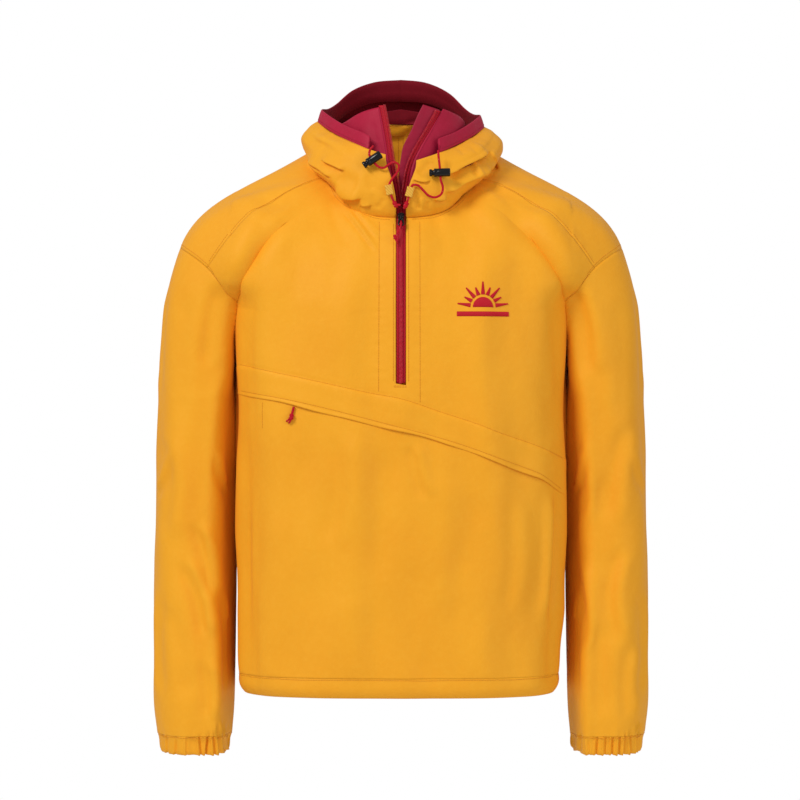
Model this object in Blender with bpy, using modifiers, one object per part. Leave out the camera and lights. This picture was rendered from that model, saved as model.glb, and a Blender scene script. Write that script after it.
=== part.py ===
"""A hooded half-zip anorak pullover, filled out as it is when worn.

The garment is modelled in millimetres and scaled to metres when each mesh is made. +Z is up, the front
faces -Y and the wearer's left is +X. The origin lies between the shoulders, where the wearer carries it.
Every cloth piece is a wall: an outer sheet worked out from sections, an inner sheet one cloth
thickness behind it, and a rim that joins the two.
"""

import math

import bmesh
import bpy
import numpy as np
from mathutils import Matrix

MM = 0.001
SEAM_GAP = 0.3
SHELL = 1.6        # shell cloth with its turned seam allowances
LINING = 1.0
COLLAR_THICK = 1.2
TRIM = 1.4         # brim band, flap and tabs
TAPE = 1.0         # zip tape
HEM_THICK = 2.2    # turned hem
CASING_THICK = 2.0 # elastic casing at the cuffs
BRIM_THICK = 3.0   # padded band round the hood's edge
SEAM_EASE = 0.2    # more air at the curved armhole seam
NEAR = 0.01        # places nearer than this are the same

# ---------------------------------------------------------------- torso
CHEST_Z = -190.0   # level of the underarm
HEM_SEAM_Z = -630.0
HEM_Z = -654.0
HEM_TURN_Z = -646.0
SIDE_POWER = 3.1   # exponent of the torso's rounded-box section
SECTION_HALF_WIDTH = 206.0    # the section whose edge is stepped off evenly
SECTION_HALF_DEPTH = 140.0
SIDE_X = 190.0     # everything further out is at a side seam, a sleeve or a cuff
TORSO_COLUMNS = ("z", "half_width", "front", "back")
TORSO = (
    (-100.0, 207.0, 128.0, 118.0),
    (-190.0, 206.0, 138.0, 118.0),
    (-300.0, 204.5, 140.0, 112.0),
    (-430.0, 204.0, 137.0, 109.0),
    (-560.0, 202.5, 133.0, 112.0),
    (-630.0, 202.0, 131.0, 114.0),
    (HEM_TURN_Z, 201.0, 130.0, 113.0),
    (HEM_Z, 196.0, 126.0, 109.0),
)

# ---------------------------------------------------------------- neck seam, a tilted loop
NECK_HALF_WIDTH = 96.0
NECK_HALF_DEPTH = 95.0
NECK_CENTRE_Y = -3.0
NECK_CENTRE_Z = -7.0
NECK_TILT = 65.0        # half of the drop from back neck to front neck
NECK_SHOULDER_LIFT = 21.0
NECK_ROUNDNESS = 0.8

# ---------------------------------------------------------------- armhole, an inclined loop
SHOULDER_POINT = (276.0, 0.0, -104.0)
UNDERARM = (206.0, 4.0, -190.0)
ARMHOLE_HALF_DEPTH = 84.0
ARMHOLE_BOW = 18.0      # how far the seam bends towards the chest, front and back
CORNER_ANGLE = 135.0    # where the armhole meets the chest line, measured from the shoulder point
YOKE_ANGLE = 70.0       # where the forward shoulder seam meets the armhole
ONTO_SIDE_ANGLE = 108.0 # from here to the corner the seam eases onto the torso's side

# ribs run from the neck seam to the chest line or the armhole
# share: place along the quarter's outer edge, 0 at the centre line, CORNER_SHARE at the corner, 1 at
# the shoulder point. neck: angle round the neck seam. The rest are the directions in which a rib
# leaves the neck and arrives, and how far each direction is kept, as a share of the rib's length.
CORNER_SHARE = 0.6
RIB_COLUMNS = ("share", "neck", "leave_x", "leave_y", "leave_z", "leave_reach",
               "arrive_x", "arrive_y", "arrive_z", "arrive_reach")
FRONT_RIBS = (
    (0.00, 0.0, 0.00, -0.62, -0.78, 0.36, 0.00, -0.04, -1.00, 0.34),
    (0.20, 20.0, 0.44, -0.48, -0.76, 0.38, 0.03, -0.04, -1.00, 0.34),
    (0.40, 36.0, 0.72, -0.44, -0.54, 0.44, 0.08, 0.02, -1.00, 0.36),
    (0.60, 50.0, 0.82, -0.44, -0.36, 0.54, 0.10, 0.78, -0.62, 0.30),
    (0.80, 68.0, 0.88, -0.31, -0.35, 0.46, 0.56, 0.34, -0.75, 0.32),
    (1.00, 90.0, 0.92, 0.00, -0.38, 0.42, 0.30, 0.00, -0.95, 0.30),
)
BACK_RIBS = (
    (0.00, 180.0, 0.00, 0.50, -0.86, 0.30, 0.00, -0.04, -1.00, 0.38),
    (0.20, 162.0, 0.46, 0.48, -0.74, 0.34, 0.03, -0.04, -1.00, 0.38),
    (0.40, 146.0, 0.72, 0.44, -0.52, 0.40, 0.08, -0.04, -1.00, 0.38),
    (0.60, 130.0, 0.84, 0.34, -0.40, 0.48, 0.12, -0.52, -0.82, 0.30),
    (0.80, 112.0, 0.88, 0.28, -0.36, 0.45, 0.56, -0.34, -0.75, 0.32),
    (1.00, 90.0, 0.92, 0.00, -0.38, 0.42, 0.30, 0.00, -0.95, 0.30),
)

# ---------------------------------------------------------------- front closure and pocket
SLIT_HALF = 6.0
SLIT_BOTTOM_Z = -275.0
POCKET_EDGE = ((-203.0, -287.0), (-131.0, -300.0), (-25.0, -326.0), (79.0, -355.0),
               (128.0, -373.0), (182.0, -394.0), (203.0, -404.0))
POCKET_LEVEL = -330.0
FLAP_HEIGHT = 38.0
SEAM_UNDER_FLAP = 9.0

# ---------------------------------------------------------------- sleeve
SLEEVE_COLUMNS = ("z", "centre_x", "centre_y", "half_width", "half_depth", "turn")
SLEEVE = (
    (-290.0, 249.0, 8.0, 51.0, 80.0, 9.0),
    (-400.0, 254.5, 13.0, 49.5, 79.0, 11.0),
    (-500.0, 257.5, 13.0, 49.5, 77.0, 10.0),
    (-600.0, 258.0, 8.0, 50.5, 72.0, 6.0),
    (-680.0, 258.5, 3.0, 49.0, 66.0, 3.0),
    (-708.0, 258.0, 1.0, 46.0, 62.0, 2.0),
)
CUFF_BOTTOM_Z = -731.0
CUFF_SHRINK = 2.5
CUFF_GATHERS = 14
CUFF_GATHER_STEPS = 5
CUFF_GATHER_DEPTH = 1.6
CUFF_WAIST = 0.35       # share of the casing's height at which it is drawn in most
SIDE_CLEARANCE = 3.0    # air between the sleeve and the torso's side
CLEAR_BELOW_HEM = 20.0  # the sleeve keeps that air down to this far below the hem
HEAD_REACH = 0.36       # how far the sleeve head keeps its directions, as a share of its length
HEAD_OVER, HEAD_FACE, HEAD_UNDER, HEAD_TURN = 0.30, 0.50, 0.10, 0.10    # outward, by place
INNER_COSINE = -0.6     # beyond this the sleeve head faces the torso

# ---------------------------------------------------------------- mesh density
COLUMNS_TO_CORNER = 7
COLUMNS_CORNER_TO_YOKE = 3
COLUMNS_YOKE_TO_RIDGE = 4
COLUMNS_UNDERARM = 3
RIB_ROWS = 7
LOWER_ROWS = 9
BACK_ROWS = 13
SLEEVE_HEAD_ROWS = 6
SLEEVE_ROWS = 10


# ================================================================ curves
def column(table, names, name):
    """One named column of a table."""
    return np.array([row[names.index(name)] for row in table], float)


def spline(keys, values, at):
    """A smooth curve through values at rising keys, with the slopes of its neighbours."""
    keys, values = np.asarray(keys, float), np.asarray(values, float)
    at = np.clip(np.asarray(at, float), keys[0], keys[-1])
    slope = np.gradient(values, keys, axis=0)
    i = np.clip(np.searchsorted(keys, at, side="right") - 1, 0, len(keys) - 2)
    step = keys[i + 1] - keys[i]
    t = (at - keys[i]) / step
    if values.ndim > 1:
        t, step = t[..., None], step[..., None]
    return ((2 * t**3 - 3 * t**2 + 1) * values[i] + (t**3 - 2 * t**2 + t) * step * slope[i]
            + (3 * t**2 - 2 * t**3) * values[i + 1] + (t**3 - t**2) * step * slope[i + 1])


def look_up(table, names, key, name, at):
    """A named column of a table as a smooth function of another column."""
    keys, values = column(table, names, key), column(table, names, name)
    order = np.argsort(keys)
    return spline(keys[order], values[order], at)


def smooth_step(low, high, at):
    t = np.clip((np.asarray(at, float) - low) / (high - low), 0.0, 1.0)
    return t * t * (3 - 2 * t)


def unit(v):
    v = np.asarray(v, float)
    return v / np.maximum(np.linalg.norm(v, axis=-1, keepdims=True), 1e-9)


def bezier(p0, p1, p2, p3, t):
    t = np.asarray(t, float)[..., None]
    return (1 - t)**3 * p0 + 3 * (1 - t)**2 * t * p1 + 3 * (1 - t) * t**2 * p2 + t**3 * p3


# ================================================================ torso surface
def side_angles():
    """Angle round a quarter section for even steps of its edge, from the centre line to the side."""
    angle = np.linspace(0.0, math.pi / 2, 400)
    power = 2 / SIDE_POWER
    x = SECTION_HALF_WIDTH * np.sin(angle)**power
    y = SECTION_HALF_DEPTH * np.cos(angle)**power
    length = np.concatenate([[0], np.cumsum(np.hypot(np.diff(x), np.diff(y)))])
    return length / length[-1], angle


EDGE_SHARE, EDGE_ANGLE = side_angles()


def torso(share, z, face):
    """Torso point. share is 0 on the centre line and 1 at the side, face -1 for the front, 1 for the back."""
    share, z = np.broadcast_arrays(np.asarray(share, float), np.asarray(z, float))
    angle = np.interp(np.abs(share), EDGE_SHARE, EDGE_ANGLE)
    power = 2 / SIDE_POWER
    depth = look_up(TORSO, TORSO_COLUMNS, "z", "front" if face < 0 else "back", z)
    width = look_up(TORSO, TORSO_COLUMNS, "z", "half_width", z)
    x = np.sign(share) * width * np.sin(angle)**power
    y = UNDERARM[1] + face * (depth + face * -UNDERARM[1]) * np.cos(angle)**power
    return np.stack([x, y, z], -1)


def torso_side_x(y, z):
    """How far the torso's side reaches from the centre at a depth y."""
    depth = np.where(y < UNDERARM[1],
                     look_up(TORSO, TORSO_COLUMNS, "z", "front", z) + UNDERARM[1],
                     look_up(TORSO, TORSO_COLUMNS, "z", "back", z) - UNDERARM[1])
    width = look_up(TORSO, TORSO_COLUMNS, "z", "half_width", z)
    share = np.clip(np.abs(y - UNDERARM[1]) / depth, 0, 1)
    return width * (1 - share**SIDE_POWER)**(1 / SIDE_POWER)


def neck(angle):
    """Neck seam point on the wearer's left; angle in degrees, 0 at the front and 180 at the back."""
    a = np.radians(np.asarray(angle, float))
    x = NECK_HALF_WIDTH * np.abs(np.sin(a))**NECK_ROUNDNESS
    y = NECK_CENTRE_Y - NECK_HALF_DEPTH * np.cos(a)
    z = NECK_CENTRE_Z - NECK_TILT * np.cos(a) + NECK_SHOULDER_LIFT * np.sin(a)**4
    return np.stack([x, y, z], -1)


def armhole(angle):
    """Armhole seam point on the wearer's left; 0 at the shoulder point, 90 in front, 180 underarm, 270 behind."""
    a = np.radians(np.asarray(angle, float))
    top, low = np.array(SHOULDER_POINT), np.array(UNDERARM)
    middle, half = (top + low) / 2, (top - low) / 2
    point = middle + half * np.cos(a)[..., None]
    point[..., 0] -= ARMHOLE_BOW * np.sin(a)**2
    point[..., 1] -= ARMHOLE_HALF_DEPTH * np.sin(a)
    on_torso = smooth_step(ONTO_SIDE_ANGLE, CORNER_ANGLE, np.minimum(angle, 360 - np.asarray(angle, float)))
    point[..., 0] += on_torso * (torso_side_x(point[..., 1], point[..., 2]) - point[..., 0])
    return point


def outer_edge(share, face):
    """Where the rib at that share ends, on the wearer's left: the chest line, then the armhole."""
    share = np.asarray(share, float)
    corner = armhole(np.array(CORNER_ANGLE if face < 0 else 360 - CORNER_ANGLE))
    corner_share = corner_torso_share(face)
    chest = np.minimum(share / CORNER_SHARE, 1.0)
    z = CHEST_Z + (corner[2] - CHEST_Z) * chest**3
    on_chest = torso(chest * corner_share, z, face)
    angle = CORNER_ANGLE * (1 - share) / (1 - CORNER_SHARE)
    on_armhole = armhole(angle if face < 0 else 360 - angle)
    return np.where((share < CORNER_SHARE - 1e-6)[..., None], on_chest, on_armhole)


def corner_torso_share(face):
    """The torso share of the column that runs up to the corner of chest line and armhole."""
    corner = armhole(np.array(CORNER_ANGLE if face < 0 else 360 - CORNER_ANGLE))
    shares = np.linspace(0.5, 1.0, 400)
    y = torso(shares, corner[2], face)[:, 1]
    return float(shares[np.argmin(np.abs(y - corner[1]))])


def rib_point(share, t, face):
    """Upper body point on the wearer's left: t is 0 at the neck seam and 1 at the outer edge."""
    ribs = FRONT_RIBS if face < 0 else BACK_RIBS
    share, t = np.broadcast_arrays(np.asarray(share, float), np.asarray(t, float))

    def named(name):
        values = column(ribs, RIB_COLUMNS, name)
        keys = column(ribs, RIB_COLUMNS, "share")
        odd = -1.0 if name.endswith("_x") else 1.0
        mirrored_keys = np.concatenate([-keys[:0:-1], keys])
        if name == "neck":
            centre = 0.0 if face < 0 else 180.0
            mirrored = np.concatenate([2 * centre - values[:0:-1], values])
        else:
            mirrored = np.concatenate([odd * values[:0:-1], values])
        return spline(mirrored_keys, mirrored, share)

    start, end = neck(named("neck")), outer_edge(share, face)
    leave = unit(np.stack([named("leave_x"), named("leave_y"), named("leave_z")], -1))
    arrive = unit(np.stack([named("arrive_x"), named("arrive_y"), named("arrive_z")], -1))
    length = np.linalg.norm(end - start, axis=-1, keepdims=True)
    first = start + leave * length * named("leave_reach")[..., None]
    second = end - arrive * length * named("arrive_reach")[..., None]
    return bezier(start, first, second, end, t)


def pocket_edge_z(x):
    """Height of the pocket flap's lower edge across the front."""
    keys, values = zip(*POCKET_EDGE)
    return spline(keys, values, x)


# ================================================================ sleeve surface
def sleeve_section(angle, z):
    """Sleeve point below the head, on the wearer's left; the angle runs as at the armhole."""
    a, z = np.broadcast_arrays(np.radians(np.asarray(angle, float)), np.asarray(z, float))

    def named(name):
        return look_up(SLEEVE, SLEEVE_COLUMNS, "z", name, z)

    across, along = named("half_width") * np.cos(a), -named("half_depth") * np.sin(a)
    turn = np.radians(named("turn"))
    x = named("centre_x") + across * np.cos(turn) - along * np.sin(turn)
    y = named("centre_y") + across * np.sin(turn) + along * np.cos(turn)
    nearest = torso_side_x(y, z) + SIDE_CLEARANCE
    x = np.where(z > HEM_Z - CLEAR_BELOW_HEM, np.maximum(x, nearest), x)
    return np.stack([x, y, z], -1)


def sleeve_head(angle, t):
    """Sleeve point between the armhole, t 0, and the first full section, t 1."""
    angle, t = np.broadcast_arrays(np.asarray(angle, float), np.asarray(t, float))
    a = np.radians(angle)
    start = armhole(angle)
    end = sleeve_section(angle, SLEEVE[0][0])
    over, under = np.maximum(np.cos(a), 0), np.maximum(-np.cos(a), 0)
    leave = unit(np.stack([HEAD_OVER * over + HEAD_FACE * np.abs(np.sin(a)) + HEAD_UNDER * under,
                           HEAD_TURN * np.sin(a), np.full_like(a, -0.95)], -1))
    length = np.linalg.norm(end - start, axis=-1, keepdims=True)
    down = np.array([0.05, 0.0, -1.0])
    reach = length * HEAD_REACH
    point = bezier(start, start + leave * reach, end - down * reach, end, t)
    nearest = torso_side_x(point[..., 1], point[..., 2]) + SIDE_CLEARANCE * smooth_step(0.0, 0.3, t)
    inside = (np.cos(a) < INNER_COSINE) & (t > 0)
    point[..., 0] = np.where(inside, np.maximum(point[..., 0], nearest), point[..., 0])
    return point


# ================================================================ meshes
class Sheet:
    """The faces of one cloth piece, gathered from grids that share their edges."""

    def __init__(self):
        self.points, self.faces, self.index, self.fixed = [], [], {}, {}

    def vertex(self, p, normal=None):
        key = tuple(np.round(p, 3))
        if key not in self.index:
            self.index[key] = len(self.points)
            self.points.append(np.array(p, float))
        if normal is not None:
            self.fixed[self.index[key]] = np.array(normal, float)
        return self.index[key]

    def grid(self, points, skip=(), normals=None, flip=False):
        """Adds the faces of a grid of points, rows by columns."""
        rows, cols = points.shape[:2]
        ids = [[self.vertex(points[r, c], None if normals is None or np.isnan(normals[r, c, 0])
                            else normals[r, c]) for c in range(cols)] for r in range(rows)]
        for r in range(rows - 1):
            for c in range(cols - 1):
                if (r, c) in skip:
                    continue
                face = [ids[r][c], ids[r][c + 1], ids[r + 1][c + 1], ids[r + 1][c]]
                face = list(dict.fromkeys(face))
                if len(face) > 2:
                    self.faces.append(face[::-1] if flip else face)
        return ids

    def drop(self, unwanted):
        """Removes the faces that touch unwanted points, and the points no face uses any more."""
        self.faces = [f for f in self.faces if not any(unwanted(i) for i in f)]
        used = sorted({i for f in self.faces for i in f})
        new = {old: k for k, old in enumerate(used)}
        self.points = [self.points[i] for i in used]
        self.fixed = {new[i]: n for i, n in self.fixed.items() if i in new}
        self.faces = [[new[i] for i in f] for f in self.faces]

    def arrays(self):
        return np.array(self.points), [list(f) for f in self.faces]


def halved(points, faces):
    """Splits four-sided faces along their shorter diagonal, so both sheets of a wall bend alike."""
    triangles = []
    for face in faces:
        if len(face) == 3:
            triangles.append(list(face))
            continue
        a, b, c, d = face
        first = np.linalg.norm(points[a] - points[c])
        second = np.linalg.norm(points[b] - points[d])
        if first <= second + 1e-4:
            triangles += [[a, b, c], [a, c, d]]
        else:
            triangles += [[a, b, d], [b, c, d]]
    return triangles


def vertex_normals(points, faces):
    normals = np.zeros_like(points)
    for face in faces:
        p = points[face]
        n = np.cross(p[2 % len(p)] - p[0], p[-1] - p[1])
        normals[face] += n
    return unit(normals)


def inset(points, faces, normals, distance):
    """Moves the free edge of a sheet inwards along the cloth."""
    edges = {}
    for face in faces:
        for a, b in zip(face, face[1:] + face[:1]):
            edges[(a, b)] = edges.get((a, b), 0) + 1
    push = {}
    for a, b in edges:
        if (b, a) not in edges:
            along = unit(points[b] - points[a])
            for v in (a, b):
                push.setdefault(v, []).append(unit(np.cross(normals[v], along)))
    moved = points.copy()
    for v, ways in push.items():
        way = np.sum(ways, axis=0)
        size = np.linalg.norm(way)
        if size > 1e-6:
            way /= size
            moved[v] += way * distance / max(0.5, float(np.dot(way, ways[0])))
    return moved


def wall(points, faces, normals, thickness):
    """Closes a sheet into a wall: the outer sheet, the same sheet moved inwards, and the rim."""
    count = len(points)
    inner = points - normals * thickness
    all_faces = [list(f) for f in faces] + [[count + i for i in f[::-1]] for f in faces]
    edges = {(a, b) for f in faces for a, b in zip(f, f[1:] + f[:1])}
    for a, b in edges:
        if (b, a) not in edges:
            all_faces.append([b, a, count + a, count + b])
    both = np.vstack([points, inner])
    return both, halved(both, all_faces)


def solid(name, points, faces, material, collection):
    mesh = bpy.data.meshes.new(name)
    mesh.from_pydata((np.asarray(points) * MM).tolist(), [], faces)
    mesh.update()
    mesh.materials.append(material)
    mesh.shade_smooth()
    mesh.set_sharp_from_angle(angle=math.radians(50))
    obj = bpy.data.objects.new(name, mesh)
    collection.objects.link(obj)
    return obj


def cloth(name, sheet, thickness, material, collection, shared=None, gap=SEAM_GAP):
    """Makes one cloth piece from a sheet. shared gives normals by place, so seams stay parallel."""
    points, faces = sheet.arrays()
    normals = vertex_normals(points, faces)
    if shared:
        for i, p in enumerate(points):
            normals[i] = shared.get(tuple(np.round(p, 3)), normals[i])
    for i, n in sheet.fixed.items():
        normals[i] = n
    faces = halved(points, faces)
    points = inset(points, faces, normals, gap / 2)
    return solid(name, *wall(points, faces, normals, thickness), material, collection)


def mirrored(points):
    return points * np.array([-1.0, 1.0, 1.0])


# ================================================================ columns shared by the body pieces
YOKE_SHARE = 1 - (1 - CORNER_SHARE) * YOKE_ANGLE / CORNER_ANGLE


def steps(low, high, count):
    """Even places from low to high, low left out."""
    return [low + (high - low) * k / count for k in range(1, count + 1)]


TO_CORNER = steps(0.0, CORNER_SHARE, COLUMNS_TO_CORNER)
TO_YOKE = steps(CORNER_SHARE, YOKE_SHARE, COLUMNS_CORNER_TO_YOKE)
TO_RIDGE = steps(YOKE_SHARE, 1.0, COLUMNS_YOKE_TO_RIDGE)
UNDERARM_ANGLES = steps(CORNER_ANGLE, 180.0, COLUMNS_UNDERARM)
RIB_T = np.linspace(0.0, 1.0, RIB_ROWS)


def armhole_angles():
    """Sleeve columns all round, the same places as the body's columns on the armhole."""
    front = [CORNER_ANGLE * (1 - s) / (1 - CORNER_SHARE) for s in [CORNER_SHARE] + TO_YOKE + TO_RIDGE]
    half = sorted(front) + UNDERARM_ANGLES
    return half + [360 - a for a in half[-2:0:-1]] + [360.0]


def torso_shares(face):
    """Torso share of each column of a quarter: the chest columns, then those below the armhole."""
    corner = corner_torso_share(face)
    shares = [corner * k / COLUMNS_TO_CORNER for k in range(1, COLUMNS_TO_CORNER + 1)]
    fine = np.linspace(0.5, 1.0, 2000)
    for angle in UNDERARM_ANGLES:
        p = armhole(np.array(angle if face < 0 else 360 - angle))
        y = torso(fine, p[2], face)[:, 1]
        shares.append(float(fine[np.argmin(np.abs(y - p[1]))]))
    shares[-1] = 1.0
    return shares


def at_slit(surface):
    """The point of a surface, called with a share, that lies on the edge of the front opening."""
    shares = np.linspace(0.0, 0.3, 600)
    points = surface(shares)
    share = np.interp(SLIT_HALF, points[:, 0], shares)
    point = surface(np.array([share]))[0]
    point[0] = SLIT_HALF
    return point


def rib_grid(shares, face, slit=False):
    """Upper body grid on the wearer's left, rows from the neck seam outwards."""
    grid = np.array([[rib_point(s, t, face) for s in shares] for t in RIB_T])
    if slit:
        edge = np.array([at_slit(lambda s, t=t: rib_point(s, t, face)) for t in RIB_T])
        grid = np.concatenate([edge[:, None], grid], axis=1)
    return grid


def torso_grid(face, tops, bottom, fractions, slit=False):
    """Torso grid on the wearer's left below its top row, down to the height bottom(x)."""
    shares = torso_shares(face)
    rows = []
    for fraction in fractions:
        row = []
        for k, share in enumerate(([None] if slit else [0.0]) + shares):
            top = tops[k]
            low = bottom(top[0])
            z = top[2] + (low - top[2]) * fraction
            if fraction == 0:
                row.append(top)
            elif share is None:
                row.append(at_slit(lambda s, z=z: torso(s, z, face)))
            else:
                row.append(torso(share, z, face))
        rows.append(row)
    return np.array(rows)


def both_sides(left, right=None):
    """A row grid over both sides: the mirrored right half, then the left half."""
    right = left if right is None else right
    return np.concatenate([mirrored(right[:, ::-1]), left], axis=1)


# ================================================================ large folds
FOLD_COLUMNS = ("name", "face", "x0", "z0", "x1", "z1", "width", "depth")
FOLDS = (
    ("below the flap, left side", -1, 182.0, -425.0, 180.0, -545.0, 16.0, 4.5),
    ("beside the flap, left side", -1, 182.0, -250.0, 186.0, -345.0, 16.0, 2.5),
    ("front centre", -1, 14.0, -345.0, 34.0, -410.0, 18.0, 2.2),
    ("front drape, right side", -1, -92.0, -470.0, -104.0, -620.0, 26.0, 3.0),
    ("front drape, left side", -1, 96.0, -480.0, 112.0, -620.0, 26.0, 3.0),
    ("chest, right side", -1, -186.0, -215.0, -190.0, -330.0, 18.0, 3.0),
    ("back drape, right side", 1, -84.0, -330.0, -98.0, -600.0, 30.0, 5.0),
    ("back drape, left side", 1, 88.0, -350.0, 100.0, -600.0, 30.0, 5.0),
)


def fold_depth(points):
    """How far the large folds press the torso in at each point."""
    depth = np.zeros(len(points))
    for row in FOLDS:
        f = dict(zip(FOLD_COLUMNS, row))
        a, b = np.array([f["x0"], f["z0"]]), np.array([f["x1"], f["z1"]])
        flat = points[:, [0, 2]]
        along = np.dot(flat - a, b - a) / np.dot(b - a, b - a)
        nearest = a + np.clip(along, 0, 1)[:, None] * (b - a)
        away = np.linalg.norm(flat - nearest, axis=1)
        here = (np.sign(points[:, 1] - UNDERARM[1]) == f["face"]) & (np.abs(points[:, 0]) < UNDERARM[0])
        depth += here * f["depth"] * np.exp(-(away / f["width"])**2)
    side = np.abs(points[:, 1] - UNDERARM[1])
    return depth * smooth_step(4.0, 40.0, side)


def seam_under_flap(x):
    return float(pocket_edge_z(x)) + SEAM_UNDER_FLAP


# ================================================================ body sheets
def slit_fraction():
    low = seam_under_flap(0.0)
    return (SLIT_BOTTOM_Z - CHEST_Z) / (low - CHEST_Z)


def front_sheets():
    cut = slit_fraction()
    fractions = (0.0, cut / 2, cut, (1 + cut) / 2, 1.0)
    ribs = rib_grid(TO_CORNER + TO_YOKE, -1, slit=True)
    chest = COLUMNS_TO_CORNER + 1
    under = [armhole(np.array(a)) for a in UNDERARM_ANGLES]
    tops = list(ribs[-1, :chest]) + under
    upper_left = torso_grid(-1, tops, seam_under_flap, fractions, slit=True)
    upper_right = torso_grid(-1, tops, lambda x: seam_under_flap(-x), fractions, slit=True)
    lower_rows = np.linspace(0.0, 1.0, LOWER_ROWS + 1)
    lower_left = torso_grid(-1, list(upper_left[-1]), lambda x: HEM_SEAM_Z, lower_rows, slit=True)
    lower_right = torso_grid(-1, list(upper_right[-1]), lambda x: HEM_SEAM_Z, lower_rows, slit=True)
    upper = Sheet()
    half = ribs.shape[1]
    upper.grid(both_sides(ribs), skip={(r, half - 1) for r in range(RIB_ROWS)}, flip=True)
    wide = upper_left.shape[1]
    upper.grid(both_sides(upper_left, upper_right), skip={(0, wide - 1), (1, wide - 1)}, flip=True)
    lower = Sheet()
    lower.grid(both_sides(lower_left, lower_right), flip=True)
    return upper, lower, lower_left[-1], lower_right[-1]


def back_sheet():
    ribs = rib_grid([0.0] + TO_CORNER + TO_YOKE + TO_RIDGE, 1)
    over = rib_grid(([YOKE_SHARE] + TO_RIDGE)[::-1], -1)
    half = np.concatenate([ribs, over[:, 1:]], axis=1)
    chest = COLUMNS_TO_CORNER + 1
    under = [armhole(np.array(360 - a)) for a in UNDERARM_ANGLES]
    tops = list(ribs[-1, :chest]) + under
    rows = np.linspace(0.0, 1.0, BACK_ROWS + 1)
    torso_rows = torso_grid(1, tops, lambda x: HEM_SEAM_Z, rows)
    sheet = Sheet()
    sheet.grid(np.concatenate([mirrored(half[:, :0:-1]), half], axis=1))
    sheet.grid(np.concatenate([mirrored(torso_rows[:, :0:-1]), torso_rows], axis=1))
    return sheet, torso_rows[-1]


def hem_sheet(front_left, front_right, back_half):
    """The turned hem, one ring that starts at the seam and draws in a little at the bottom."""
    front = np.concatenate([mirrored(front_right[::-1]), front_left])
    back = np.concatenate([back_half[-2::-1], mirrored(back_half[1:-1])])
    top = np.concatenate([front, back, front[:1]])
    rows = [top]
    for z in (HEM_TURN_Z, HEM_Z):
        row = top.copy()
        for i, p in enumerate(top):
            width = look_up(TORSO, TORSO_COLUMNS, "z", "half_width", np.array([HEM_SEAM_Z, z]))
            name = "front" if p[1] < UNDERARM[1] else "back"
            depth = look_up(TORSO, TORSO_COLUMNS, "z", name, np.array([HEM_SEAM_Z, z]))
            row[i] = (p[0] * width[1] / width[0], p[1] * depth[1] / depth[0], z)
        rows.append(row)
    sheet = Sheet()
    sheet.grid(np.array(rows), flip=True)
    return sheet


def sleeve_sheet(side):
    angles = np.array(armhole_angles()[:-1])
    head = [sleeve_head(angles, t) for t in np.linspace(0, 1, SLEEVE_HEAD_ROWS + 1)]
    below = np.linspace(SLEEVE[0][0], SLEEVE[-1][0], SLEEVE_ROWS + 1)[1:]
    rows = np.array(head + [sleeve_section(angles, z) for z in below])
    rows = np.concatenate([rows, rows[:, :1]], axis=1)
    sheet = Sheet()
    sheet.grid(rows if side > 0 else mirrored(rows), flip=side < 0)
    return sheet


def cuff_sheet(side):
    """Elastic casing: the sleeve's last section drawn in, with soft gathers."""
    count = CUFF_GATHERS * CUFF_GATHER_STEPS
    angles = np.arange(count) * 360.0 / count
    top = sleeve_section(angles, SLEEVE[-1][0])
    middle = np.array([SLEEVE[-1][1], SLEEVE[-1][2], 0.0])
    outward = unit((top - middle) * np.array([1.0, 1.0, 0.0]))
    wave = 0.5 - 0.5 * np.cos(np.radians(angles) * CUFF_GATHERS + 0.8 * np.sin(np.radians(angles) * 3))
    rows = []
    for fraction, shrink in ((0.0, 0.0), (CUFF_WAIST, CUFF_SHRINK), (1.0, CUFF_SHRINK - 0.5)):
        z = SLEEVE[-1][0] + (CUFF_BOTTOM_Z - SLEEVE[-1][0]) * fraction
        row = top - outward * (shrink + wave * CUFF_GATHER_DEPTH * (0.4 + 0.6 * fraction))[:, None]
        row[:, 2] = z
        rows.append(row)
    rows = np.array(rows)
    rows = np.concatenate([rows, rows[:, :1]], axis=1)
    sheet = Sheet()
    sheet.grid(rows if side > 0 else mirrored(rows), flip=side < 0)
    return sheet


# ================================================================ hood, collar and brim
# loops of the hood from the neck seam outwards: sideways size, the places of front and back, and the
# heights round the loop at 0 (front), 55, 90 (side), 130 and 180 degrees (back)
HOOD_COLUMNS = ("half_width", "front_y", "back_y", "z0", "z55", "z90", "z130", "z180")
HOOD = (
    (109.0, -103.0, 112.0, -66.0, -26.0, 19.0, 44.0, 58.0),
    (120.0, -107.0, 126.0, -57.0, -17.0, 17.0, 38.0, 26.0),
    (126.0, -109.0, 135.0, -47.0, -11.0, 21.0, 26.0, -30.0),
    (127.0, -109.0, 144.0, -37.0, -3.0, 27.0, 16.0, -84.0),
    (126.0, -109.0, 163.0, -27.0, 5.0, 34.0, 14.0, -108.0),
    (122.0, -108.0, 184.0, -19.0, 11.0, 40.0, 26.0, -90.0),
    (117.0, -106.0, 193.0, -12.0, 18.0, 45.0, 46.0, -30.0),
    (112.0, -104.0, 184.0, -6.0, 25.0, 50.0, 62.0, 36.0),
)
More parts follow.
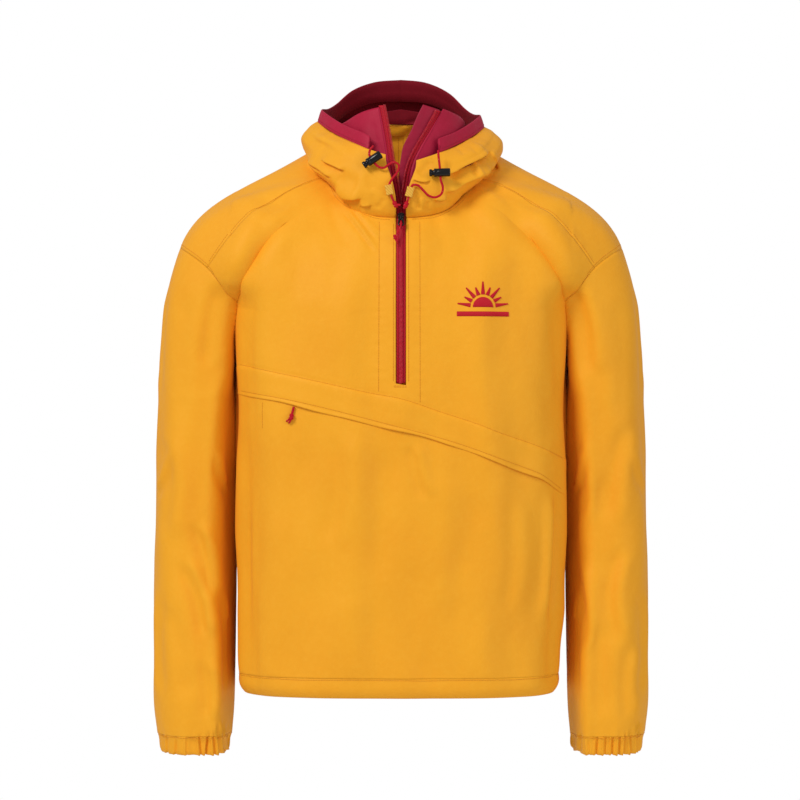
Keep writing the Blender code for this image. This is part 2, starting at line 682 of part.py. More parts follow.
# lower and upper edge of the brim binding
BRIM_COLUMNS = ("angle", "x", "y", "z_low", "z_high")
BRIM = (
    (0.0, 0.0, -101.0, -1.0, 0.0),
    (20.0, 38.0, -96.0, 11.0, 26.0),
    (45.0, 71.0, -60.0, 28.0, 43.0),
    (75.0, 96.0, -18.0, 46.0, 61.0),
    (93.0, 104.0, 10.0, 55.0, 70.0),
    (112.0, 96.0, 48.0, 61.0, 75.0),
    (128.0, 86.0, 84.0, 70.0, 85.0),
    (145.0, 65.0, 112.0, 90.0, 105.0),
    (162.0, 36.0, 128.0, 102.0, 117.0),
    (180.0, 0.0, 133.0, 105.0, 120.5),
)
HOOD_CENTRE_Y = 8.0
FACING_ROW = 6           # the hood facing starts at this loop and ends below the brim
BINDING_START = 20.0     # angle at which the brim binding ends beside the zip
HOOD_OPENING = 18.5      # half opening of the hood's front edges at the top
COLLAR_TOP = ((0.0, 68.0), (30.0, 60.0), (55.0, 50.0), (90.0, 47.0), (130.0, 62.0), (180.0, 78.0))
COLLAR_HALF_WIDTH = 80.0
COLLAR_FRONT_Y = -79.0
COLLAR_BACK_Y = 84.0
COLLAR_INSET = 4.6       # from the neck seam to the collar's outer face
# opening edges of the inner collar: heights, and how far each edge lies from the centre line
EDGE_COLUMNS = ("z", "right", "left", "flap")
COLLAR_EDGES = (
    (-74.0, -6.0, 6.0, -5.0),
    (-56.0, -6.1, 6.1, -4.6),
    (-34.0, -8.5, 8.5, -3.5),
    (0.0, -15.0, 16.5, -0.5),
    (17.0, -17.5, 25.0, 3.0),
    (36.0, -20.5, 36.0, 13.6),
    (60.0, -25.0, 48.5, 26.0),
    (70.0, -27.0, 53.0, 31.0),
)
TAPE_WIDTH = 5.7
TAPE_SLIT_SPAN = (1.8, -80.0)       # above the slit's bottom, and the height at the neck
TAPE_EDGE_X = (0.15, 5.85)          # the tape beside the slit, from the teeth to its hidden edge
TAPE_SINK = 0.5                     # the tape lies this far behind the front
TAPE_NECK_Z = -64.0                 # the tape on the collar starts here
TAPE_TOP_Z = {"left": 61.0, "right": 67.0}
GUARD_SPAN = (-72.0, 62.0)          # storm flap, foot and top
GUARD_BACK = 3.4                    # how far the storm flap lies behind the collar's outer face
GUARD_OVERLAP = 1.0
GUARD_PEAK = 6.0                    # its free corner stands higher
GUARD_PEAK_Z = 55.0
COLLAR_LIFT = 1.5                   # from the neck seam to the collar's foot
HOOD_EASE_ANGLE = 60.0              # the loops' front edges are taken up within this angle
COLLAR_EASE_ANGLE = 70.0
BRIM_LEAN = 0.045                   # how much the band narrows to its upper edge
BRIM_SKIP_ANGLE = 4.0
FACING_GAP = 1.0
FLAP_END_SHARE = 0.985              # the flap ends just short of the side seams


def neck_angles():
    """Columns round the neck seam on the wearer's left, the same places as the body's."""
    def named(shares, ribs):
        keys, values = column(ribs, RIB_COLUMNS, "share"), column(ribs, RIB_COLUMNS, "neck")
        centre = values[0]
        keys = np.concatenate([-keys[:0:-1], keys])
        values = np.concatenate([2 * centre - values[:0:-1], values])
        return list(spline(keys, values, np.array(shares)))
    front = named(TO_CORNER + TO_YOKE + TO_RIDGE, FRONT_RIBS)
    back = named(([0.0] + TO_CORNER + TO_YOKE + TO_RIDGE)[-2::-1], BACK_RIBS)
    return front + back


def slit_neck_angle():
    angles = np.linspace(0.0, 20.0, 4000)
    return float(np.interp(SLIT_HALF, neck(angles)[:, 0], angles))


def hood_loop(row, angle):
    """Hood loop on the wearer's left; row 0 is the neck seam, the last the lower edge of the brim."""
    angle = np.asarray(angle, float)
    if row == 0:
        return neck(angle)
    if row > len(HOOD):
        x = look_up(BRIM, BRIM_COLUMNS, "angle", "x", angle)
        y = look_up(BRIM, BRIM_COLUMNS, "angle", "y", angle)
        return np.stack([x, y, look_up(BRIM, BRIM_COLUMNS, "angle", "z_low", angle)], -1)
    f = dict(zip(HOOD_COLUMNS, HOOD[row - 1]))
    a = np.radians(angle)
    x = f["half_width"] * np.abs(np.sin(a))**NECK_ROUNDNESS
    reach = np.where(np.cos(a) > 0, HOOD_CENTRE_Y - f["front_y"], f["back_y"] - HOOD_CENTRE_Y)
    y = HOOD_CENTRE_Y - reach * np.cos(a)
    heights = [f["z0"], f["z55"], f["z90"], f["z130"], f["z180"]]
    keys = [-55.0, 0.0, 55.0, 90.0, 130.0, 180.0, 230.0]
    z = spline(keys, [heights[1]] + heights + [heights[3]], angle)
    return np.stack([x, y, z], -1)


def whole_loop(left):
    """A left half from front to back, followed by its mirror image from back to front."""
    return np.concatenate([left, mirrored(left[-2::-1])], axis=0)


def hood_grid():
    angles = neck_angles()
    start = slit_neck_angle()
    rows = []
    last = len(HOOD) + 1
    for row in range(last + 1):
        open_x = SLIT_HALF + (HOOD_OPENING - SLIT_HALF) * smooth_step(2, last, row)
        fine = np.linspace(0.0, 40.0, 800)
        edge = float(np.interp(open_x, hood_loop(row, fine)[:, 0], fine)) if row else start
        used = [edge] + [a + (edge - start) * max(0.0, 1 - (a - start) / HOOD_EASE_ANGLE)
                         for a in angles]
        points = hood_loop(row, np.array(used))
        points[0, 0] = open_x if row else SLIT_HALF
        rows.append(whole_loop(points))
    return np.array(rows)


def brim_grid():
    angles = [BINDING_START] + [a for a in neck_angles() if a > BINDING_START + BRIM_SKIP_ANGLE]
    rows = []
    for fraction in (0.0, 0.5, 1.0):
        low = look_up(BRIM, BRIM_COLUMNS, "angle", "z_low", angles)
        high = look_up(BRIM, BRIM_COLUMNS, "angle", "z_high", angles)
        x = look_up(BRIM, BRIM_COLUMNS, "angle", "x", angles)
        y = look_up(BRIM, BRIM_COLUMNS, "angle", "y", angles)
        lean = 1 - BRIM_LEAN * fraction
        points = np.stack([x * lean, y * lean, low + SEAM_GAP + (high - low) * fraction], -1)
        rows.append(whole_loop(points))
    return np.array(rows)


def collar_point(angle, t):
    """Inner collar on the wearer's left, outer face; t is 0 at the neck seam and 1 at the top."""
    angle, t = np.broadcast_arrays(np.asarray(angle, float), np.asarray(t, float))
    seam = neck(angle)
    flat = unit(seam * np.array([1.0, 1.0, 0.0]) - np.array([0.0, NECK_CENTRE_Y, 0.0]))
    seam = seam - flat * COLLAR_INSET + np.array([0.0, 0.0, COLLAR_LIFT])
    a = np.radians(angle)
    keys, values = zip(*COLLAR_TOP)
    x = COLLAR_HALF_WIDTH * np.abs(np.sin(a))**NECK_ROUNDNESS
    middle, half = (COLLAR_FRONT_Y + COLLAR_BACK_Y) / 2, (COLLAR_BACK_Y - COLLAR_FRONT_Y) / 2
    top = np.stack([x, middle - half * np.cos(a), spline(keys, values, angle)], -1)
    return seam + (top - seam) * t[..., None]


def collar_front(x, z):
    """Point of the collar's outer face near the front at a sideways place and height."""
    fine = np.linspace(0.0, 60.0, 240)
    t = np.linspace(0.0, 1.02, 60)
    grid = collar_point(fine[:, None], t[None, :])
    gap = (grid[..., 0] - abs(x))**2 + (grid[..., 2] - z)**2
    i, j = np.unravel_index(np.argmin(gap), gap.shape)
    point = grid[i, j].copy()
    point[0], point[2] = x, z
    return point


def collar_sheet():
    angles = np.array(neck_angles())
    rows = []
    for t in (0.0, 0.25, 0.5, 0.75, 1.0):
        row = []
        for side, name in ((1, "left"), (-1, "right")):
            z = float(collar_point(0.0, t)[2])
            edge_x = abs(float(look_up(COLLAR_EDGES, EDGE_COLUMNS, "z", name, z)))
            fine = np.linspace(0.0, 60.0, 1200)
            start = float(np.interp(edge_x, collar_point(fine, t)[:, 0], fine))
            first = float(angles[0]) - BRIM_SKIP_ANGLE
            used = [start] + [a + (start - first) * max(0.0, 1 - (a - first) / COLLAR_EASE_ANGLE)
                              for a in angles]
            points = collar_point(np.array(used), t)
            row.append(points)
        rows.append(np.concatenate([row[0], mirrored(row[1][-2::-1])]))
    sheet = Sheet()
    sheet.grid(np.array(rows))
    return sheet


def strip_sheet(rows, flip=False):
    """A cloth piece from one grid of points."""
    sheet = Sheet()
    sheet.grid(np.array(rows), flip=flip)
    return sheet


def front_line(z):
    """Depth of the front at the edge of the opening, between the slit bottom and the neck seam."""
    ribs = rib_grid([0.1], -1, slit=True)[:, 0]
    below = np.array([at_slit(lambda s, h=h: torso(s, h, -1)) for h in (CHEST_Z - 30, CHEST_Z - 60,
                                                                       CHEST_Z - 90)])
    points = np.concatenate([ribs, below])
    order = np.argsort(points[:, 2])
    return float(np.interp(z, points[order, 2], points[order, 1]))


def tape_sheet(side):
    """Zip tape: beside the opening in the front, then up the front edge of the inner collar."""
    name = "left" if side > 0 else "right"
    rows = []
    for z in np.linspace(SLIT_BOTTOM_Z + TAPE_SLIT_SPAN[0], TAPE_SLIT_SPAN[1], 10):
        y = front_line(z) + TAPE_SINK
        rows.append([(side * x, y, z) for x in TAPE_EDGE_X])
    for z in np.linspace(TAPE_NECK_Z, TAPE_TOP_Z[name], 9):
        edge = float(look_up(COLLAR_EDGES, EDGE_COLUMNS, "z", name, z)) - side * SEAM_GAP
        inner = side * max(TAPE_EDGE_X[0], abs(edge) - TAPE_WIDTH)
        rows.append([collar_front(inner, z), collar_front(edge, z)])
        rows[-1][0][1] = rows[-1][1][1] = (rows[-1][0][1] + rows[-1][1][1]) / 2
    rows = np.array(rows)
    sheet = strip_sheet(rows, flip=side < 0)
    along = unit(np.gradient(rows.mean(1), axis=0) * np.array([0.0, 1.0, 1.0]))
    for i, p in enumerate(sheet.points):
        k = int(np.argmin(np.abs(rows[:, 0, 2] - p[2])))
        sheet.fixed[i] = unit(np.cross(along[k], [-1.0, 0.0, 0.0]))
    return sheet


def guard_sheet():
    """Storm flap behind the zip, on the wearer's left side of the collar."""
    rows = []
    for z in np.linspace(*GUARD_SPAN, 10):
        free = float(look_up(COLLAR_EDGES, EDGE_COLUMNS, "z", "flap", z))
        fixed = float(look_up(COLLAR_EDGES, EDGE_COLUMNS, "z", "left", z)) - GUARD_OVERLAP
        row = []
        for k in range(3):
            x = free + (fixed - free) * k / 2
            p = collar_front(x, z + (GUARD_PEAK * (1 - k / 2) if z > GUARD_PEAK_Z else 0.0))
            p[1] += GUARD_BACK
            row.append(p)
        rows.append(row)
    return strip_sheet(rows)


# ================================================================ flap over the pocket
def flap_grid():
    """The flap's outer face: the front's own points, moved out by the gap and the cloth."""
    shares = torso_shares(-1)
    signed = [-s for s in shares[::-1]] + [0.0] + shares
    rows = []
    for fraction in (0.0, 0.35, 0.7, 1.0):
        row = []
        for share in signed:
            share = float(np.clip(share, -FLAP_END_SHARE, FLAP_END_SHARE))
            z = float(pocket_edge_z(torso(share, POCKET_LEVEL, -1)[0])) + FLAP_HEIGHT * (1 - fraction)
            row.append(torso(share, z, -1))
        rows.append(row)
    return np.array(rows)


# ================================================================ cords, locks, slider and pull
CUT_MARGIN = 6.0         # how far a cutter reaches past what it cuts
WELD = 0.01              # points nearer than this are one point


def smooth_path(knots, spacing):
    """Points at even steps of a smooth curve through the knots."""
    knots = np.array(knots, float)
    length = np.concatenate([[0], np.cumsum(np.linalg.norm(np.diff(knots, axis=0), axis=1))])
    count = max(4, int(length[-1] / spacing) + 1)
    return spline(length, knots, np.linspace(0, length[-1], count))


def frame(origin, across, up):
    """Placing matrix: local X runs across, local Y up the piece and local Z out of its face."""
    across = unit(across)
    out = unit(np.cross(across, up))
    matrix = Matrix.Identity(4)
    for k, axis in enumerate((across, np.cross(out, across), out)):
        matrix.col[k][:3] = axis
    matrix.translation = np.array(origin) * MM
    return matrix


def axis_frame(origin, axis):
    """Placing matrix with local Z along an axis."""
    axis = unit(axis)
    across = unit(np.cross(axis, [0.2, 0.3, 1.0]))
    return frame(origin, across, np.cross(axis, across))


def linked(name, data, look, collection, matrix):
    data.materials.append(look)
    obj = bpy.data.objects.new(name, data)
    obj.matrix_world = matrix
    collection.objects.link(obj)
    return obj


def tube(name, path, radius, look, collection):
    """A round cord along a path, with filled ends."""
    curve = bpy.data.curves.new(name, "CURVE")
    curve.dimensions = "3D"
    curve.bevel_depth = radius * MM
    curve.bevel_resolution = 2
    curve.use_fill_caps = True
    line = curve.splines.new("POLY")
    line.points.add(len(path) - 1)
    for point, place in zip(line.points, path):
        point.co = (*(np.array(place) * MM), 1.0)
    return linked(name, curve, look, collection, Matrix.Identity(4))


def plate(name, outlines, thickness, look, collection, matrix):
    """A flat plate, centred on its frame: the first outline is its edge, the others are holes."""
    curve = bpy.data.curves.new(name, "CURVE")
    curve.dimensions = "2D"
    curve.fill_mode = "BOTH"
    curve.extrude = thickness / 2 * MM
    for outline in outlines:
        line = curve.splines.new("POLY")
        line.points.add(len(outline) - 1)
        for point, place in zip(line.points, outline):
            point.co = (place[0] * MM, place[1] * MM, 0.0, 1.0)
        line.use_cyclic_u = True
    return as_mesh(linked(name, curve, look, collection, matrix))


def as_mesh(source):
    """Turns a curve object into a closed mesh object, so that it can be cut and joined."""
    name, collection, matrix = source.name, source.users_collection[0], source.matrix_world.copy()
    bpy.context.view_layer.update()
    evaluated = source.evaluated_get(bpy.context.evaluated_depsgraph_get())
    mesh = bpy.data.meshes.new_from_object(evaluated)
    bpy.data.objects.remove(source, do_unlink=True)
    shape = bmesh.new()
    shape.from_mesh(mesh)
    bmesh.ops.remove_doubles(shape, verts=shape.verts, dist=WELD * MM)
    bmesh.ops.recalc_face_normals(shape, faces=shape.faces)
    shape.to_mesh(mesh)
    shape.free()
    mesh.name = name
    made = bpy.data.objects.new(name, mesh)
    made.matrix_world = matrix
    collection.objects.link(made)
    return made


def turned(name, profile, steps_round, look, collection, matrix):
    """A turned solid: the profile's rows are (radius, height), from its top end to its bottom end."""
    mesh = bpy.data.meshes.new(name)
    rows = [(0.0, profile[0][1])] + list(profile) + [(0.0, profile[-1][1])]
    points = [(radius * MM, 0.0, height * MM) for radius, height in rows]
    mesh.from_pydata(points, [(k, k + 1) for k in range(len(points) - 1)], [])
    obj = linked(name, mesh, look, collection, matrix)
    screw = obj.modifiers.new("turn", "SCREW")
    screw.axis = "Z"
    screw.steps = steps_round
    screw.render_steps = steps_round
    screw.use_merge_vertices = True
    screw.merge_threshold = WELD * MM
    return obj


def box(name, size, look, collection, matrix):
    mesh = bpy.data.meshes.new(name)
    shape = bmesh.new()
    bmesh.ops.create_cube(shape, size=1.0, matrix=Matrix.Diagonal((*(np.array(size) * MM), 1.0)))
    shape.to_mesh(mesh)
    shape.free()
    return linked(name, mesh, look, collection, matrix)


def rod(name, radius, length, sides, look, collection, matrix):
    """A straight round bar, centred on its frame."""
    mesh = bpy.data.meshes.new(name)
    shape = bmesh.new()
    bmesh.ops.create_cone(shape, cap_ends=True, segments=sides, radius1=radius * MM,
                          radius2=radius * MM, depth=length * MM)
    shape.to_mesh(mesh)
    shape.free()
    return linked(name, mesh, look, collection, matrix)


def combine(target, other, operation):
    """Cuts another object out of the target, or joins it to the target."""
    modifier = target.modifiers.new(operation.lower(), "BOOLEAN")
    modifier.operation = operation
    modifier.solver = "EXACT"
    modifier.object = other
    other.hide_render = True
    other.display_type = "WIRE"


def material(name, hex_colour, roughness, metallic=0.0, ior=1.5):
    """A Principled material; the colour is given as it looks on a screen."""
    def linear(value):
        value /= 255.0
        return value / 12.92 if value <= 0.04045 else ((value + 0.055) / 1.055)**2.4
    colour = [linear(int(hex_colour[i:i + 2], 16)) for i in (0, 2, 4)] + [1.0]
    made = bpy.data.materials.new(name)
    made.use_nodes = True
    shader = made.node_tree.nodes["Principled BSDF"]
    shader.inputs["Base Color"].default_value = colour
    shader.inputs["Roughness"].default_value = roughness
    shader.inputs["Metallic"].default_value = metallic
    shader.inputs["IOR"].default_value = ior
    made.diffuse_color = colour
    return made


YELLOW, CRIMSON, RED, BLACK = "f0a22e", "a51d38", "b3101f", "0c0c0e"

# ---------------------------------------------------------------- zip slider and its pull
SLIDER_TOP = (0.0, -99.2, -67.5)
SLIDER_FOOT = (0.0, -105.6, -79.5)
SLIDER_THICK = 3.2
SLIDER_OUTLINE = ((-4.2, 5.4), (-2.2, 6.6), (2.2, 6.6), (4.2, 5.4), (3.9, -1.0), (3.0, -6.6),
                  (-3.0, -6.6), (-3.9, -1.0))
POST_SIZE = (1.1, 2.6, 4.8)
POST_OFFSET = 2.9        # sideways, from the centre line
POST_SINK = 0.8          # how deep a post starts inside the slider's body
BRIDGE_RADIUS = 0.75
BRIDGE_LENGTH = 6.0
BRIDGE_HEIGHT = 2.9      # the bar's axis above the slider's body
BRIDGE_DROP = 0.5        # below the body's middle
PULL_THICK = 2.8
PULL_EYE = 1.1
PULL_OUTLINE = ((-1.5, 2.0), (1.5, 2.0), (1.6, -2.6), (3.0, -5.0), (4.1, -10.0), (3.6, -12.6),
                (0.0, -14.0), (-3.6, -12.6), (-4.1, -10.0), (-3.0, -5.0), (-1.6, -2.6))
PULL_WINDOW = ((-1.3, -4.0), (1.3, -4.0), (2.5, -10.0), (1.7, -11.8), (-1.7, -11.8), (-2.5, -10.0))
PULL_LEAN_Z = (-88.0, -106.0)    # the pull lies along the front between these heights
# the pull's cord, measured from the hinge: along the pull, out of its face, sideways
PULL_CORD = ((7.0, 0.2, 0.0), (9.5, 1.2, 0.0), (11.6, 2.6, 0.0), (13.6, 2.7, 0.0),
             (17.5, 1.0, -1.2), (25.5, 1.4, -4.8), (32.5, 1.8, -7.6))
PULL_CORD_RADIUS = 0.95
PULL_KNOT_RADIUS = 2.3

# ---------------------------------------------------------------- drawcords
CORD_RADIUS = 1.4
CORD_SPACING = 5.0
LEFT_CORD = ((45.0, -109.0, 8.5), (45.5, -112.4, 0.0), (46.6, -112.8, -9.0), (47.4, -112.8, -18.6),
             (48.2, -112.8, -28.0), (50.6, -112.0, -36.5), (49.0, -111.2, -44.0),
             (41.0, -111.4, -48.5), (33.8, -112.0, -46.6), (27.0, -112.2, -40.2),
             (20.5, -112.2, -34.0), (14.5, -112.4, -33.6), (11.6, -112.6, -38.5),
             (9.6, -112.6, -45.5), (8.0, -111.6, -52.5))
RIGHT_CORD = ((-33.5, -108.4, 14.0), (-37.6, -111.0, 8.6), (-38.4, -111.8, 3.0), (-34.5, -111.8, -2.8),
              (-30.6, -111.8, -8.6), (-26.0, -111.4, -12.0), (-20.5, -111.2, -12.6),
              (-14.8, -111.2, -8.6), (-8.0, -111.2, -6.0), (-3.2, -111.2, -8.8), (-4.0, -111.6, -17.0),
              (-9.5, -112.2, -24.5), (-13.8, -112.6, -32.0), (-14.6, -112.6, -39.0),
              (-12.0, -112.6, -46.0), (-9.6, -111.6, -52.0))
# a cord on each side: its route, its lock and the lock's direction, its webbing tab and its end knot
DRAWCORDS = (
    ("left", LEFT_CORD, (47.4, -112.8, -18.6), (1.0, 0.0, 0.03), (10.6, -112.6, -42.0),
     (6.0, -110.6, -57.6)),
    ("right", RIGHT_CORD, (-34.5, -111.8, -2.8), (0.833, 0.0, 0.553), (-14.3, -112.6, -39.5),
     (-6.9, -110.6, -57.0)),
)
LOCK_CENTRE = 13.3       # from the button end to where the cord crosses
LOCK_HOLE = CORD_RADIUS + 0.9
# radius and height: the barrel's end, the barrel, the neck and the button
LOCK_PROFILE = ((4.4, 25.5), (5.1, 24.6), (5.1, 6.0), (3.4, 5.6), (3.4, 3.9), (4.3, 3.4), (4.3, 0.5),
                (3.6, 0.0))
KNOT_PROFILE = ((0.35, 1.35), (0.8, 1.0), (1.0, 0.35), (0.86, 0.0), (1.0, -0.35), (0.8, -1.0),
                (0.35, -1.35))
END_KNOT_RADIUS = 3.2
TAB_OUTLINE = ((-4.6, 6.0), (4.6, 6.0), (4.6, -6.0), (-4.6, -6.0))
TAB_THICK = 4.8
TAB_HOLE = CORD_RADIUS + 0.35
TAB_REACH = 14.0         # the part of the cord that shapes the tab's hole
POCKET_CORD = ((-129.0, -302.0), (-130.4, -307.0), (-131.6, -311.5))
POCKET_CORD_RADIUS = 1.1
POCKET_CORD_LIFT = 2.6   # the cord's axis above the front
POCKET_KNOT = (-132.0, -314.2)
POCKET_KNOT_LIFT = 3.4
POCKET_KNOT_RADIUS = 2.4
CORD_STEP = 2.3          # spacing of the short pull cords' points


def knot(name, centre, axis, radius, look, collection):
    """An end knot pulled tight: a waisted bead."""
    rows = [(a * radius, b * radius) for a, b in KNOT_PROFILE]
    return turned(name, rows, 10, look, collection, axis_frame(centre, axis))


def direction_at(path, place):
    """The way a cord runs where it passes a place, pointing up."""
    near = path[np.argsort(np.linalg.norm(path - np.array(place), axis=1))[:3]]
    return unit(near[np.argmax(near[:, 2])] - near[np.argmin(near[:, 2])])


def slider_and_pull(parts, cutters, cord_look):
    zinc = material("painted zinc, zip slider", BLACK, 0.32)
    acetal = material("moulded acetal, zip pull", BLACK, 0.28, ior=1.48)
    sideways = np.array([1.0, 0.0, 0.0])
    top, foot = np.array(SLIDER_TOP), np.array(SLIDER_FOOT)
    middle, up = (top + foot) / 2, unit(top - foot)
    out = np.cross(sideways, up)
    slider = plate("zip_slider", [SLIDER_OUTLINE], SLIDER_THICK, zinc, parts,
                   frame(middle + out * SLIDER_THICK / 2, sideways, up))
    post_middle = middle - up * BRIDGE_DROP + out * (SLIDER_THICK - POST_SINK + POST_SIZE[2] / 2)
    for side in (-1, 1):
        post = box("bridge_post_%d" % (side + 2), POST_SIZE, zinc, cutters,
                   frame(post_middle + sideways * side * POST_OFFSET, sideways, up))
        combine(slider, post, "UNION")
    hinge = middle - up * BRIDGE_DROP + out * (SLIDER_THICK + BRIDGE_HEIGHT)
    along_hinge = axis_frame(hinge, sideways)
    bar = rod("bridge_bar", BRIDGE_RADIUS, BRIDGE_LENGTH, 12, zinc, cutters, along_hinge)
    combine(slider, bar, "UNION")

    high, low = PULL_LEAN_Z
    down = unit([0.0, front_line(low) - front_line(high), low - high])
    face = np.cross(sideways, -down)
    hanging = frame(hinge, sideways, -down)
    pivot = bpy.data.objects.new("zip_pull_pivot", None)
    pivot.matrix_world = hanging
    parts.objects.link(pivot)
    pull = plate("zip_pull", [PULL_OUTLINE, PULL_WINDOW], PULL_THICK, acetal, parts, hanging)
    eye = rod("pull_eye", PULL_EYE, PULL_THICK + 2 * CUT_MARGIN, 16, acetal, cutters, along_hinge)
    combine(pull, eye, "DIFFERENCE")
    knots = [hinge + down * a + face * b + sideways * c for a, b, c in PULL_CORD]
    cord = as_mesh(tube("pull_cord", smooth_path(knots, CORD_STEP), PULL_CORD_RADIUS, cord_look, parts))
    end = knot("pull_cord_knot", knots[-1], down, PULL_KNOT_RADIUS, cord_look, cutters)
    combine(cord, end, "UNION")
    cord.data.transform(hanging.inverted())
    for piece in (pull, cord):
        piece.parent = pivot
        piece.matrix_basis = Matrix.Identity(4)


def drawcords(parts, cutters, fabric, cord_look):
    acetal = material("moulded acetal, cord lock", BLACK, 0.26, ior=1.48)
    for word, route, lock, lock_axis, tab, end in DRAWCORDS:
        path = smooth_path(route, CORD_SPACING)
        tube("drawcord_" + word, path, CORD_RADIUS, cord_look, parts)
        lock_axis = unit(lock_axis)
        body = turned("cord_lock_" + word, LOCK_PROFILE, 16, acetal, parts,
                      axis_frame(np.array(lock) - lock_axis * LOCK_CENTRE, lock_axis))
        near = path[np.argmin(np.linalg.norm(path - np.array(lock), axis=1))]
        hole = rod("lock_hole_" + word, LOCK_HOLE, 2 * (LOCK_PROFILE[1][0] + CUT_MARGIN), 12, acetal,
                   cutters, axis_frame(near, direction_at(path, lock)))
        combine(body, hole, "DIFFERENCE")
        way = direction_at(path, tab)
        loop = plate("hood_tab_" + word, [TAB_OUTLINE], TAB_THICK, fabric("hood tab " + word, YELLOW),
                     parts, frame(tab, np.cross(way, [0.0, 1.0, 0.0]), way))
        through = path[np.linalg.norm(path - np.array(tab), axis=1) < TAB_REACH]
        hole = as_mesh(tube("tab_hole_" + word, through, TAB_HOLE, acetal, cutters))
        combine(loop, hole, "DIFFERENCE")
        knot("cord_knot_" + word, end, np.array(route[-1]) - np.array(end), END_KNOT_RADIUS, cord_look,
             parts)


def above_front(x, z, away):
    """A point a little way out of the front of the torso."""
    shares = np.linspace(0.0, 1.0, 400)
    row = torso(shares, z, -1)
    return (x, float(np.interp(abs(x), row[:, 0], row[:, 1])) - away, z)


def pocket_pull(parts, cutters, cord_look):
    route = [above_front(x, z, POCKET_CORD_LIFT) for x, z in POCKET_CORD]
    cord = as_mesh(tube("pocket_pull_cord", smooth_path(route, CORD_STEP), POCKET_CORD_RADIUS,
                        cord_look, parts))
    end = knot("pocket_knot", above_front(*POCKET_KNOT, POCKET_KNOT_LIFT), (0.15, 0.0, 1.0),
               POCKET_KNOT_RADIUS, cord_look, cutters)
    combine(cord, end, "UNION")


def hardware(parts, cutters, fabric):
    """Slider, pull, cords, cord locks and the webbing tabs at the foot of the hood."""
    cord_look = material("braided polyester, drawcord", RED, 0.7)
    slider_and_pull(parts, cutters, cord_look)
    drawcords(parts, cutters, fabric, cord_look)
    pocket_pull(parts, cutters, cord_look)


def main():
    for old in list(bpy.data.objects):
        bpy.data.objects.remove(old, do_unlink=True)
    parts = bpy.data.collections.new("anorak_pullover")
    cutters = bpy.data.collections.new("cutters")
    bpy.context.scene.collection.children.link(parts)
    bpy.context.scene.collection.children.link(cutters)

    def fabric(name, colour):
        return material("woven nylon, " + name, colour, 0.62, ior=1.53)

    upper, lower, low_left, low_right = front_sheets()
    back, low_back = back_sheet()
    hem = hem_sheet(low_left, low_right, low_back)
    sleeves = {side: sleeve_sheet(side) for side in (1, -1)}
    hood = Sheet()
    hood_points = hood_grid()
    hood.grid(hood_points)
    merged = [upper, lower, back, hem, sleeves[1], sleeves[-1], hood]

    shared = {}
    for sheet in merged:
        points, faces = sheet.arrays()
        for face in faces:
            p = points[face]
            n = unit(np.cross(p[2 % len(p)] - p[0], p[-1] - p[1]))
            for q in p:
                key = tuple(np.round(q, 3))
                shared[key] = shared.get(key, 0) + n
    for key, n in shared.items():
        n = unit(n)
        if abs(key[1] - UNDERARM[1]) < NEAR and abs(key[0]) > SIDE_X and key[2] < CHEST_Z - 2:
            n = unit(n * np.array([1.0, 0.0, 1.0]))
        if abs(key[2] - SLEEVE[-1][0]) < NEAR and abs(key[0]) > SIDE_X:
            n = unit(n * np.array([1.0, 1.0, 0.0]))
        shared[key] = n
    for sheet in (upper, lower, back, hem):
        points = np.array(sheet.points)
        depth = fold_depth(points)
        for i, p in enumerate(points):
            if depth[i] > NEAR:
                n = shared[tuple(np.round(p, 3))]
                sheet.points[i] = p - n * depth[i]
                shared[tuple(np.round(sheet.points[i], 3))] = n

    def piece(name, sheet, thickness, colour, gap=SEAM_GAP, normals=shared):
        return cloth(name, sheet, thickness, fabric(name, colour), parts, normals, gap)

    piece("front_upper", upper, SHELL, YELLOW)
    piece("front_lower", lower, SHELL, YELLOW)
    piece("back", back, SHELL, YELLOW)
    piece("hem_band", hem, HEM_THICK, YELLOW)
    for side, word in ((1, "left"), (-1, "right")):
        piece("sleeve_" + word, sleeves[side], SHELL, YELLOW, gap=SEAM_GAP + SEAM_EASE)
        cuff = cuff_sheet(side)
        points, faces = cuff.arrays()
        for i, n in enumerate(vertex_normals(points, faces)):
            if abs(points[i][2] - SLEEVE[-1][0]) < NEAR:
                cuff.fixed[i] = unit(n * np.array([1.0, 1.0, 0.0]))
        piece("cuff_" + word, cuff, CASING_THICK, YELLOW, normals=None)

    piece("hood_shell", hood, SHELL, YELLOW)
    points, faces = hood.arrays()
    normals = vertex_normals(points, faces)
    for i, p in enumerate(points):
        normals[i] = shared.get(tuple(np.round(p, 3)), normals[i])
    lining = Sheet()
    lining.points, lining.faces = list(points - normals * (SHELL + SEAM_GAP)), halved(points, faces)
    lining.fixed = dict(enumerate(normals))
    lining.drop(lambda p, first=set(np.arange(hood_points.shape[1] * FACING_ROW)): p in first)
    piece("hood_facing", lining, LINING, CRIMSON, gap=FACING_GAP, normals=None)
    brim = Sheet()
    brim.grid(brim_grid())
    piece("brim_binding", brim, BRIM_THICK, CRIMSON, gap=0.0, normals=None)
    piece("inner_collar", collar_sheet(), COLLAR_THICK, CRIMSON, gap=0.0, normals=None)
    piece("zip_tape_left", tape_sheet(1), TAPE, RED, gap=0.0, normals=None)
    piece("zip_tape_right", tape_sheet(-1), TAPE, RED, gap=0.0, normals=None)
    piece("storm_flap", guard_sheet(), TAPE, CRIMSON, gap=0.0, normals=None)

    flap_points = flap_grid()
    flap = Sheet()
    flap.grid(flap_points, flip=True)
    points, faces = flap.arrays()
    normals = vertex_normals(points, faces)
    flap.points = list(points + normals * (SEAM_GAP + TRIM))
    flap.fixed = dict(enumerate(normals))
    piece("pocket_flap", flap, TRIM, YELLOW, gap=0.0, normals=None)

    hardware(parts, cutters, fabric)


main()
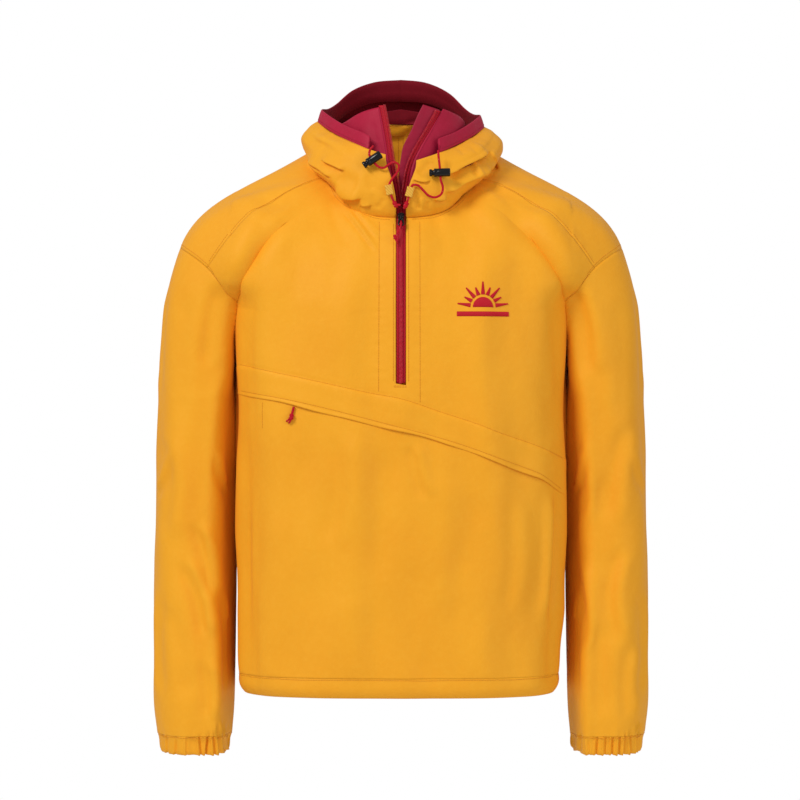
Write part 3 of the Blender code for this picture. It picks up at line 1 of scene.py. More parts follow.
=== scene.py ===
"""Dresses the anorak pullover: creased cloth shells, sewing, zip, cords and cord locks.

Sizes in the tables are millimetres in the model's own frame: +Z up, the front faces -Y, the wearer's
left is +X and the origin lies between the shoulders.
"""

import math

import bmesh
import bpy
import numpy as np
from mathutils import Matrix, Vector
from mathutils.bvhtree import BVHTree
from mathutils.kdtree import KDTree


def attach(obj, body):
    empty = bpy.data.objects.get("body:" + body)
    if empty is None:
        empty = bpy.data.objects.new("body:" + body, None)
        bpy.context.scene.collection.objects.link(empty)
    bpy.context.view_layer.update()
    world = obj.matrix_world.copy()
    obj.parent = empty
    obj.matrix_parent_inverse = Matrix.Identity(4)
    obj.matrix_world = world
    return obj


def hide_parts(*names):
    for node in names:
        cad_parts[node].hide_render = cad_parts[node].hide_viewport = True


MM = 0.001
GARMENT, PULL = "garment", "pull"

# ---------------------------------------------------------------- torso
CHEST_Z = -190.0
HEM_SEAM_Z = -630.0
HEM_TURN_Z = -646.0
HEM_Z = -654.0
SIDE_POWER = 3.1
SECTION_HALF_WIDTH = 206.0
SECTION_HALF_DEPTH = 140.0
TORSO_COLUMNS = ("z", "half_width", "front", "back")
TORSO = (
    (-100.0, 207.0, 128.0, 118.0),
    (-190.0, 206.0, 138.0, 118.0),
    (-300.0, 204.5, 140.0, 112.0),
    (-430.0, 204.0, 137.0, 109.0),
    (-560.0, 202.5, 133.0, 112.0),
    (-630.0, 202.0, 131.0, 114.0),
    (HEM_TURN_Z, 201.0, 130.0, 113.0),
    (HEM_Z, 196.0, 126.0, 109.0),
)

# ---------------------------------------------------------------- neck seam and armhole
NECK_HALF_WIDTH = 96.0
NECK_HALF_DEPTH = 95.0
NECK_CENTRE_Y = -3.0
NECK_CENTRE_Z = -7.0
NECK_TILT = 65.0
NECK_SHOULDER_LIFT = 21.0
NECK_ROUNDNESS = 0.8
SHOULDER_POINT = (276.0, 0.0, -104.0)
UNDERARM = (206.0, 4.0, -190.0)
ARMHOLE_HALF_DEPTH = 84.0
ARMHOLE_BOW = 18.0
CORNER_ANGLE = 135.0
YOKE_ANGLE = 70.0
ONTO_SIDE_ANGLE = 108.0
CORNER_SHARE = 0.6
RIB_COLUMNS = ("share", "neck", "leave_x", "leave_y", "leave_z", "leave_reach",
               "arrive_x", "arrive_y", "arrive_z", "arrive_reach")
FRONT_RIBS = (
    (0.00, 0.0, 0.00, -0.62, -0.78, 0.36, 0.00, -0.04, -1.00, 0.34),
    (0.20, 20.0, 0.44, -0.48, -0.76, 0.38, 0.03, -0.04, -1.00, 0.34),
    (0.40, 36.0, 0.72, -0.44, -0.54, 0.44, 0.08, 0.02, -1.00, 0.36),
    (0.60, 50.0, 0.82, -0.44, -0.36, 0.54, 0.10, 0.78, -0.62, 0.30),
    (0.80, 68.0, 0.88, -0.31, -0.35, 0.46, 0.56, 0.34, -0.75, 0.32),
    (1.00, 90.0, 0.92, 0.00, -0.38, 0.42, 0.30, 0.00, -0.95, 0.30),
)
BACK_RIBS = (
    (0.00, 180.0, 0.00, 0.50, -0.86, 0.30, 0.00, -0.04, -1.00, 0.38),
    (0.20, 162.0, 0.46, 0.48, -0.74, 0.34, 0.03, -0.04, -1.00, 0.38),
    (0.40, 146.0, 0.72, 0.44, -0.52, 0.40, 0.08, -0.04, -1.00, 0.38),
    (0.60, 130.0, 0.84, 0.34, -0.40, 0.48, 0.12, -0.52, -0.82, 0.30),
    (0.80, 112.0, 0.88, 0.28, -0.36, 0.45, 0.56, -0.34, -0.75, 0.32),
    (1.00, 90.0, 0.92, 0.00, -0.38, 0.42, 0.30, 0.00, -0.95, 0.30),
)

# ---------------------------------------------------------------- front opening and pocket
SLIT_HALF = 6.0
SLIT_BOTTOM_Z = -275.0
POCKET_EDGE = ((-203.0, -287.0), (-131.0, -300.0), (-25.0, -326.0), (79.0, -355.0),
               (128.0, -373.0), (182.0, -394.0), (203.0, -404.0))
POCKET_LEVEL = -330.0
SEAM_UNDER_FLAP = 9.0
FLAP_END_SHARE = 0.985

# ---------------------------------------------------------------- sleeve and cuff
SLEEVE_COLUMNS = ("z", "centre_x", "centre_y", "half_width", "half_depth", "turn")
SLEEVE = (
    (-290.0, 249.0, 8.0, 51.0, 80.0, 9.0),
    (-400.0, 254.5, 13.0, 49.5, 79.0, 11.0),
    (-500.0, 257.5, 13.0, 49.5, 77.0, 10.0),
    (-600.0, 258.0, 8.0, 50.5, 72.0, 6.0),
    (-680.0, 258.5, 3.0, 49.0, 66.0, 3.0),
    (-708.0, 258.0, 1.0, 46.0, 62.0, 2.0),
)
HEAD_END_Z = SLEEVE[0][0]
WRIST_Z, WRIST_X, WRIST_Y, WRIST_HALF_WIDTH, WRIST_HALF_DEPTH = SLEEVE[-1][:5]
SLEEVE_FULL = 17.0       # the cloth hangs fuller at the sleeve's front, on the body's side
HEAD_CLOSE = 8.0         # the sleeve's head lies close to the body's side
CUFF_BOTTOM_Z = -731.0
CUFF_GATHERS = 14
CUFF_GATHER_DEPTH = 1.6
SIDE_CLEARANCE = 3.0
CLEAR_BELOW_HEM = 20.0
HEAD_REACH = 0.36
HEAD_OVER, HEAD_FACE, HEAD_UNDER, HEAD_TURN = 0.30, 0.50, 0.10, 0.10
INNER_COSINE = -0.6

# ---------------------------------------------------------------- hood, brim band and collar
HOOD_COLUMNS = ("half_width", "front_y", "back_y", "z0", "z55", "z90", "z130", "z180")
HOOD = (
    (109.0, -103.0, 112.0, -66.0, -26.0, 19.0, 44.0, 58.0),
    (120.0, -107.0, 126.0, -57.0, -17.0, 17.0, 38.0, 26.0),
    (126.0, -109.0, 135.0, -47.0, -11.0, 21.0, 26.0, -30.0),
    (127.0, -109.0, 144.0, -37.0, -3.0, 27.0, 16.0, -84.0),
    (126.0, -109.0, 163.0, -27.0, 5.0, 34.0, 14.0, -108.0),
    (122.0, -108.0, 184.0, -19.0, 11.0, 40.0, 26.0, -90.0),
    (117.0, -106.0, 193.0, -12.0, 18.0, 45.0, 46.0, -30.0),
    (112.0, -104.0, 184.0, -6.0, 25.0, 50.0, 62.0, 36.0),
)
BRIM_COLUMNS = ("angle", "x", "y", "z_low", "z_high")
BRIM = (
    (0.0, 0.0, -101.0, -1.0, 0.0),
    (20.0, 38.0, -96.0, 11.0, 26.0),
    (45.0, 71.0, -60.0, 28.0, 43.0),
    (75.0, 96.0, -18.0, 46.0, 61.0),
    (93.0, 104.0, 10.0, 55.0, 70.0),
    (112.0, 96.0, 48.0, 61.0, 75.0),
    (128.0, 86.0, 84.0, 70.0, 85.0),
    (145.0, 65.0, 112.0, 90.0, 105.0),
    (162.0, 36.0, 128.0, 102.0, 117.0),
    (180.0, 0.0, 133.0, 105.0, 120.5),
)
HOOD_ANGLES = (-55.0, 0.0, 55.0, 90.0, 130.0, 180.0, 230.0)      # of the heights z0 to z180, and past them
HOOD_CENTRE_Y = 8.0
FACING_ROW = 6
HOOD_OPENING = 18.5
BRIM_LEAN = 0.045
COLLAR_TOP = ((0.0, 68.0), (30.0, 60.0), (55.0, 50.0), (90.0, 47.0), (130.0, 62.0), (180.0, 78.0))
COLLAR_HALF_WIDTH = 80.0
COLLAR_FRONT_Y = -79.0
COLLAR_BACK_Y = 84.0
COLLAR_INSET = 4.6
COLLAR_LIFT = 1.5
EDGE_COLUMNS = ("z", "right", "left", "flap")
COLLAR_EDGES = (
    (-74.0, -6.0, 6.0, -5.0),
    (-56.0, -6.1, 6.1, -4.6),
    (-34.0, -8.5, 8.5, -3.5),
    (0.0, -15.0, 16.5, -0.5),
    (17.0, -17.5, 25.0, 3.0),
    (36.0, -20.5, 36.0, 13.6),
    (60.0, -25.0, 48.5, 26.0),
    (70.0, -27.0, 53.0, 31.0),
)
TAPE_WIDTH = 5.7
TAPE_EDGE_X = (0.15, 5.85)
TAPE_SINK = 0.5
TAPE_TOP_Z = {"left": 61.0, "right": 67.0}
GUARD_SPAN = (-72.0, 62.0)
GUARD_BACK = 3.4
GUARD_OVERLAP = 1.0
GUARD_PEAK = 6.0
GUARD_PEAK_Z = 55.0
HOOD_EASE_ANGLE = 60.0

# ---------------------------------------------------------------- cords
CORD_RADIUS = 1.4
LEFT_CORD = ((45.0, -109.0, 8.5), (45.5, -112.4, 0.0), (46.6, -112.8, -9.0), (47.4, -112.8, -18.6),
             (48.2, -112.8, -28.0), (50.6, -112.0, -36.5), (49.0, -111.2, -44.0),
             (41.0, -111.4, -48.5), (33.8, -112.0, -46.6), (27.0, -112.2, -40.2),
             (20.5, -112.2, -34.0), (14.5, -112.4, -33.6), (11.6, -112.6, -38.5),
             (9.6, -112.6, -45.5), (8.0, -111.6, -52.5))
RIGHT_CORD = ((-33.5, -108.4, 14.0), (-37.6, -111.0, 8.6), (-38.4, -111.8, 3.0), (-34.5, -111.8, -2.8),
              (-30.6, -111.8, -8.6), (-26.0, -111.4, -12.0), (-20.5, -111.2, -12.6),
              (-14.8, -111.2, -8.6), (-8.0, -111.2, -6.0), (-3.2, -111.2, -8.8), (-4.0, -111.6, -17.0),
              (-9.5, -112.2, -24.5), (-13.8, -112.6, -32.0), (-14.6, -112.6, -39.0),
              (-12.0, -112.6, -46.0), (-9.6, -111.6, -52.0))

# ---------------------------------------------------------------- mesh density of the shells
COLUMNS_TO_CORNER = 62
COLUMNS_CORNER_TO_YOKE = 18
COLUMNS_YOKE_TO_RIDGE = 20
COLUMNS_UNDERARM = 14
COLUMNS_BRIM = 240
COLUMNS_COLLAR = 120
COLUMNS_FLAP = 330
COLUMNS_GUARD = 14
ROWS_ABOVE_SLIT_END, ROWS_BELOW_SLIT_END = 44, 26
ROWS_SLEEVE = 160
ROWS_HOOD = 68
ROWS_FACING = 26
ROWS_COLLAR = 36
ROWS_GUARD = 70
# rows, and how far the one beside a seam lies from it, as a share of the length
ROWS_RIBS = (84, 0.011)
ROWS_LOWER_FRONT = (112, 0.007)
ROWS_BACK = (108, 0.004)
ROWS_SLEEVE_HEAD = (70, 0.016)
SEAM_EDGE = 1.4          # a shell's last row lies this far from its seam
CLOTH = 0.5              # thickness of the shown cloth
SEAM_GAP = 0.3           # gap between two pieces at a seam


# ================================================================ curves
def column(table, names, name):
    """One named column of a table."""
    return np.array([row[names.index(name)] for row in table], float)


def spline(keys, values, at):
    """A smooth curve through values at rising keys, with the slopes of its neighbours."""
    keys, values = np.asarray(keys, float), np.asarray(values, float)
    at = np.clip(np.asarray(at, float), keys[0], keys[-1])
    slope = np.gradient(values, keys, axis=0)
    i = np.clip(np.searchsorted(keys, at, side="right") - 1, 0, len(keys) - 2)
    step = keys[i + 1] - keys[i]
    t = (at - keys[i]) / step
    if values.ndim > 1:
        t, step = t[..., None], step[..., None]
    return ((2 * t**3 - 3 * t**2 + 1) * values[i] + (t**3 - 2 * t**2 + t) * step * slope[i]
            + (3 * t**2 - 2 * t**3) * values[i + 1] + (t**3 - t**2) * step * slope[i + 1])


def look_up(table, names, key, name, at):
    """A named column of a table as a smooth function of another column."""
    keys, values = column(table, names, key), column(table, names, name)
    order = np.argsort(keys)
    return spline(keys[order], values[order], at)


def smooth_step(low, high, at):
    t = np.clip((np.asarray(at, float) - low) / (high - low), 0.0, 1.0)
    return t * t * (3 - 2 * t)


def unit(v):
    v = np.asarray(v, float)
    return v / np.maximum(np.linalg.norm(v, axis=-1, keepdims=True), 1e-9)


def bezier(p0, p1, p2, p3, t):
    t = np.asarray(t, float)[..., None]
    return (1 - t)**3 * p0 + 3 * (1 - t)**2 * t * p1 + 3 * (1 - t) * t**2 * p2 + t**3 * p3


def travelled(points):
    """How far along a line of points each of them lies."""
    return np.concatenate([[0], np.cumsum(np.linalg.norm(np.diff(points, axis=0), axis=1))])


def smooth_path(knots, spacing):
    """Points at even steps of a smooth curve through the knots."""
    knots = np.array(knots, float)
    length = travelled(knots)
    count = max(4, int(length[-1] / spacing) + 1)
    return spline(length, knots, np.linspace(0, length[-1], count))


LEVEL = np.array([1.0, 1.0, 0.0])        # keeps the level part of a direction
SIDE_WORDS = {1: "left", -1: "right"}    # the wearer's own sides


def mirrored(points):
    """The same places on the wearer's right."""
    return points * np.array([-1.0, 1.0, 1.0])


def sided(points, side):
    """Places on the wearer's left for side 1, their mirror image for side -1."""
    return points if side > 0 else mirrored(points)


# ================================================================ torso surface
def side_angles():
    """Angle round a quarter section for even steps of its edge, from the centre line to the side."""
    angle = np.linspace(0.0, math.pi / 2, 400)
    power = 2 / SIDE_POWER
    x = SECTION_HALF_WIDTH * np.sin(angle)**power
    y = SECTION_HALF_DEPTH * np.cos(angle)**power
    length = np.concatenate([[0], np.cumsum(np.hypot(np.diff(x), np.diff(y)))])
    return length / length[-1], angle


EDGE_SHARE, EDGE_ANGLE = side_angles()


def torso_size(name, z):
    """The torso's half width, or its depth to the front or the back, at a height."""
    return look_up(TORSO, TORSO_COLUMNS, "z", name, z)


def torso(share, z, face):
    """Torso point. share is 0 on the centre line and 1 at the side, face -1 for the front, 1 for the back."""
    share, z = np.broadcast_arrays(np.asarray(share, float), np.asarray(z, float))
    angle = np.interp(np.abs(share), EDGE_SHARE, EDGE_ANGLE)
    power = 2 / SIDE_POWER
    depth = torso_size("front" if face < 0 else "back", z)
    x = np.sign(share) * torso_size("half_width", z) * np.sin(angle)**power
    y = UNDERARM[1] + face * (depth + face * -UNDERARM[1]) * np.cos(angle)**power
    return np.stack([x, y, z], -1)


def torso_side_x(y, z):
    """How far the torso's side reaches from the centre at a depth y."""
    depth = np.where(y < UNDERARM[1], torso_size("front", z) + UNDERARM[1],
                     torso_size("back", z) - UNDERARM[1])
    share = np.clip(np.abs(y - UNDERARM[1]) / depth, 0, 1)
    return torso_size("half_width", z) * (1 - share**SIDE_POWER)**(1 / SIDE_POWER)


def neck(angle):
    """Neck seam point on the wearer's left; angle in degrees, 0 at the front and 180 at the back."""
    a = np.radians(np.asarray(angle, float))
    x = NECK_HALF_WIDTH * np.abs(np.sin(a))**NECK_ROUNDNESS
    y = NECK_CENTRE_Y - NECK_HALF_DEPTH * np.cos(a)
    z = NECK_CENTRE_Z - NECK_TILT * np.cos(a) + NECK_SHOULDER_LIFT * np.sin(a)**4
    return np.stack([x, y, z], -1)


def armhole(angle):
    """Armhole seam point on the wearer's left; 0 at the shoulder point, 90 in front, 180 underarm."""
    angle = np.asarray(angle, float)
    a = np.radians(angle)
    top, low = np.array(SHOULDER_POINT), np.array(UNDERARM)
    middle, half = (top + low) / 2, (top - low) / 2
    point = middle + half * np.cos(a)[..., None]
    point[..., 0] -= ARMHOLE_BOW * np.sin(a)**2
    point[..., 1] -= ARMHOLE_HALF_DEPTH * np.sin(a)
    on_torso = smooth_step(ONTO_SIDE_ANGLE, CORNER_ANGLE, np.minimum(angle, 360 - angle))
    point[..., 0] += on_torso * (torso_side_x(point[..., 1], point[..., 2]) - point[..., 0])
    return point


def armhole_on(face, angle):
    """Armhole point at an angle counted over the front for face -1, over the back for 1."""
    return armhole(np.asarray(angle if face < 0 else 360 - angle))


def corner_torso_share(face):
    """The torso share of the column that runs up to the corner of chest line and armhole."""
    corner = armhole_on(face, CORNER_ANGLE)
    shares = np.linspace(0.5, 1.0, 400)
    y = torso(shares, corner[2], face)[:, 1]
    return float(shares[np.argmin(np.abs(y - corner[1]))])


CORNER_TORSO_SHARE = {-1: corner_torso_share(-1), 1: corner_torso_share(1)}


def outer_edge(share, face):
    """Where the rib at that share ends, on the wearer's left: the chest line, then the armhole."""
    share = np.asarray(share, float)
    corner = armhole_on(face, CORNER_ANGLE)
    chest = np.minimum(share / CORNER_SHARE, 1.0)
    z = CHEST_Z + (corner[2] - CHEST_Z) * chest**3
    on_chest = torso(chest * CORNER_TORSO_SHARE[face], z, face)
    on_armhole = armhole_on(face, CORNER_ANGLE * (1 - share) / (1 - CORNER_SHARE))
    return np.where((share < CORNER_SHARE - 1e-6)[..., None], on_chest, on_armhole)


def rib_value(face, name, share):
    """A column of the front's or the back's ribs at a share, carried on past the centre line."""
    ribs = FRONT_RIBS if face < 0 else BACK_RIBS
    keys, values = column(ribs, RIB_COLUMNS, "share"), column(ribs, RIB_COLUMNS, name)
    beyond = values[:0:-1]
    if name == "neck":
        beyond = (0.0 if face < 0 else 360.0) - beyond
    elif name.endswith("_x"):
        beyond = -beyond
    return spline(np.concatenate([-keys[:0:-1], keys]), np.concatenate([beyond, values]), share)


def rib_point(share, t, face):
    """Upper body point on the wearer's left: t is 0 at the neck seam and 1 at the outer edge."""
    share, t = np.broadcast_arrays(np.asarray(share, float), np.asarray(t, float))
    start, end = neck(rib_value(face, "neck", share)), outer_edge(share, face)
    length = np.linalg.norm(end - start, axis=-1, keepdims=True)

    def pull(end_name):
        way = unit(np.stack([rib_value(face, end_name + part, share) for part in ("_x", "_y", "_z")], -1))
        return way * length * rib_value(face, end_name + "_reach", share)[..., None]

    return bezier(start, start + pull("leave"), end - pull("arrive"), end, t)


def pocket_edge_z(x):
    """Height of the pocket flap's lower edge across the front."""
    keys, values = zip(*POCKET_EDGE)
    return spline(keys, values, x)


def seam_under_flap(x):
    return pocket_edge_z(x) + SEAM_UNDER_FLAP


# ================================================================ sleeve surface
def sleeve_section(angle, z):
    """Sleeve point below the head, on the wearer's left; the angle runs as at the armhole."""
    a, z = np.broadcast_arrays(np.radians(np.asarray(angle, float)), np.asarray(z, float))

    def named(name):
        return look_up(SLEEVE, SLEEVE_COLUMNS, "z", name, z)

    full = SLEEVE_FULL * np.exp(-((np.cos(a) + 0.8) / 0.3)**2) * smooth_step(0.0, 0.6, np.sin(a))
    across, along = named("half_width") * np.cos(a), -named("half_depth") * np.sin(a) - full
    turn = np.radians(named("turn"))
    x = named("centre_x") + across * np.cos(turn) - along * np.sin(turn)
    y = named("centre_y") + across * np.sin(turn) + along * np.cos(turn)
    nearest = torso_side_x(y, z) + SIDE_CLEARANCE
    x = np.where(z > HEM_Z - CLEAR_BELOW_HEM, np.maximum(x, nearest), x)
    return np.stack([x, y, z], -1)


def sleeve_head(angle, t):
    """Sleeve point between the armhole, t 0, and the first full section, t 1."""
    angle, t = np.broadcast_arrays(np.asarray(angle, float), np.asarray(t, float))
    a = np.radians(angle)
    start = armhole(angle)
    end = sleeve_section(angle, HEAD_END_Z)
    over, under = np.maximum(np.cos(a), 0), np.maximum(-np.cos(a), 0)
    leave = unit(np.stack([HEAD_OVER * over + HEAD_FACE * np.abs(np.sin(a)) + HEAD_UNDER * under,
                           HEAD_TURN * np.sin(a), np.full_like(a, -0.95)], -1))
    length = np.linalg.norm(end - start, axis=-1, keepdims=True)
    down = np.array([0.05, 0.0, -1.0])
    reach = length * HEAD_REACH
    point = bezier(start, start + leave * reach, end - down * reach, end, t)
    point[..., 0] -= HEAD_CLOSE * np.sin(math.pi * t) * smooth_step(0.2, 0.8, -np.cos(a))
    nearest = torso_side_x(point[..., 1], point[..., 2]) + SIDE_CLEARANCE * smooth_step(0.0, 0.3, t)
    inside = (np.cos(a) < INNER_COSINE) & (t > 0)
    point[..., 0] = np.where(inside, np.maximum(point[..., 0], nearest), point[..., 0])
    return point


# ================================================================ hood and collar surface
def brim_values(angle, *names):
    """Columns of the brim's table at angles round the hood."""
    return [look_up(BRIM, BRIM_COLUMNS, "angle", name, angle) for name in names]


def hood_rows(angle):
    """The hood's loops on the wearer's left at each angle: the neck seam first, the brim last."""
    angle = np.asarray(angle, float)
    a = np.radians(angle)
    rows = [neck(angle)]
    for row in HOOD:
        f = dict(zip(HOOD_COLUMNS, row))
        x = f["half_width"] * np.abs(np.sin(a))**NECK_ROUNDNESS
        reach = np.where(np.cos(a) > 0, HOOD_CENTRE_Y - f["front_y"], f["back_y"] - HOOD_CENTRE_Y)
        heights = [f["z0"], f["z55"], f["z90"], f["z130"], f["z180"]]
        z = spline(HOOD_ANGLES, [heights[1]] + heights + [heights[3]], angle)
        rows.append(np.stack([x, HOOD_CENTRE_Y - reach * np.cos(a), z], -1))
    rows.append(np.stack(brim_values(angle, "x", "y", "z_low"), -1))
    return np.array(rows)


HOOD_LAST = len(HOOD) + 1


def hood_surface(row, angle):
    """Hood point at any place between the loops; row runs from 0 to HOOD_LAST."""
    row, angle = np.broadcast_arrays(np.asarray(row, float), np.asarray(angle, float))
    loops = hood_rows(angle)
    i = np.clip(np.floor(row).astype(int), 0, HOOD_LAST - 1)
    f = (row - i)[..., None]
    pick = np.indices(row.shape)
    a, b = (loops[(i + k, *pick)] for k in (0, 1))
    before = loops[(np.maximum(i - 1, 0), *pick)]
    after = loops[(np.minimum(i + 2, HOOD_LAST), *pick)]
    leave = np.where((i == 0)[..., None], b - a, (b - before) / 2)
    arrive = np.where((i == HOOD_LAST - 1)[..., None], b - a, (after - a) / 2)
    return ((2 * f**3 - 3 * f**2 + 1) * a + (f**3 - 2 * f**2 + f) * leave
            + (3 * f**2 - 2 * f**3) * b + (f**3 - f**2) * arrive)


def collar_point(angle, t):
    """Inner collar on the wearer's left, outer face; t is 0 at the neck seam and 1 at the top."""
    angle, t = np.broadcast_arrays(np.asarray(angle, float), np.asarray(t, float))
    seam = neck(angle)
    flat = unit(seam * LEVEL - np.array([0.0, NECK_CENTRE_Y, 0.0]))
    seam = seam - flat * COLLAR_INSET + np.array([0.0, 0.0, COLLAR_LIFT])
    a = np.radians(angle)
    keys, values = zip(*COLLAR_TOP)
    x = COLLAR_HALF_WIDTH * np.abs(np.sin(a))**NECK_ROUNDNESS
    middle, half = (COLLAR_FRONT_Y + COLLAR_BACK_Y) / 2, (COLLAR_BACK_Y - COLLAR_FRONT_Y) / 2
    top = np.stack([x, middle - half * np.cos(a), spline(keys, values, angle)], -1)
    return seam + (top - seam) * t[..., None]


COLLAR_FRONT_GRID = collar_point(np.linspace(0.0, 60.0, 240)[:, None], np.linspace(0.0, 1.02, 60)[None])


def collar_front(x, z):
    """Point of the collar's outer face near the front at a sideways place and height."""
    gap = (COLLAR_FRONT_GRID[..., 0] - abs(x))**2 + (COLLAR_FRONT_GRID[..., 2] - z)**2
    nearest = np.unravel_index(np.argmin(gap), gap.shape)
    return np.array([x, COLLAR_FRONT_GRID[nearest][1], z])


def collar_edge(name, z):
    return look_up(COLLAR_EDGES, EDGE_COLUMNS, "z", name, z)


# ================================================================ creases and drape
# a crease is pressed into the cloth along a line. Each row holds its kind, width and depth, and the
# line's places: across and up, or for the creases seen from outside depth and up. A trough is a soft
# valley, a ridge a soft rise; a roll rises on the line's left and dips on its right; a ledge does so
# abruptly, as cloth that hangs over itself.
FRONT_CREASES = (
    # neck, fanning out below the seam on the wearer's right of the zip
    ("roll", 3.0, 1.9, ((-72, -58), (-60, -74), (-44, -96), (-28, -118))),
    ("roll", 2.6, 1.5, ((-58, -62), (-44, -80), (-28, -100))),
    ("roll", 2.8, 0.9, ((-46, -72), (-36, -84), (-27, -92))),
    ("trough", 6.0, 1.0, ((-88, -52), (-78, -80), (-62, -112))),
    ("trough", 9.0, 1.0, ((36, -62), (48, -90), (52, -130))),
    ("trough", 14.0, 1.4, ((86, -60), (112, -110), (120, -170))),
    ("ridge", 18.0, 1.2, ((-96, -70), (-112, -130), (-118, -200))),
    # chest beside the armholes
    ("ridge", 26.0, 10.0, ((-168, -44), (-186, -88), (-198, -130), (-203, -176))),
    ("ridge", 26.0, 9.0, ((168, -46), (186, -90), (198, -132), (203, -178))),
    ("trough", 9.0, 1.8, ((-190, -190), (-193, -250), (-195, -330))),
    ("trough", 10.0, 2.6, ((191, -180), (194, -240), (196, -340))),
    ("ridge", 14.0, 1.6, ((170, -140), (168, -205), (174, -290))),
    ("roll", 10.0, 1.3, ((186, -285), (190, -315), (184, -350))),
    # below the pocket flap
    ("roll", 15.0, 2.4, ((-70, -330), (-66, -400), (-84, -480))),
    ("trough", 17.0, 2.4, ((-20, -345), (-28, -420), (-22, -520))),
    ("roll", 9.0, 2.7, ((14, -345), (22, -380), (34, -415))),
    ("ridge", 20.0, 2.7, ((52, -375), (58, -450), (50, -560))),
    ("trough", 16.0, 2.4, ((92, -392), (100, -470), (92, -590))),
    ("trough", 20.0, 2.6, ((-112, -330), (-124, -430), (-118, -560))),
    ("roll", 14.0, 2.1, ((136, -400), (142, -470), (134, -560))),
    ("roll", 7.5, 4.6, ((177, -572), (182, -520), (186, -455), (186, -400))),
    ("trough", 10.0, 4.2, ((-194, -300), (-190, -400), (-192, -520), (-188, -640))),
    ("trough", 9.0, 3.8, ((192, -540), (189, -600), (190, -650))),
    ("ridge", 22.0, 2.2, ((-150, -420), (-156, -500), (-148, -610))),
    ("trough", 24.0, 1.9, ((20, -480), (10, -560), (16, -640))),
    ("ridge", 26.0, 1.8, ((-60, -520), (-54, -580), (-62, -640))),
    # hood, wearer's right: slanting folds with a soft hollow between them, and the slump over the seam
    ("ledge", 7.0, 2.8, ((-119, 2), (-108, -6), (-98, -14), (-86, -24))),
    ("ledge", 7.0, 3.2, ((-100, 2), (-94, -2), (-81, -9), (-68, -16))),
    ("trough", 11.0, 3.4, ((-78, -18), (-64, -27), (-50, -31))),
    ("ledge", 7.0, 3.6, ((-84, -36), (-70, -45.5), (-58, -47.5), (-46, -49))),
    ("ledge", 3.6, 1.9, ((-48, -56), (-42, -57.5), (-36, -57))),
    ("trough", 2.6, 1.5, ((-20, -49), (-24, -55), (-29, -63))),
    ("trough", 3.2, 1.1, ((-41, -20), (-38, -29), (-34, -40))),
    ("trough", 2.8, 1.1, ((-36, -43), (-33, -52), (-29, -62))),
    ("roll", 6.0, 1.0, ((-111, 31), (-90, 22), (-66, 8))),
    ("ridge", 5.0, 1.8, ((-86, -26), (-78, -36), (-66, -42), (-48, -44))),
    # hood, wearer's left: a deep drooping fold, the hollow under it and the fold that closes it
    ("ledge", 13.0, 6.6, ((54, -24), (76, -9), (91, -1.5), (103, 6), (111, 14))),
    ("ledge", 7.5, 4.0, ((109, 13), (114, 8), (118, 1), (122, -8))),
    ("roll", 3.6, 2.6, ((91, -2), (92.5, -10), (94, -20))),
    ("ledge", 9.0, 4.6, ((50, -43), (62, -39.5), (82, -28), (96, -21), (109, -13), (118, -5))),
    ("trough", 5.0, 2.0, ((66, -12), (70, -19), (64, -28))),
    ("trough", 5.5, 2.2, ((38, -5), (30, -11), (20, -20))),
    ("ledge", 4.4, 2.2, ((15, -26), (24, -30), (36, -28))),
    ("trough", 3.0, 1.8, ((17, -43), (19, -52), (23, -64))),
    ("roll", 2.6, 1.5, ((24, -46), (23, -54), (25, -63))),
    ("trough", 2.8, 1.4, ((33, -52), (33, -60), (34, -67))),
    ("ledge", 4.6, 2.4, ((40, -51), (48, -51.5), (57, -48))),
    ("trough", 2.6, 1.3, ((58, -46), (57, -51), (60, -56))),
    ("trough", 3.4, 0.8, ((71, 18), (73, 12), (77, 6))),
    ("trough", 3.2, 0.8, ((86, 19), (88, 14), (89, 9))),
    # sleeves, seen from the front
    ("roll", 12.0, 3.3, ((-214, -150), (-226, -190), (-232, -260))),
    ("trough", 14.0, 3.0, ((-262, -150), (-270, -240), (-268, -340))),
    ("roll", 13.0, 3.0, ((-292, -330), (-278, -390), (-286, -470))),
    ("roll", 9.0, 3.6, ((-252, -440), (-236, -486), (-228, -540))),
    ("roll", 10.0, 3.9, ((-268, -486), (-248, -530), (-236, -590))),
    ("trough", 12.0, 3.3, ((-284, -540), (-270, -600), (-262, -668))),
    ("roll", 9.0, 2.4, ((-240, -610), (-232, -650), (-236, -690))),
    ("roll", 12.0, 3.3, ((216, -146), (230, -196), (236, -270))),
    ("trough", 13.0, 3.0, ((264, -160), (272, -250), (268, -330))),
    ("roll", 13.0, 3.3, ((284, -320), (268, -380), (262, -450))),
    ("trough", 11.0, 3.3, ((248, -380), (240, -450), (246, -520))),
    ("roll", 11.0, 3.6, ((276, -470), (262, -530), (272, -600))),
    ("trough", 12.0, 3.0, ((246, -560), (242, -620), (250, -690))),
    ("roll", 10.0, 2.7, ((286, -590), (280, -640), (284, -694))),
    ("trough", 10.0, 1.8, ((-236, -680), (-240, -560), (-242, -430), (-238, -330))),
    ("roll", 7.0, 2.2, ((222, -330), (226, -380), (230, -420), (222, -452))),
    ("roll", 7.0, 2.4, ((220, -486), (228, -540), (230, -580), (222, -612))),
)
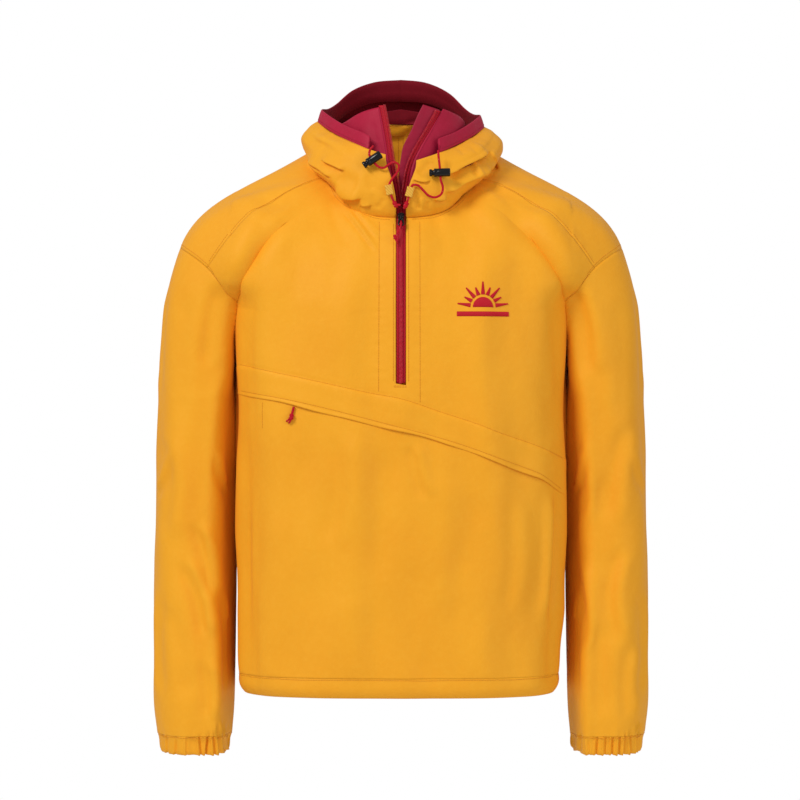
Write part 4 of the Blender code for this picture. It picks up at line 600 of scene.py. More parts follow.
BACK_CREASES = (
    # hood behind: the pouch hangs in wide rolls
    ("roll", 13.0, 4.0, ((104, 26), (60, -8), (0, -18), (-56, -10), (-100, 22))),
    ("roll", 11.0, 3.2, ((84, -32), (44, -62), (-8, -70), (-62, -52), (-92, -26))),
    ("trough", 9.0, 2.6, ((-74, 62), (-40, 34), (-2, 24))),
    ("trough", 9.0, 2.4, ((34, 74), (58, 40), (92, 24))),
    ("roll", 8.0, 2.0, ((20, 60), (0, 46), (-30, 44))),
    # back, drawn from the same sort of drape
    ("ledge", 12.0, 2.5, ((-198, -226), (-168, -256), (-132, -316), (-118, -400), (-122, -470))),
    ("ledge", 12.0, 2.5, ((120, -480), (114, -400), (130, -318), (166, -262), (198, -232))),
    ("ledge", 9.0, 1.8, ((-194, -292), (-170, -332), (-150, -392), (-146, -450))),
    ("roll", 11.0, 2.6, ((150, -430), (156, -372), (176, -326), (196, -300))),
    ("ledge", 9.0, 1.8, ((78, -96), (34, -118), (-10, -124), (-56, -108))),
    ("roll", 13.0, 2.4, ((-110, -540), (-60, -556), (-10, -548), (40, -530))),
    ("trough", 16.0, 4.6, ((-60, -70), (-92, -150), (-108, -260), (-104, -380))),
    ("trough", 18.0, 4.6, ((66, -66), (98, -140), (112, -250), (104, -400))),
    ("ridge", 22.0, 3.8, ((-20, -90), (-26, -220), (-34, -400))),
    ("trough", 22.0, 4.2, ((24, -150), (32, -300), (24, -470))),
    ("roll", 15.0, 4.2, ((-150, -150), (-166, -260), (-160, -400))),
    ("roll", 15.0, 3.8, ((154, -160), (168, -280), (158, -430))),
    ("ridge", 18.0, 3.8, ((70, -420), (76, -520), (66, -620))),
    ("trough", 18.0, 3.8, ((-74, -430), (-66, -540), (-74, -630))),
    ("roll", 12.0, 3.8, ((-176, -420), (-170, -520), (-178, -610))),
    ("roll", 13.0, 3.4, ((172, -470), (166, -560), (174, -640))),
    ("trough", 12.0, 3.4, ((120, -540), (128, -590), (122, -645))),
    # sleeves, seen from behind
    ("ledge", 9.0, 2.2, ((-216, -392), (-238, -420), (-262, -432), (-290, -430))),
    ("roll", 9.0, 3.0, ((-214, -440), (-236, -474), (-262, -486), (-286, -484))),
    ("ledge", 8.0, 2.6, ((-230, -250), (-246, -290), (-252, -340))),
    ("ledge", 9.0, 2.2, ((292, -436), (264, -436), (238, -420), (216, -388))),
    ("roll", 9.0, 3.0, ((284, -496), (260, -492), (236, -476), (214, -444))),
    ("ledge", 8.0, 2.6, ((252, -352), (246, -300), (230, -256))),
    ("roll", 13.0, 4.1, ((-246, -170), (-262, -230), (-258, -320))),
    ("roll", 12.0, 4.4, ((-236, -350), (-256, -400), (-282, -440))),
    ("trough", 11.0, 4.4, ((-236, -410), (-262, -452), (-290, -474))),
    ("roll", 12.0, 4.1, ((-240, -520), (-262, -590), (-256, -670))),
    ("roll", 13.0, 4.1, ((246, -176), (264, -240), (256, -330))),
    ("roll", 12.0, 4.4, ((236, -366), (258, -410), (284, -446))),
    ("trough", 11.0, 4.4, ((238, -430), (262, -466), (288, -492))),
    ("roll", 12.0, 3.7, ((242, -540), (264, -600), (258, -676))),
)
SIDE_CREASES = (
    # sleeves, seen from outside; the first figure is the depth, front to back
    ("roll", 13.0, 2.0, ((-30, -150), (-14, -220), (-20, -300))),
    ("trough", 14.0, 2.2, ((24, -160), (34, -250), (26, -350))),
    ("roll", 9.0, 2.2, ((-66, -356), (-46, -392), (-22, -412))),
    ("roll", 9.0, 2.6, ((34, -446), (54, -466), (82, -474))),
    ("roll", 12.0, 2.6, ((-44, -520), (-34, -590), (-40, -670))),
    ("trough", 12.0, 2.0, ((30, -540), (40, -610), (26, -690))),
)
CREASES = {"front": FRONT_CREASES, "back": BACK_CREASES, "side": SIDE_CREASES}
# slow drape of the whole cloth: wavelength across and down, height, and how it is turned
DRAPE = (
    (86.0, 420.0, 1.9, 0.2),
    (53.0, 300.0, 0.9, 1.7),
    (131.0, 190.0, 1.5, 3.1),
    (37.0, 120.0, 0.18, 4.4),
    (24.0, 61.0, 0.10, 0.9),
)


def beside_line(flat, path, reach):
    """For the places of a plane within reach of a path: which they are, how far along it they lie as a
    share, how far away, how far to its right, and the way to its right."""
    low, high = path.min(0) - reach, path.max(0) + reach
    near = np.flatnonzero(np.all((flat > low) & (flat < high), axis=1))
    spots = flat[near]
    place, away, right = np.zeros(len(near)), np.full(len(near), 1e9), np.zeros(len(near))
    rightward = np.zeros((len(near), 2))
    for k in range(len(path) - 1):
        a, way = path[k], path[k + 1] - path[k]
        along = np.clip((spots - a) @ way / np.dot(way, way), 0, 1)
        offset = spots - (a + along[:, None] * way)
        distance = np.hypot(*offset.T)
        closer = distance < away
        place[closer] = (k + along[closer]) / (len(path) - 1)
        away[closer] = distance[closer]
        side = (offset[:, 0] * way[1] - offset[:, 1] * way[0]) / np.linalg.norm(way)
        right[closer] = side[closer]
        rightward[closer] = unit(np.array([way[1], -way[0]]))
    return near, place, away, right, rightward


def line_profile(flat, line, width, kind):
    """How strongly a crease works at each place of a plane, and the way to its right."""
    path = smooth_path(line, max(6.0, width * 0.7))
    near, place, away, right, rightward = beside_line(flat, path, 3.2 * width)
    if kind == "roll":
        shape = -right / width * np.exp(0.5 - (right / width)**2) * 1.4 * np.exp(
            -np.maximum(away / width - 1.8, 0))
    else:
        shape = np.exp(-(away / width)**2)
    if kind == "trough":
        shape = -shape
    elif kind == "ledge":
        shape = -np.tanh(right / (0.16 * width)) * shape
    strength = np.zeros(len(flat))
    strength[near] = shape * smooth_step(0.0, 0.22, place) * smooth_step(0.0, 0.22, 1 - place)
    turned_right = np.zeros((len(flat), 2))
    turned_right[near] = rightward
    return strength, turned_right


# lines of sewing across the front, seen from the front, and how far the cloth is drawn in there
SEWN_DENT, SEWN_WIDTH, SEWN_RIPPLE, RIPPLE_WIDTH = 0.45, 2.0, 0.28, 6.0
PLACKET_RIGHT = ((-26.4, -77), (-26.4, -140), (-26.6, -220), (-26.8, -286))
PLACKET_LEFT = ((22.8, -77), (22.8, -150), (22.9, -230), (23.0, -297))
FLAP_TOP_LINE = ((-198, -248.5), (-158, -257.5), (-120, -265.5), (-86, -273), (-31, -285), (-3, -290),
                 (49, -307), (89, -320), (123, -333), (178, -353), (198, -363))
POCKET_END_LINE = ((-167.6, -296), (-167.8, -312), (-167.4, -330))
FRONT_SEWING = (PLACKET_RIGHT, PLACKET_LEFT, FLAP_TOP_LINE, POCKET_END_LINE)


def sewn_height(flat, line):
    """The groove of a line of stitches and the ripples beside it."""
    height = np.zeros(len(flat))
    path = smooth_path(line, 6.0)
    near, place, away, _, _ = beside_line(flat, path, 3 * RIPPLE_WIDTH)
    length = np.linalg.norm(np.diff(path, axis=0), axis=1).sum()
    along = place * length
    ripple = np.sin(along / 1.9 + 1.3 * np.sin(along / 17.0)) * np.sin(along / 11.0 + 0.6)
    height[near] = (SEWN_RIPPLE * ripple * np.exp(-(away / RIPPLE_WIDTH)**2)
                    - SEWN_DENT * np.exp(-(away / SEWN_WIDTH)**2))
    return height


LEDGE_HANG = 0.8                 # how far a ledge hangs over, as a share of its depth
NORMAL_FADE = (0.05, 0.55)       # a crease comes in as the cloth turns to where it is seen from,
DEPTH_FADE = (60.0, 15.0)        # and goes out past the garment's middle
OUTSIDE_FADE = (0.35, 0.8)
OUTSIDE_X = 215.0                # creases seen from outside lie on the sleeves alone
FRONT_SEWING_TOP = -70.0         # the front's sewing ends just below the neck seam
FIRM = 0.7                       # share of the drape that is lost beside the zip, and on the hood
ZIP_REACH, ZIP_LEVELS = 34.0, (-300.0, -270.0)
HOOD_LEVELS = (-50.0, 0.0)
BODY_END_X = 207.0               # the sleeves lie beyond this
SLEEVE_LOOSE, HEM_LOOSE = 0.55, 0.35     # share of the drape that shows on the sleeves and at the hem
HEM_FADE = (HEM_Z, HEM_SEAM_Z + 12.0)
# the body is drawn in low on the wearer's left: how far, between which heights and places
NIP, NIP_LEVELS, NIP_PLACES, NIP_END = 5.0, (-548.0, -606.0), (150.0, 200.0), 204.5


def creased(points, normals):
    """How the creases and the drape move each point of the plain surface."""
    x, y, z = points.T
    height = np.zeros(len(points))
    hang = np.zeros((len(points), 3))
    on_front = smooth_step(0.2, 0.6, -normals[:, 1]) * (z < FRONT_SEWING_TOP)
    for line in FRONT_SEWING:
        height += on_front * sewn_height(points[:, [0, 2]], line)
    facing = {plane: smooth_step(*NORMAL_FADE, way * normals[:, 1]) * smooth_step(*DEPTH_FADE, -way * y)
              for plane, way in (("front", -1.0), ("back", 1.0))}
    facing["side"] = smooth_step(*OUTSIDE_FADE, np.abs(normals[:, 0])) * (np.abs(x) > OUTSIDE_X)
    for plane, rows in CREASES.items():
        flat = points[:, [1, 2]] if plane == "side" else points[:, [0, 2]]
        for kind, width, depth, line in rows:
            profile, rightward = line_profile(flat, line, width, kind)
            rise = depth * facing[plane] * profile
            height += rise
            if kind == "ledge":
                hang[:, [0, 2]] += rise[:, None] * rightward * LEDGE_HANG
    # the folds run round the body: counted across it on its faces, along its depth on its sides
    turn = np.abs(y) / (np.abs(x) + 1.0) - 0.5
    around = np.where(turn > 0, x, y)
    loose = 1 - FIRM * (np.exp(-(x / ZIP_REACH)**2) * (y < 0) * smooth_step(*ZIP_LEVELS, z))
    loose = loose * np.where(np.abs(x) > BODY_END_X, SLEEVE_LOOSE, smooth_step(0.0, 0.1, np.abs(turn)))
    loose *= HEM_LOOSE + (1 - HEM_LOOSE) * smooth_step(*HEM_FADE, z)
    loose *= 1 - FIRM * smooth_step(*HOOD_LEVELS, z)
    for across, down, tall, begin in DRAPE:
        swing = np.sin(z / down * 2 * math.pi + begin + y / 90.0)
        height += loose * tall * np.sin(around / across * 2 * math.pi + begin + swing)
    hang[:, 0] -= NIP * smooth_step(*NIP_LEVELS, z) * smooth_step(*NIP_PLACES, x) * (x < NIP_END)
    return normals * height[:, None] + hang


# ================================================================ shells
def grid_quads(rows, cols):
    """The faces between a grid's points, which are counted row by row."""
    ids = np.arange(rows * cols).reshape(rows, cols)
    return np.stack([ids[:-1, :-1], ids[:-1, 1:], ids[1:, 1:], ids[1:, :-1]], -1).reshape(-1, 4)


class Cloth:
    """One cloth piece, gathered from grids of points that share their edges."""

    def __init__(self):
        self.points, self.weave, self.faces, self.count = [], [], [], 0

    def grid(self, points, weave, flip=False):
        """Adds a grid of points, rows by columns, and their places in the weave."""
        quads = grid_quads(*points.shape[:2]) + self.count
        self.faces.append(quads[:, ::-1] if flip else quads)
        self.points.append(points.reshape(-1, 3))
        self.weave.append(weave.reshape(-1, 2))
        self.count += points.shape[0] * points.shape[1]

    def joined(self):
        """The points without repeats, the faces, and the weave place of every face corner."""
        points, weave = np.concatenate(self.points), np.concatenate(self.weave)
        faces = np.concatenate(self.faces)
        _, first, new = np.unique(np.round(points, 2), axis=0, return_index=True, return_inverse=True)
        return points[first], new.reshape(-1)[faces], weave[faces]


def face_normals(points, faces):
    p = points[faces]
    return unit(np.cross(p[:, 2] - p[:, 0], p[:, 3] - p[:, 1]))


def point_normals(points, faces):
    normals = np.zeros_like(points)
    flat = face_normals(points, faces)
    for corner in range(4):
        np.add.at(normals, faces[:, corner], flat)
    return unit(normals)


def border_points(faces):
    """The points on the free edges of a piece."""
    ends = np.concatenate([faces[:, [k, (k + 1) % 4]] for k in range(4)])
    ends = ends[ends[:, 0] != ends[:, 1]]
    pairs, counts = np.unique(np.sort(ends, axis=1), axis=0, return_counts=True)
    return np.unique(pairs[counts == 1])


def linked(name, mesh, look, node=None, body=GARMENT):
    """A smooth piece in the scene, with its finish, its body and the node that it replaces."""
    mesh.materials.append(look)
    mesh.shade_smooth()
    piece = bpy.data.objects.new(name, mesh)
    bpy.context.scene.collection.objects.link(piece)
    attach(piece, body)
    if node:
        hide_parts(node)
    return piece


CLOTH_MESHES = {}


def cloth_piece(name, node, parts, look, thickness=CLOTH):
    """A piece of cloth with its weave places, given its thickness inwards."""
    CLOTH_MESHES[node] = parts
    places, faces, weave = parts
    mesh = bpy.data.meshes.new(name)
    clean = [list(dict.fromkeys(face)) for face in faces.tolist()]
    kept = [k for k, face in enumerate(clean) if len(face) > 2]
    mesh.from_pydata((places * MM).tolist(), [], [clean[k] for k in kept])
    corners = np.concatenate([weave[k][:len(clean[k])] for k in kept]) * MM
    mesh.uv_layers.new(name="weave").data.foreach_set("uv", corners.reshape(-1))
    piece = linked(name, mesh, look, node)
    if thickness:
        solidify = piece.modifiers.new("cloth thickness", "SOLIDIFY")
        solidify.thickness = thickness * MM
        solidify.offset = -1.0
    return piece


def edged(count, edge):
    """Rising fractions from 0 to 1 with one extra row close to each end."""
    middle = np.linspace(0.0, 1.0, count + 1)[1:-1]
    return np.concatenate([[0.0, edge], middle[(middle > edge * 1.5) & (middle < 1 - edge * 1.5)],
                           [1 - edge, 1.0]])


def steps(low, high, count):
    """Even places from low to high, low left out."""
    return low + (high - low) * np.arange(1, count + 1) / count


def weave_places(points, centre_column=None, down_from=0.0):
    """Where each point of a grid lies on the flat cloth, in millimetres along and across its threads."""
    across = np.zeros(points.shape[:2])
    across[:, 1:] = np.cumsum(np.linalg.norm(np.diff(points, axis=1), axis=2), axis=1)
    middle = points.shape[1] // 2 if centre_column is None else centre_column
    across -= across[:, [middle]]
    down = np.zeros(points.shape[:2])
    down[1:] = np.cumsum(np.linalg.norm(np.diff(points, axis=0), axis=2), axis=0)
    return np.stack([across, down_from - down], -1)


def one_grid(points, *weave_from, flip=False):
    """A piece that is a single grid."""
    sheet = Cloth()
    sheet.grid(points, weave_places(points, *weave_from), flip)
    return sheet


# ================================================================ columns shared by the body pieces
YOKE_SHARE = 1 - (1 - CORNER_SHARE) * YOKE_ANGLE / CORNER_ANGLE
SHARE_EDGE, CENTRE_EDGE = 0.006, 0.009   # how far a column beside a seam lies from it, as a share
TO_YOKE = steps(CORNER_SHARE, YOKE_SHARE, COLUMNS_CORNER_TO_YOKE)
TO_RIDGE = steps(YOKE_SHARE, 1.0, COLUMNS_YOKE_TO_RIDGE)
UNDERARM_ANGLES = steps(CORNER_ANGLE, 180.0, COLUMNS_UNDERARM)
TO_CORNER = edged(COLUMNS_TO_CORNER, CENTRE_EDGE)


def with_edge(shares, place):
    """A column or two more, close beside a seam at one of the shares."""
    return np.unique(np.concatenate([shares, [place - SHARE_EDGE, place + SHARE_EDGE]]))


FRONT_OUTER = with_edge(TO_YOKE, YOKE_SHARE)
FRONT_OUTER = FRONT_OUTER[FRONT_OUTER < YOKE_SHARE + 1e-9]
OVER_SHOULDER = with_edge(TO_RIDGE, YOKE_SHARE)
OVER_SHOULDER = OVER_SHOULDER[OVER_SHOULDER > YOKE_SHARE + 1e-9]


def slit_share(surface, rows):
    """For each row, the share at which a surface called with (shares, row) crosses the opening's edge."""
    shares = np.linspace(0.0, 0.15, 240)
    x = surface(shares[None, :], rows[:, None])[..., 0]
    return np.array([np.interp(SLIT_HALF, line, shares) for line in x])


RIB_T = edged(*ROWS_RIBS)
RIB_SLIT = slit_share(lambda s, t: rib_point(s, t, -1), RIB_T)


def slit_columns(start, end):
    """Shares from the opening's edge to the corner column, for each row's own start."""
    return start[:, None] + (end - start[:, None]) * TO_CORNER[None, :]


def front_rib_shares():
    inner = slit_columns(RIB_SLIT, CORNER_SHARE)
    outer = np.broadcast_to(FRONT_OUTER, (len(RIB_T), len(FRONT_OUTER)))
    return np.concatenate([inner, outer], axis=1)


BACK_SHARES = np.concatenate([TO_CORNER * CORNER_SHARE, FRONT_OUTER, OVER_SHOULDER])
FRONT_RIDGE_SHARES = np.concatenate([[YOKE_SHARE], OVER_SHOULDER])


def armhole_angles():
    """Sleeve columns all round, the same places as the body's columns on the armhole."""
    shares = np.concatenate([[CORNER_SHARE], FRONT_OUTER, OVER_SHOULDER])
    half = np.concatenate([np.sort(CORNER_ANGLE * (1 - shares) / (1 - CORNER_SHARE)), UNDERARM_ANGLES])
    return np.concatenate([half, 360 - half[-2:0:-1], [360.0]])


def under_shares(face):
    """Torso share of each column below the armhole."""
    fine = np.linspace(0.5, 1.0, 2000)
    shares = []
    for angle in UNDERARM_ANGLES:
        p = armhole_on(face, angle)
        y = torso(fine, p[2], face)[:, 1]
        order = np.argsort(y)
        shares.append(np.interp(p[1], y[order], fine[order]))
    shares[-1] = 1.0
    return np.array(shares)


def torso_half(face, tops, bottom, fractions, slit):
    """Torso grid on the wearer's left below its top row, down to the height bottom(x)."""
    low = bottom(tops[:, 0])
    z = tops[None, :, 2] + (low - tops[:, 2])[None, :] * fractions[:, None]
    corner = CORNER_TORSO_SHARE[face]
    if slit:
        start = slit_share(lambda s, h: torso(s, h, face), z[:, 0])
    else:
        start = np.zeros(len(fractions))
    inner = slit_columns(start, corner)
    outer = np.broadcast_to(under_shares(face), (len(fractions), COLUMNS_UNDERARM))
    points = torso(np.concatenate([inner, outer], axis=1), z, face)
    points[0] = tops
    if slit:
        points[:, 0, 0] = SLIT_HALF
    return points


def between_edges(left_edge, right_edge, count=4):
    """The narrow strip between the two edges of the opening's line, below the opening."""
    across = np.linspace(0.0, 1.0, count + 1)[None, :, None]
    right = mirrored(right_edge)[:, None]
    return right + (left_edge[:, None] - right) * across


BESIDE_POCKET_SEAM = 0.986               # share of the way down to the seam under the flap


def hem_seam(x):
    """Height of the hem's seam, the same all round."""
    return HEM_SEAM_Z + 0 * x


def hung(sheet, points, centre):
    """Adds a grid of the front, its weave counted from a centre column and from that column's top."""
    sheet.grid(points, weave_places(points, centre, points[0, centre, 2]), flip=True)


def front_grids():
    """Upper front by its two halves and the strip below the opening; then the lower front."""
    cut = (SLIT_BOTTOM_Z - CHEST_Z) / (seam_under_flap(0.0) - CHEST_Z)
    fractions = np.unique(np.concatenate([np.linspace(0, cut, ROWS_ABOVE_SLIT_END),
                                          np.linspace(cut, 1, ROWS_BELOW_SLIT_END), [BESIDE_POCKET_SEAM]]))
    first_below = int(np.argmin(np.abs(fractions - cut)))
    ribs = rib_point(front_rib_shares(), RIB_T[:, None], -1)
    ribs[:, 0, 0] = SLIT_HALF
    tops = np.concatenate([ribs[-1, :len(TO_CORNER)], armhole(UNDERARM_ANGLES)])
    left = torso_half(-1, tops, seam_under_flap, fractions, True)
    right = torso_half(-1, tops, lambda x: seam_under_flap(-x), fractions, True)
    lower_rows = edged(*ROWS_LOWER_FRONT)
    lower_left = torso_half(-1, left[-1], hem_seam, lower_rows, True)
    lower_right = torso_half(-1, right[-1], hem_seam, lower_rows, True)
    upper, lower = Cloth(), Cloth()
    for half in (ribs, left):
        hung(upper, half, 0)
    for half in (ribs, right):
        hung(upper, mirrored(half[:, ::-1]), -1)
    for sheet, a, b in ((upper, left[first_below:], right[first_below:]), (lower, lower_left, lower_right)):
        strip = between_edges(a[:, 0], b[:, 0])
        sheet.grid(strip, weave_places(strip, 2, strip[0, 0, 2]), flip=True)
    hung(lower, lower_left, 0)
    hung(lower, mirrored(lower_right[:, ::-1]), -1)
    return upper, lower, lower_left[-1], lower_right[-1], strip[-1]


def back_grid():
    """The back from the neck seam, with the shoulders, down to the hem's seam."""
    ribs = rib_point(BACK_SHARES[None, :], RIB_T[:, None], 1)
    over = rib_point(FRONT_RIDGE_SHARES[None, ::-1], RIB_T[:, None], -1)
    half = np.concatenate([ribs, over[:, 1:]], axis=1)
    tops = np.concatenate([ribs[-1, :len(TO_CORNER)], armhole(360 - UNDERARM_ANGLES)])
    rows = torso_half(1, tops, hem_seam, edged(*ROWS_BACK), False)
    sheet = Cloth()
    for part in (half, rows):
        points = np.concatenate([mirrored(part[:, :0:-1]), part], axis=1)
        sheet.grid(points, weave_places(points, None, points[0, 0, 2]))
    return sheet, rows[-1]


# height, and how far the hem's face lies behind the torso's line there
HEM_STITCH_Z = -631.4
HEM_PROFILE = ((HEM_SEAM_Z, 0.0), (HEM_STITCH_Z, 0.0), (-634.0, 0.0), (-637.5, 0.0), (-641.0, 0.0),
               (-644.5, 0.0), (-648.0, 0.0), (-651.0, 0.1), (-653.0, 0.4), (-653.9, 1.2), (HEM_Z, 2.0),
               (-653.4, 2.8), (-651.0, 3.0), (-646.0, 3.0), (-638.0, 3.0), (-631.0, 2.8))
HEM_INWARD = np.array([0.55, 1.0, 0.0])


def hem_grid(front_left, front_right, strip, back_half):
    """The turned hem, one ring, with its soft lower fold and the part that turns up inside."""
    front = np.concatenate([mirrored(front_right[::-1]), strip[1:-1], front_left])
    back = np.concatenate([back_half[-2::-1], mirrored(back_half[1:-1])])
    top = np.concatenate([front, back, front[:1]])
    inward = unit(top * HEM_INWARD)
    rows = []
    for z, sink in HEM_PROFILE:
        scale = {}
        for name in ("half_width", "front", "back"):
            at_seam, here = torso_size(name, np.array([HEM_SEAM_Z, z]))
            scale[name] = here / at_seam
        row = top.copy()
        row[:, 0] *= scale["half_width"]
        row[:, 1] *= np.where(top[:, 1] < UNDERARM[1], scale["front"], scale["back"])
        row[:, 2] = z
        rows.append(row - inward * sink)
    return one_grid(np.array(rows), 0, HEM_SEAM_Z, flip=True)


def sleeve_grid(side):
    """A sleeve from the armhole's seam to the cuff's."""
    angles = armhole_angles()
    head = sleeve_head(angles[None, :], edged(*ROWS_SLEEVE_HEAD)[:, None])
    below = np.concatenate([np.linspace(HEAD_END_Z, WRIST_Z + SEAM_EDGE, ROWS_SLEEVE)[1:], [WRIST_Z]])
    rows = np.concatenate([head, sleeve_section(angles[None, :], below[:, None])])
    rows[:, -1] = rows[:, 0]
    return one_grid(sided(rows, side), flip=side < 0)


# a cuff's section: share of its height, and how far it is drawn in
CUFF_PROFILE = ((0.0, 0.0), (0.05, 0.3), (0.12, 0.9), (0.2, 1.5), (0.35, 2.2), (0.5, 2.5), (0.65, 2.7),
                (0.78, 3.0), (0.88, 3.5), (0.94, 4.2), (0.98, 5.0), (1.0, 6.0), (0.99, 7.0), (0.93, 7.6),
                (0.7, 7.8), (0.3, 7.0), (0.05, 5.0))
COLUMNS_A_GATHER = 32
GATHER_SHARPNESS = 1.7


def gathers(angle):
    """Uneven gathers round a wrist: 0 on a crest and 1 in a valley."""
    a = np.radians(angle)
    wave = 0.5 - 0.5 * np.cos(a * CUFF_GATHERS + 0.8 * np.sin(a * 3) + 0.5 * np.sin(a * 5 + 1.3))
    return wave**GATHER_SHARPNESS * (0.72 + 0.28 * np.sin(a * 4 + 0.7))


def cuff_grid(side):
    """Elastic casing with soft gathers, and its inner turn."""
    angles = np.linspace(0.0, 360.0, CUFF_GATHERS * COLUMNS_A_GATHER + 1)
    top = sleeve_section(angles, WRIST_Z)
    outward = unit((top - np.array([WRIST_X, WRIST_Y, 0.0])) * LEVEL)
    wave = gathers(angles)
    rows = []
    for share, draw in CUFF_PROFILE:
        depth = draw + wave * CUFF_GATHER_DEPTH * (0.55 + 0.7 * share)
        row = top - outward * depth[:, None]
        row[:, 2] = WRIST_Z + (CUFF_BOTTOM_Z - WRIST_Z) * share
        rows.append(row)
    rows = np.array(rows)
    rows[:, -1] = rows[:, 0]
    return one_grid(sided(rows, side), flip=side < 0)


# single gathers of the cuffs: how far outward of the wrist's middle they start and end, the height
# where they start, width and depth; one set for a cuff's front and the other cuff's back
GATHERS = {
    1: ((20, 22, -709, 1.5, 1.2), (7, 6, -706, 1.6, 1.2), (-8, -12, -700, 1.6, 2.3),
        (-20, -15, -697, 1.7, 2.5), (-26, -28, -693, 1.8, 2.5), (-31, -34, -688, 1.8, 2.7),
        (-37, -39, -684, 1.8, 2.7), (-41, -43, -692, 1.7, 2.4), (33, 32, -704, 1.7, 1.8)),
    -1: ((-30, -27, -708, 1.7, 1.7), (-18, -20, -705, 1.6, 1.9), (-8, -9, -703, 1.6, 2.1),
         (1, 0, -704, 1.7, 2.3), (10, 8, -694, 1.7, 2.5), (17, 15, -701, 1.5, 1.9), (22, 26, -697, 1.8, 2.5),
         (32, 33, -690, 1.8, 2.6), (37, 36, -686, 1.8, 2.4), (-38, -39, -700, 1.7, 2.0)),
}
GATHERS_END_Z = CUFF_BOTTOM_Z - 14.0
GATHER_REACH, GATHER_REACH_SWING = 26.0, 12.0    # how far the soft gathers run up the sleeve
CHEST_SIDE = 205.0


def gather_creases(points):
    """The cuff's gathers running out up the sleeve."""
    out, y, z = np.abs(points[:, 0]), points[:, 1], points[:, 2]
    to_side, to_back = (out - WRIST_X) / WRIST_HALF_WIDTH, (y - WRIST_Y) / WRIST_HALF_DEPTH
    angle = np.degrees(np.arctan2(-to_back, to_side)) % 360
    reach = GATHER_REACH + GATHER_REACH_SWING * np.sin(np.radians(angle) * 5 + 0.4)
    up = (z - WRIST_Z) / reach
    near = (out > CHEST_SIDE) & (up < 1.2)
    rays = -gathers(angle) * CUFF_GATHER_DEPTH * 0.9 * np.clip(1 - up, 0, 1)**1.5
    height = np.where(near, rays, 0.0)
    for side in (1, -1):
        for face in (1, -1):
            here = face * y > 0
            for top, low, start, width, depth in GATHERS[side * face]:
                line = ((side * (WRIST_X + top), start), (side * (WRIST_X + low), GATHERS_END_Z))
                height -= depth * here * line_profile(points[:, [0, 2]], line, width, "roll")[0]
    return height


# ================================================================ hood, brim and collar grids
# the hood hangs lower on the wearer's left, and stands slimmer on the wearer's right
SLUMP, SLUMP_ANGLES = 7.0, (178.0, 118.0)
DRAWN_IN, DRAWN_IN_Z, DRAWN_IN_REACH, DRAWN_IN_PLACES = 6.0, 14.0, 18.0, (70.0, 108.0)
HOOD_ROWS = np.concatenate([[0.0, 0.05], np.linspace(0.0, HOOD_LAST, ROWS_HOOD)[1:]])


def slump_at(angle):
    """How much lower the brim hangs at an angle on the wearer's left."""
    return SLUMP * smooth_step(*SLUMP_ANGLES, angle)


def hood_points(rows):
    """Hood grid over both sides at the rows' places between the loops."""
    front_shares = np.concatenate([front_rib_shares()[0], OVER_SHOULDER])
    angles = np.concatenate([rib_value(-1, "neck", front_shares), rib_value(1, "neck", BACK_SHARES)[-2::-1]])
    start = angles[0]
    slump = slump_at(angles)
    grid = []
    for row in rows:
        open_x = SLIT_HALF + (HOOD_OPENING - SLIT_HALF) * smooth_step(2, HOOD_LAST, row)
        fine = np.linspace(0.0, 40.0, 800)
        edge = np.interp(open_x, hood_surface(row, fine)[:, 0], fine) if row > 0 else start
        used = angles + (edge - start) * np.maximum(0.0, 1 - (angles - start) / HOOD_EASE_ANGLE)
        points = hood_surface(row, used)
        points[0, 0] = open_x if row > 0 else SLIT_HALF
        right = mirrored(points[-2::-1])
        right[:, 0] += (DRAWN_IN * np.exp(-((right[:, 2] - DRAWN_IN_Z) / DRAWN_IN_REACH)**2)
                        * smooth_step(*DRAWN_IN_PLACES, -right[:, 0]))
        points[:, 2] -= slump * row / HOOD_LAST
        grid.append(np.concatenate([points, right]))
    return np.array(grid)


FACING_BEHIND = 2.2


def facing_grid():
    """The lining inside the hood's upper edge, just behind the shell."""
    points = hood_points(np.linspace(FACING_ROW, HOOD_LAST - 0.02, ROWS_FACING))
    flat = points.reshape(-1, 3)
    normals = point_normals(flat, grid_quads(*points.shape[:2]))
    pressed = np.minimum(0.0, np.sum(creased(flat, normals) * normals, axis=1))
    laid_in = flat + normals * (pressed - FACING_BEHIND)[:, None]
    return one_grid(laid_in.reshape(points.shape)[:, ::2], flip=True)


# the brim band's section: height up the band, and how far the face stands in front of its line
BRIM_SECTION = ((-0.3, -2.9), (-0.1, -2.7), (-0.04, -1.2), (-0.02, 0.1), (0.015, 0.5), (0.06, 0.65),
                (0.3, 0.8), (0.5, 0.85), (0.7, 0.8), (0.9, 0.65), (0.965, 0.45), (1.0, 0.0), (1.0, -0.8),
                (0.97, -1.5), (0.9, -2.3), (0.6, -3.0), (0.3, -3.2), (0.0, -3.3), (-0.3, -3.3), (-0.3, -2.9))
BRIM_WRINKLE = 0.12
BRIM_STARTS = {"left": 26.5, "right": 21.0}
BRIM_END = (0.0, 0.001, 0.25, 1.2)       # close columns at the band's closed front end
BRIM_CORE = -1.4                         # the band's middle, behind its line
BRIM_FALL, BRIM_FALL_ANGLES = 1.6, (90.0, 150.0)     # behind, the band's foot reaches further down


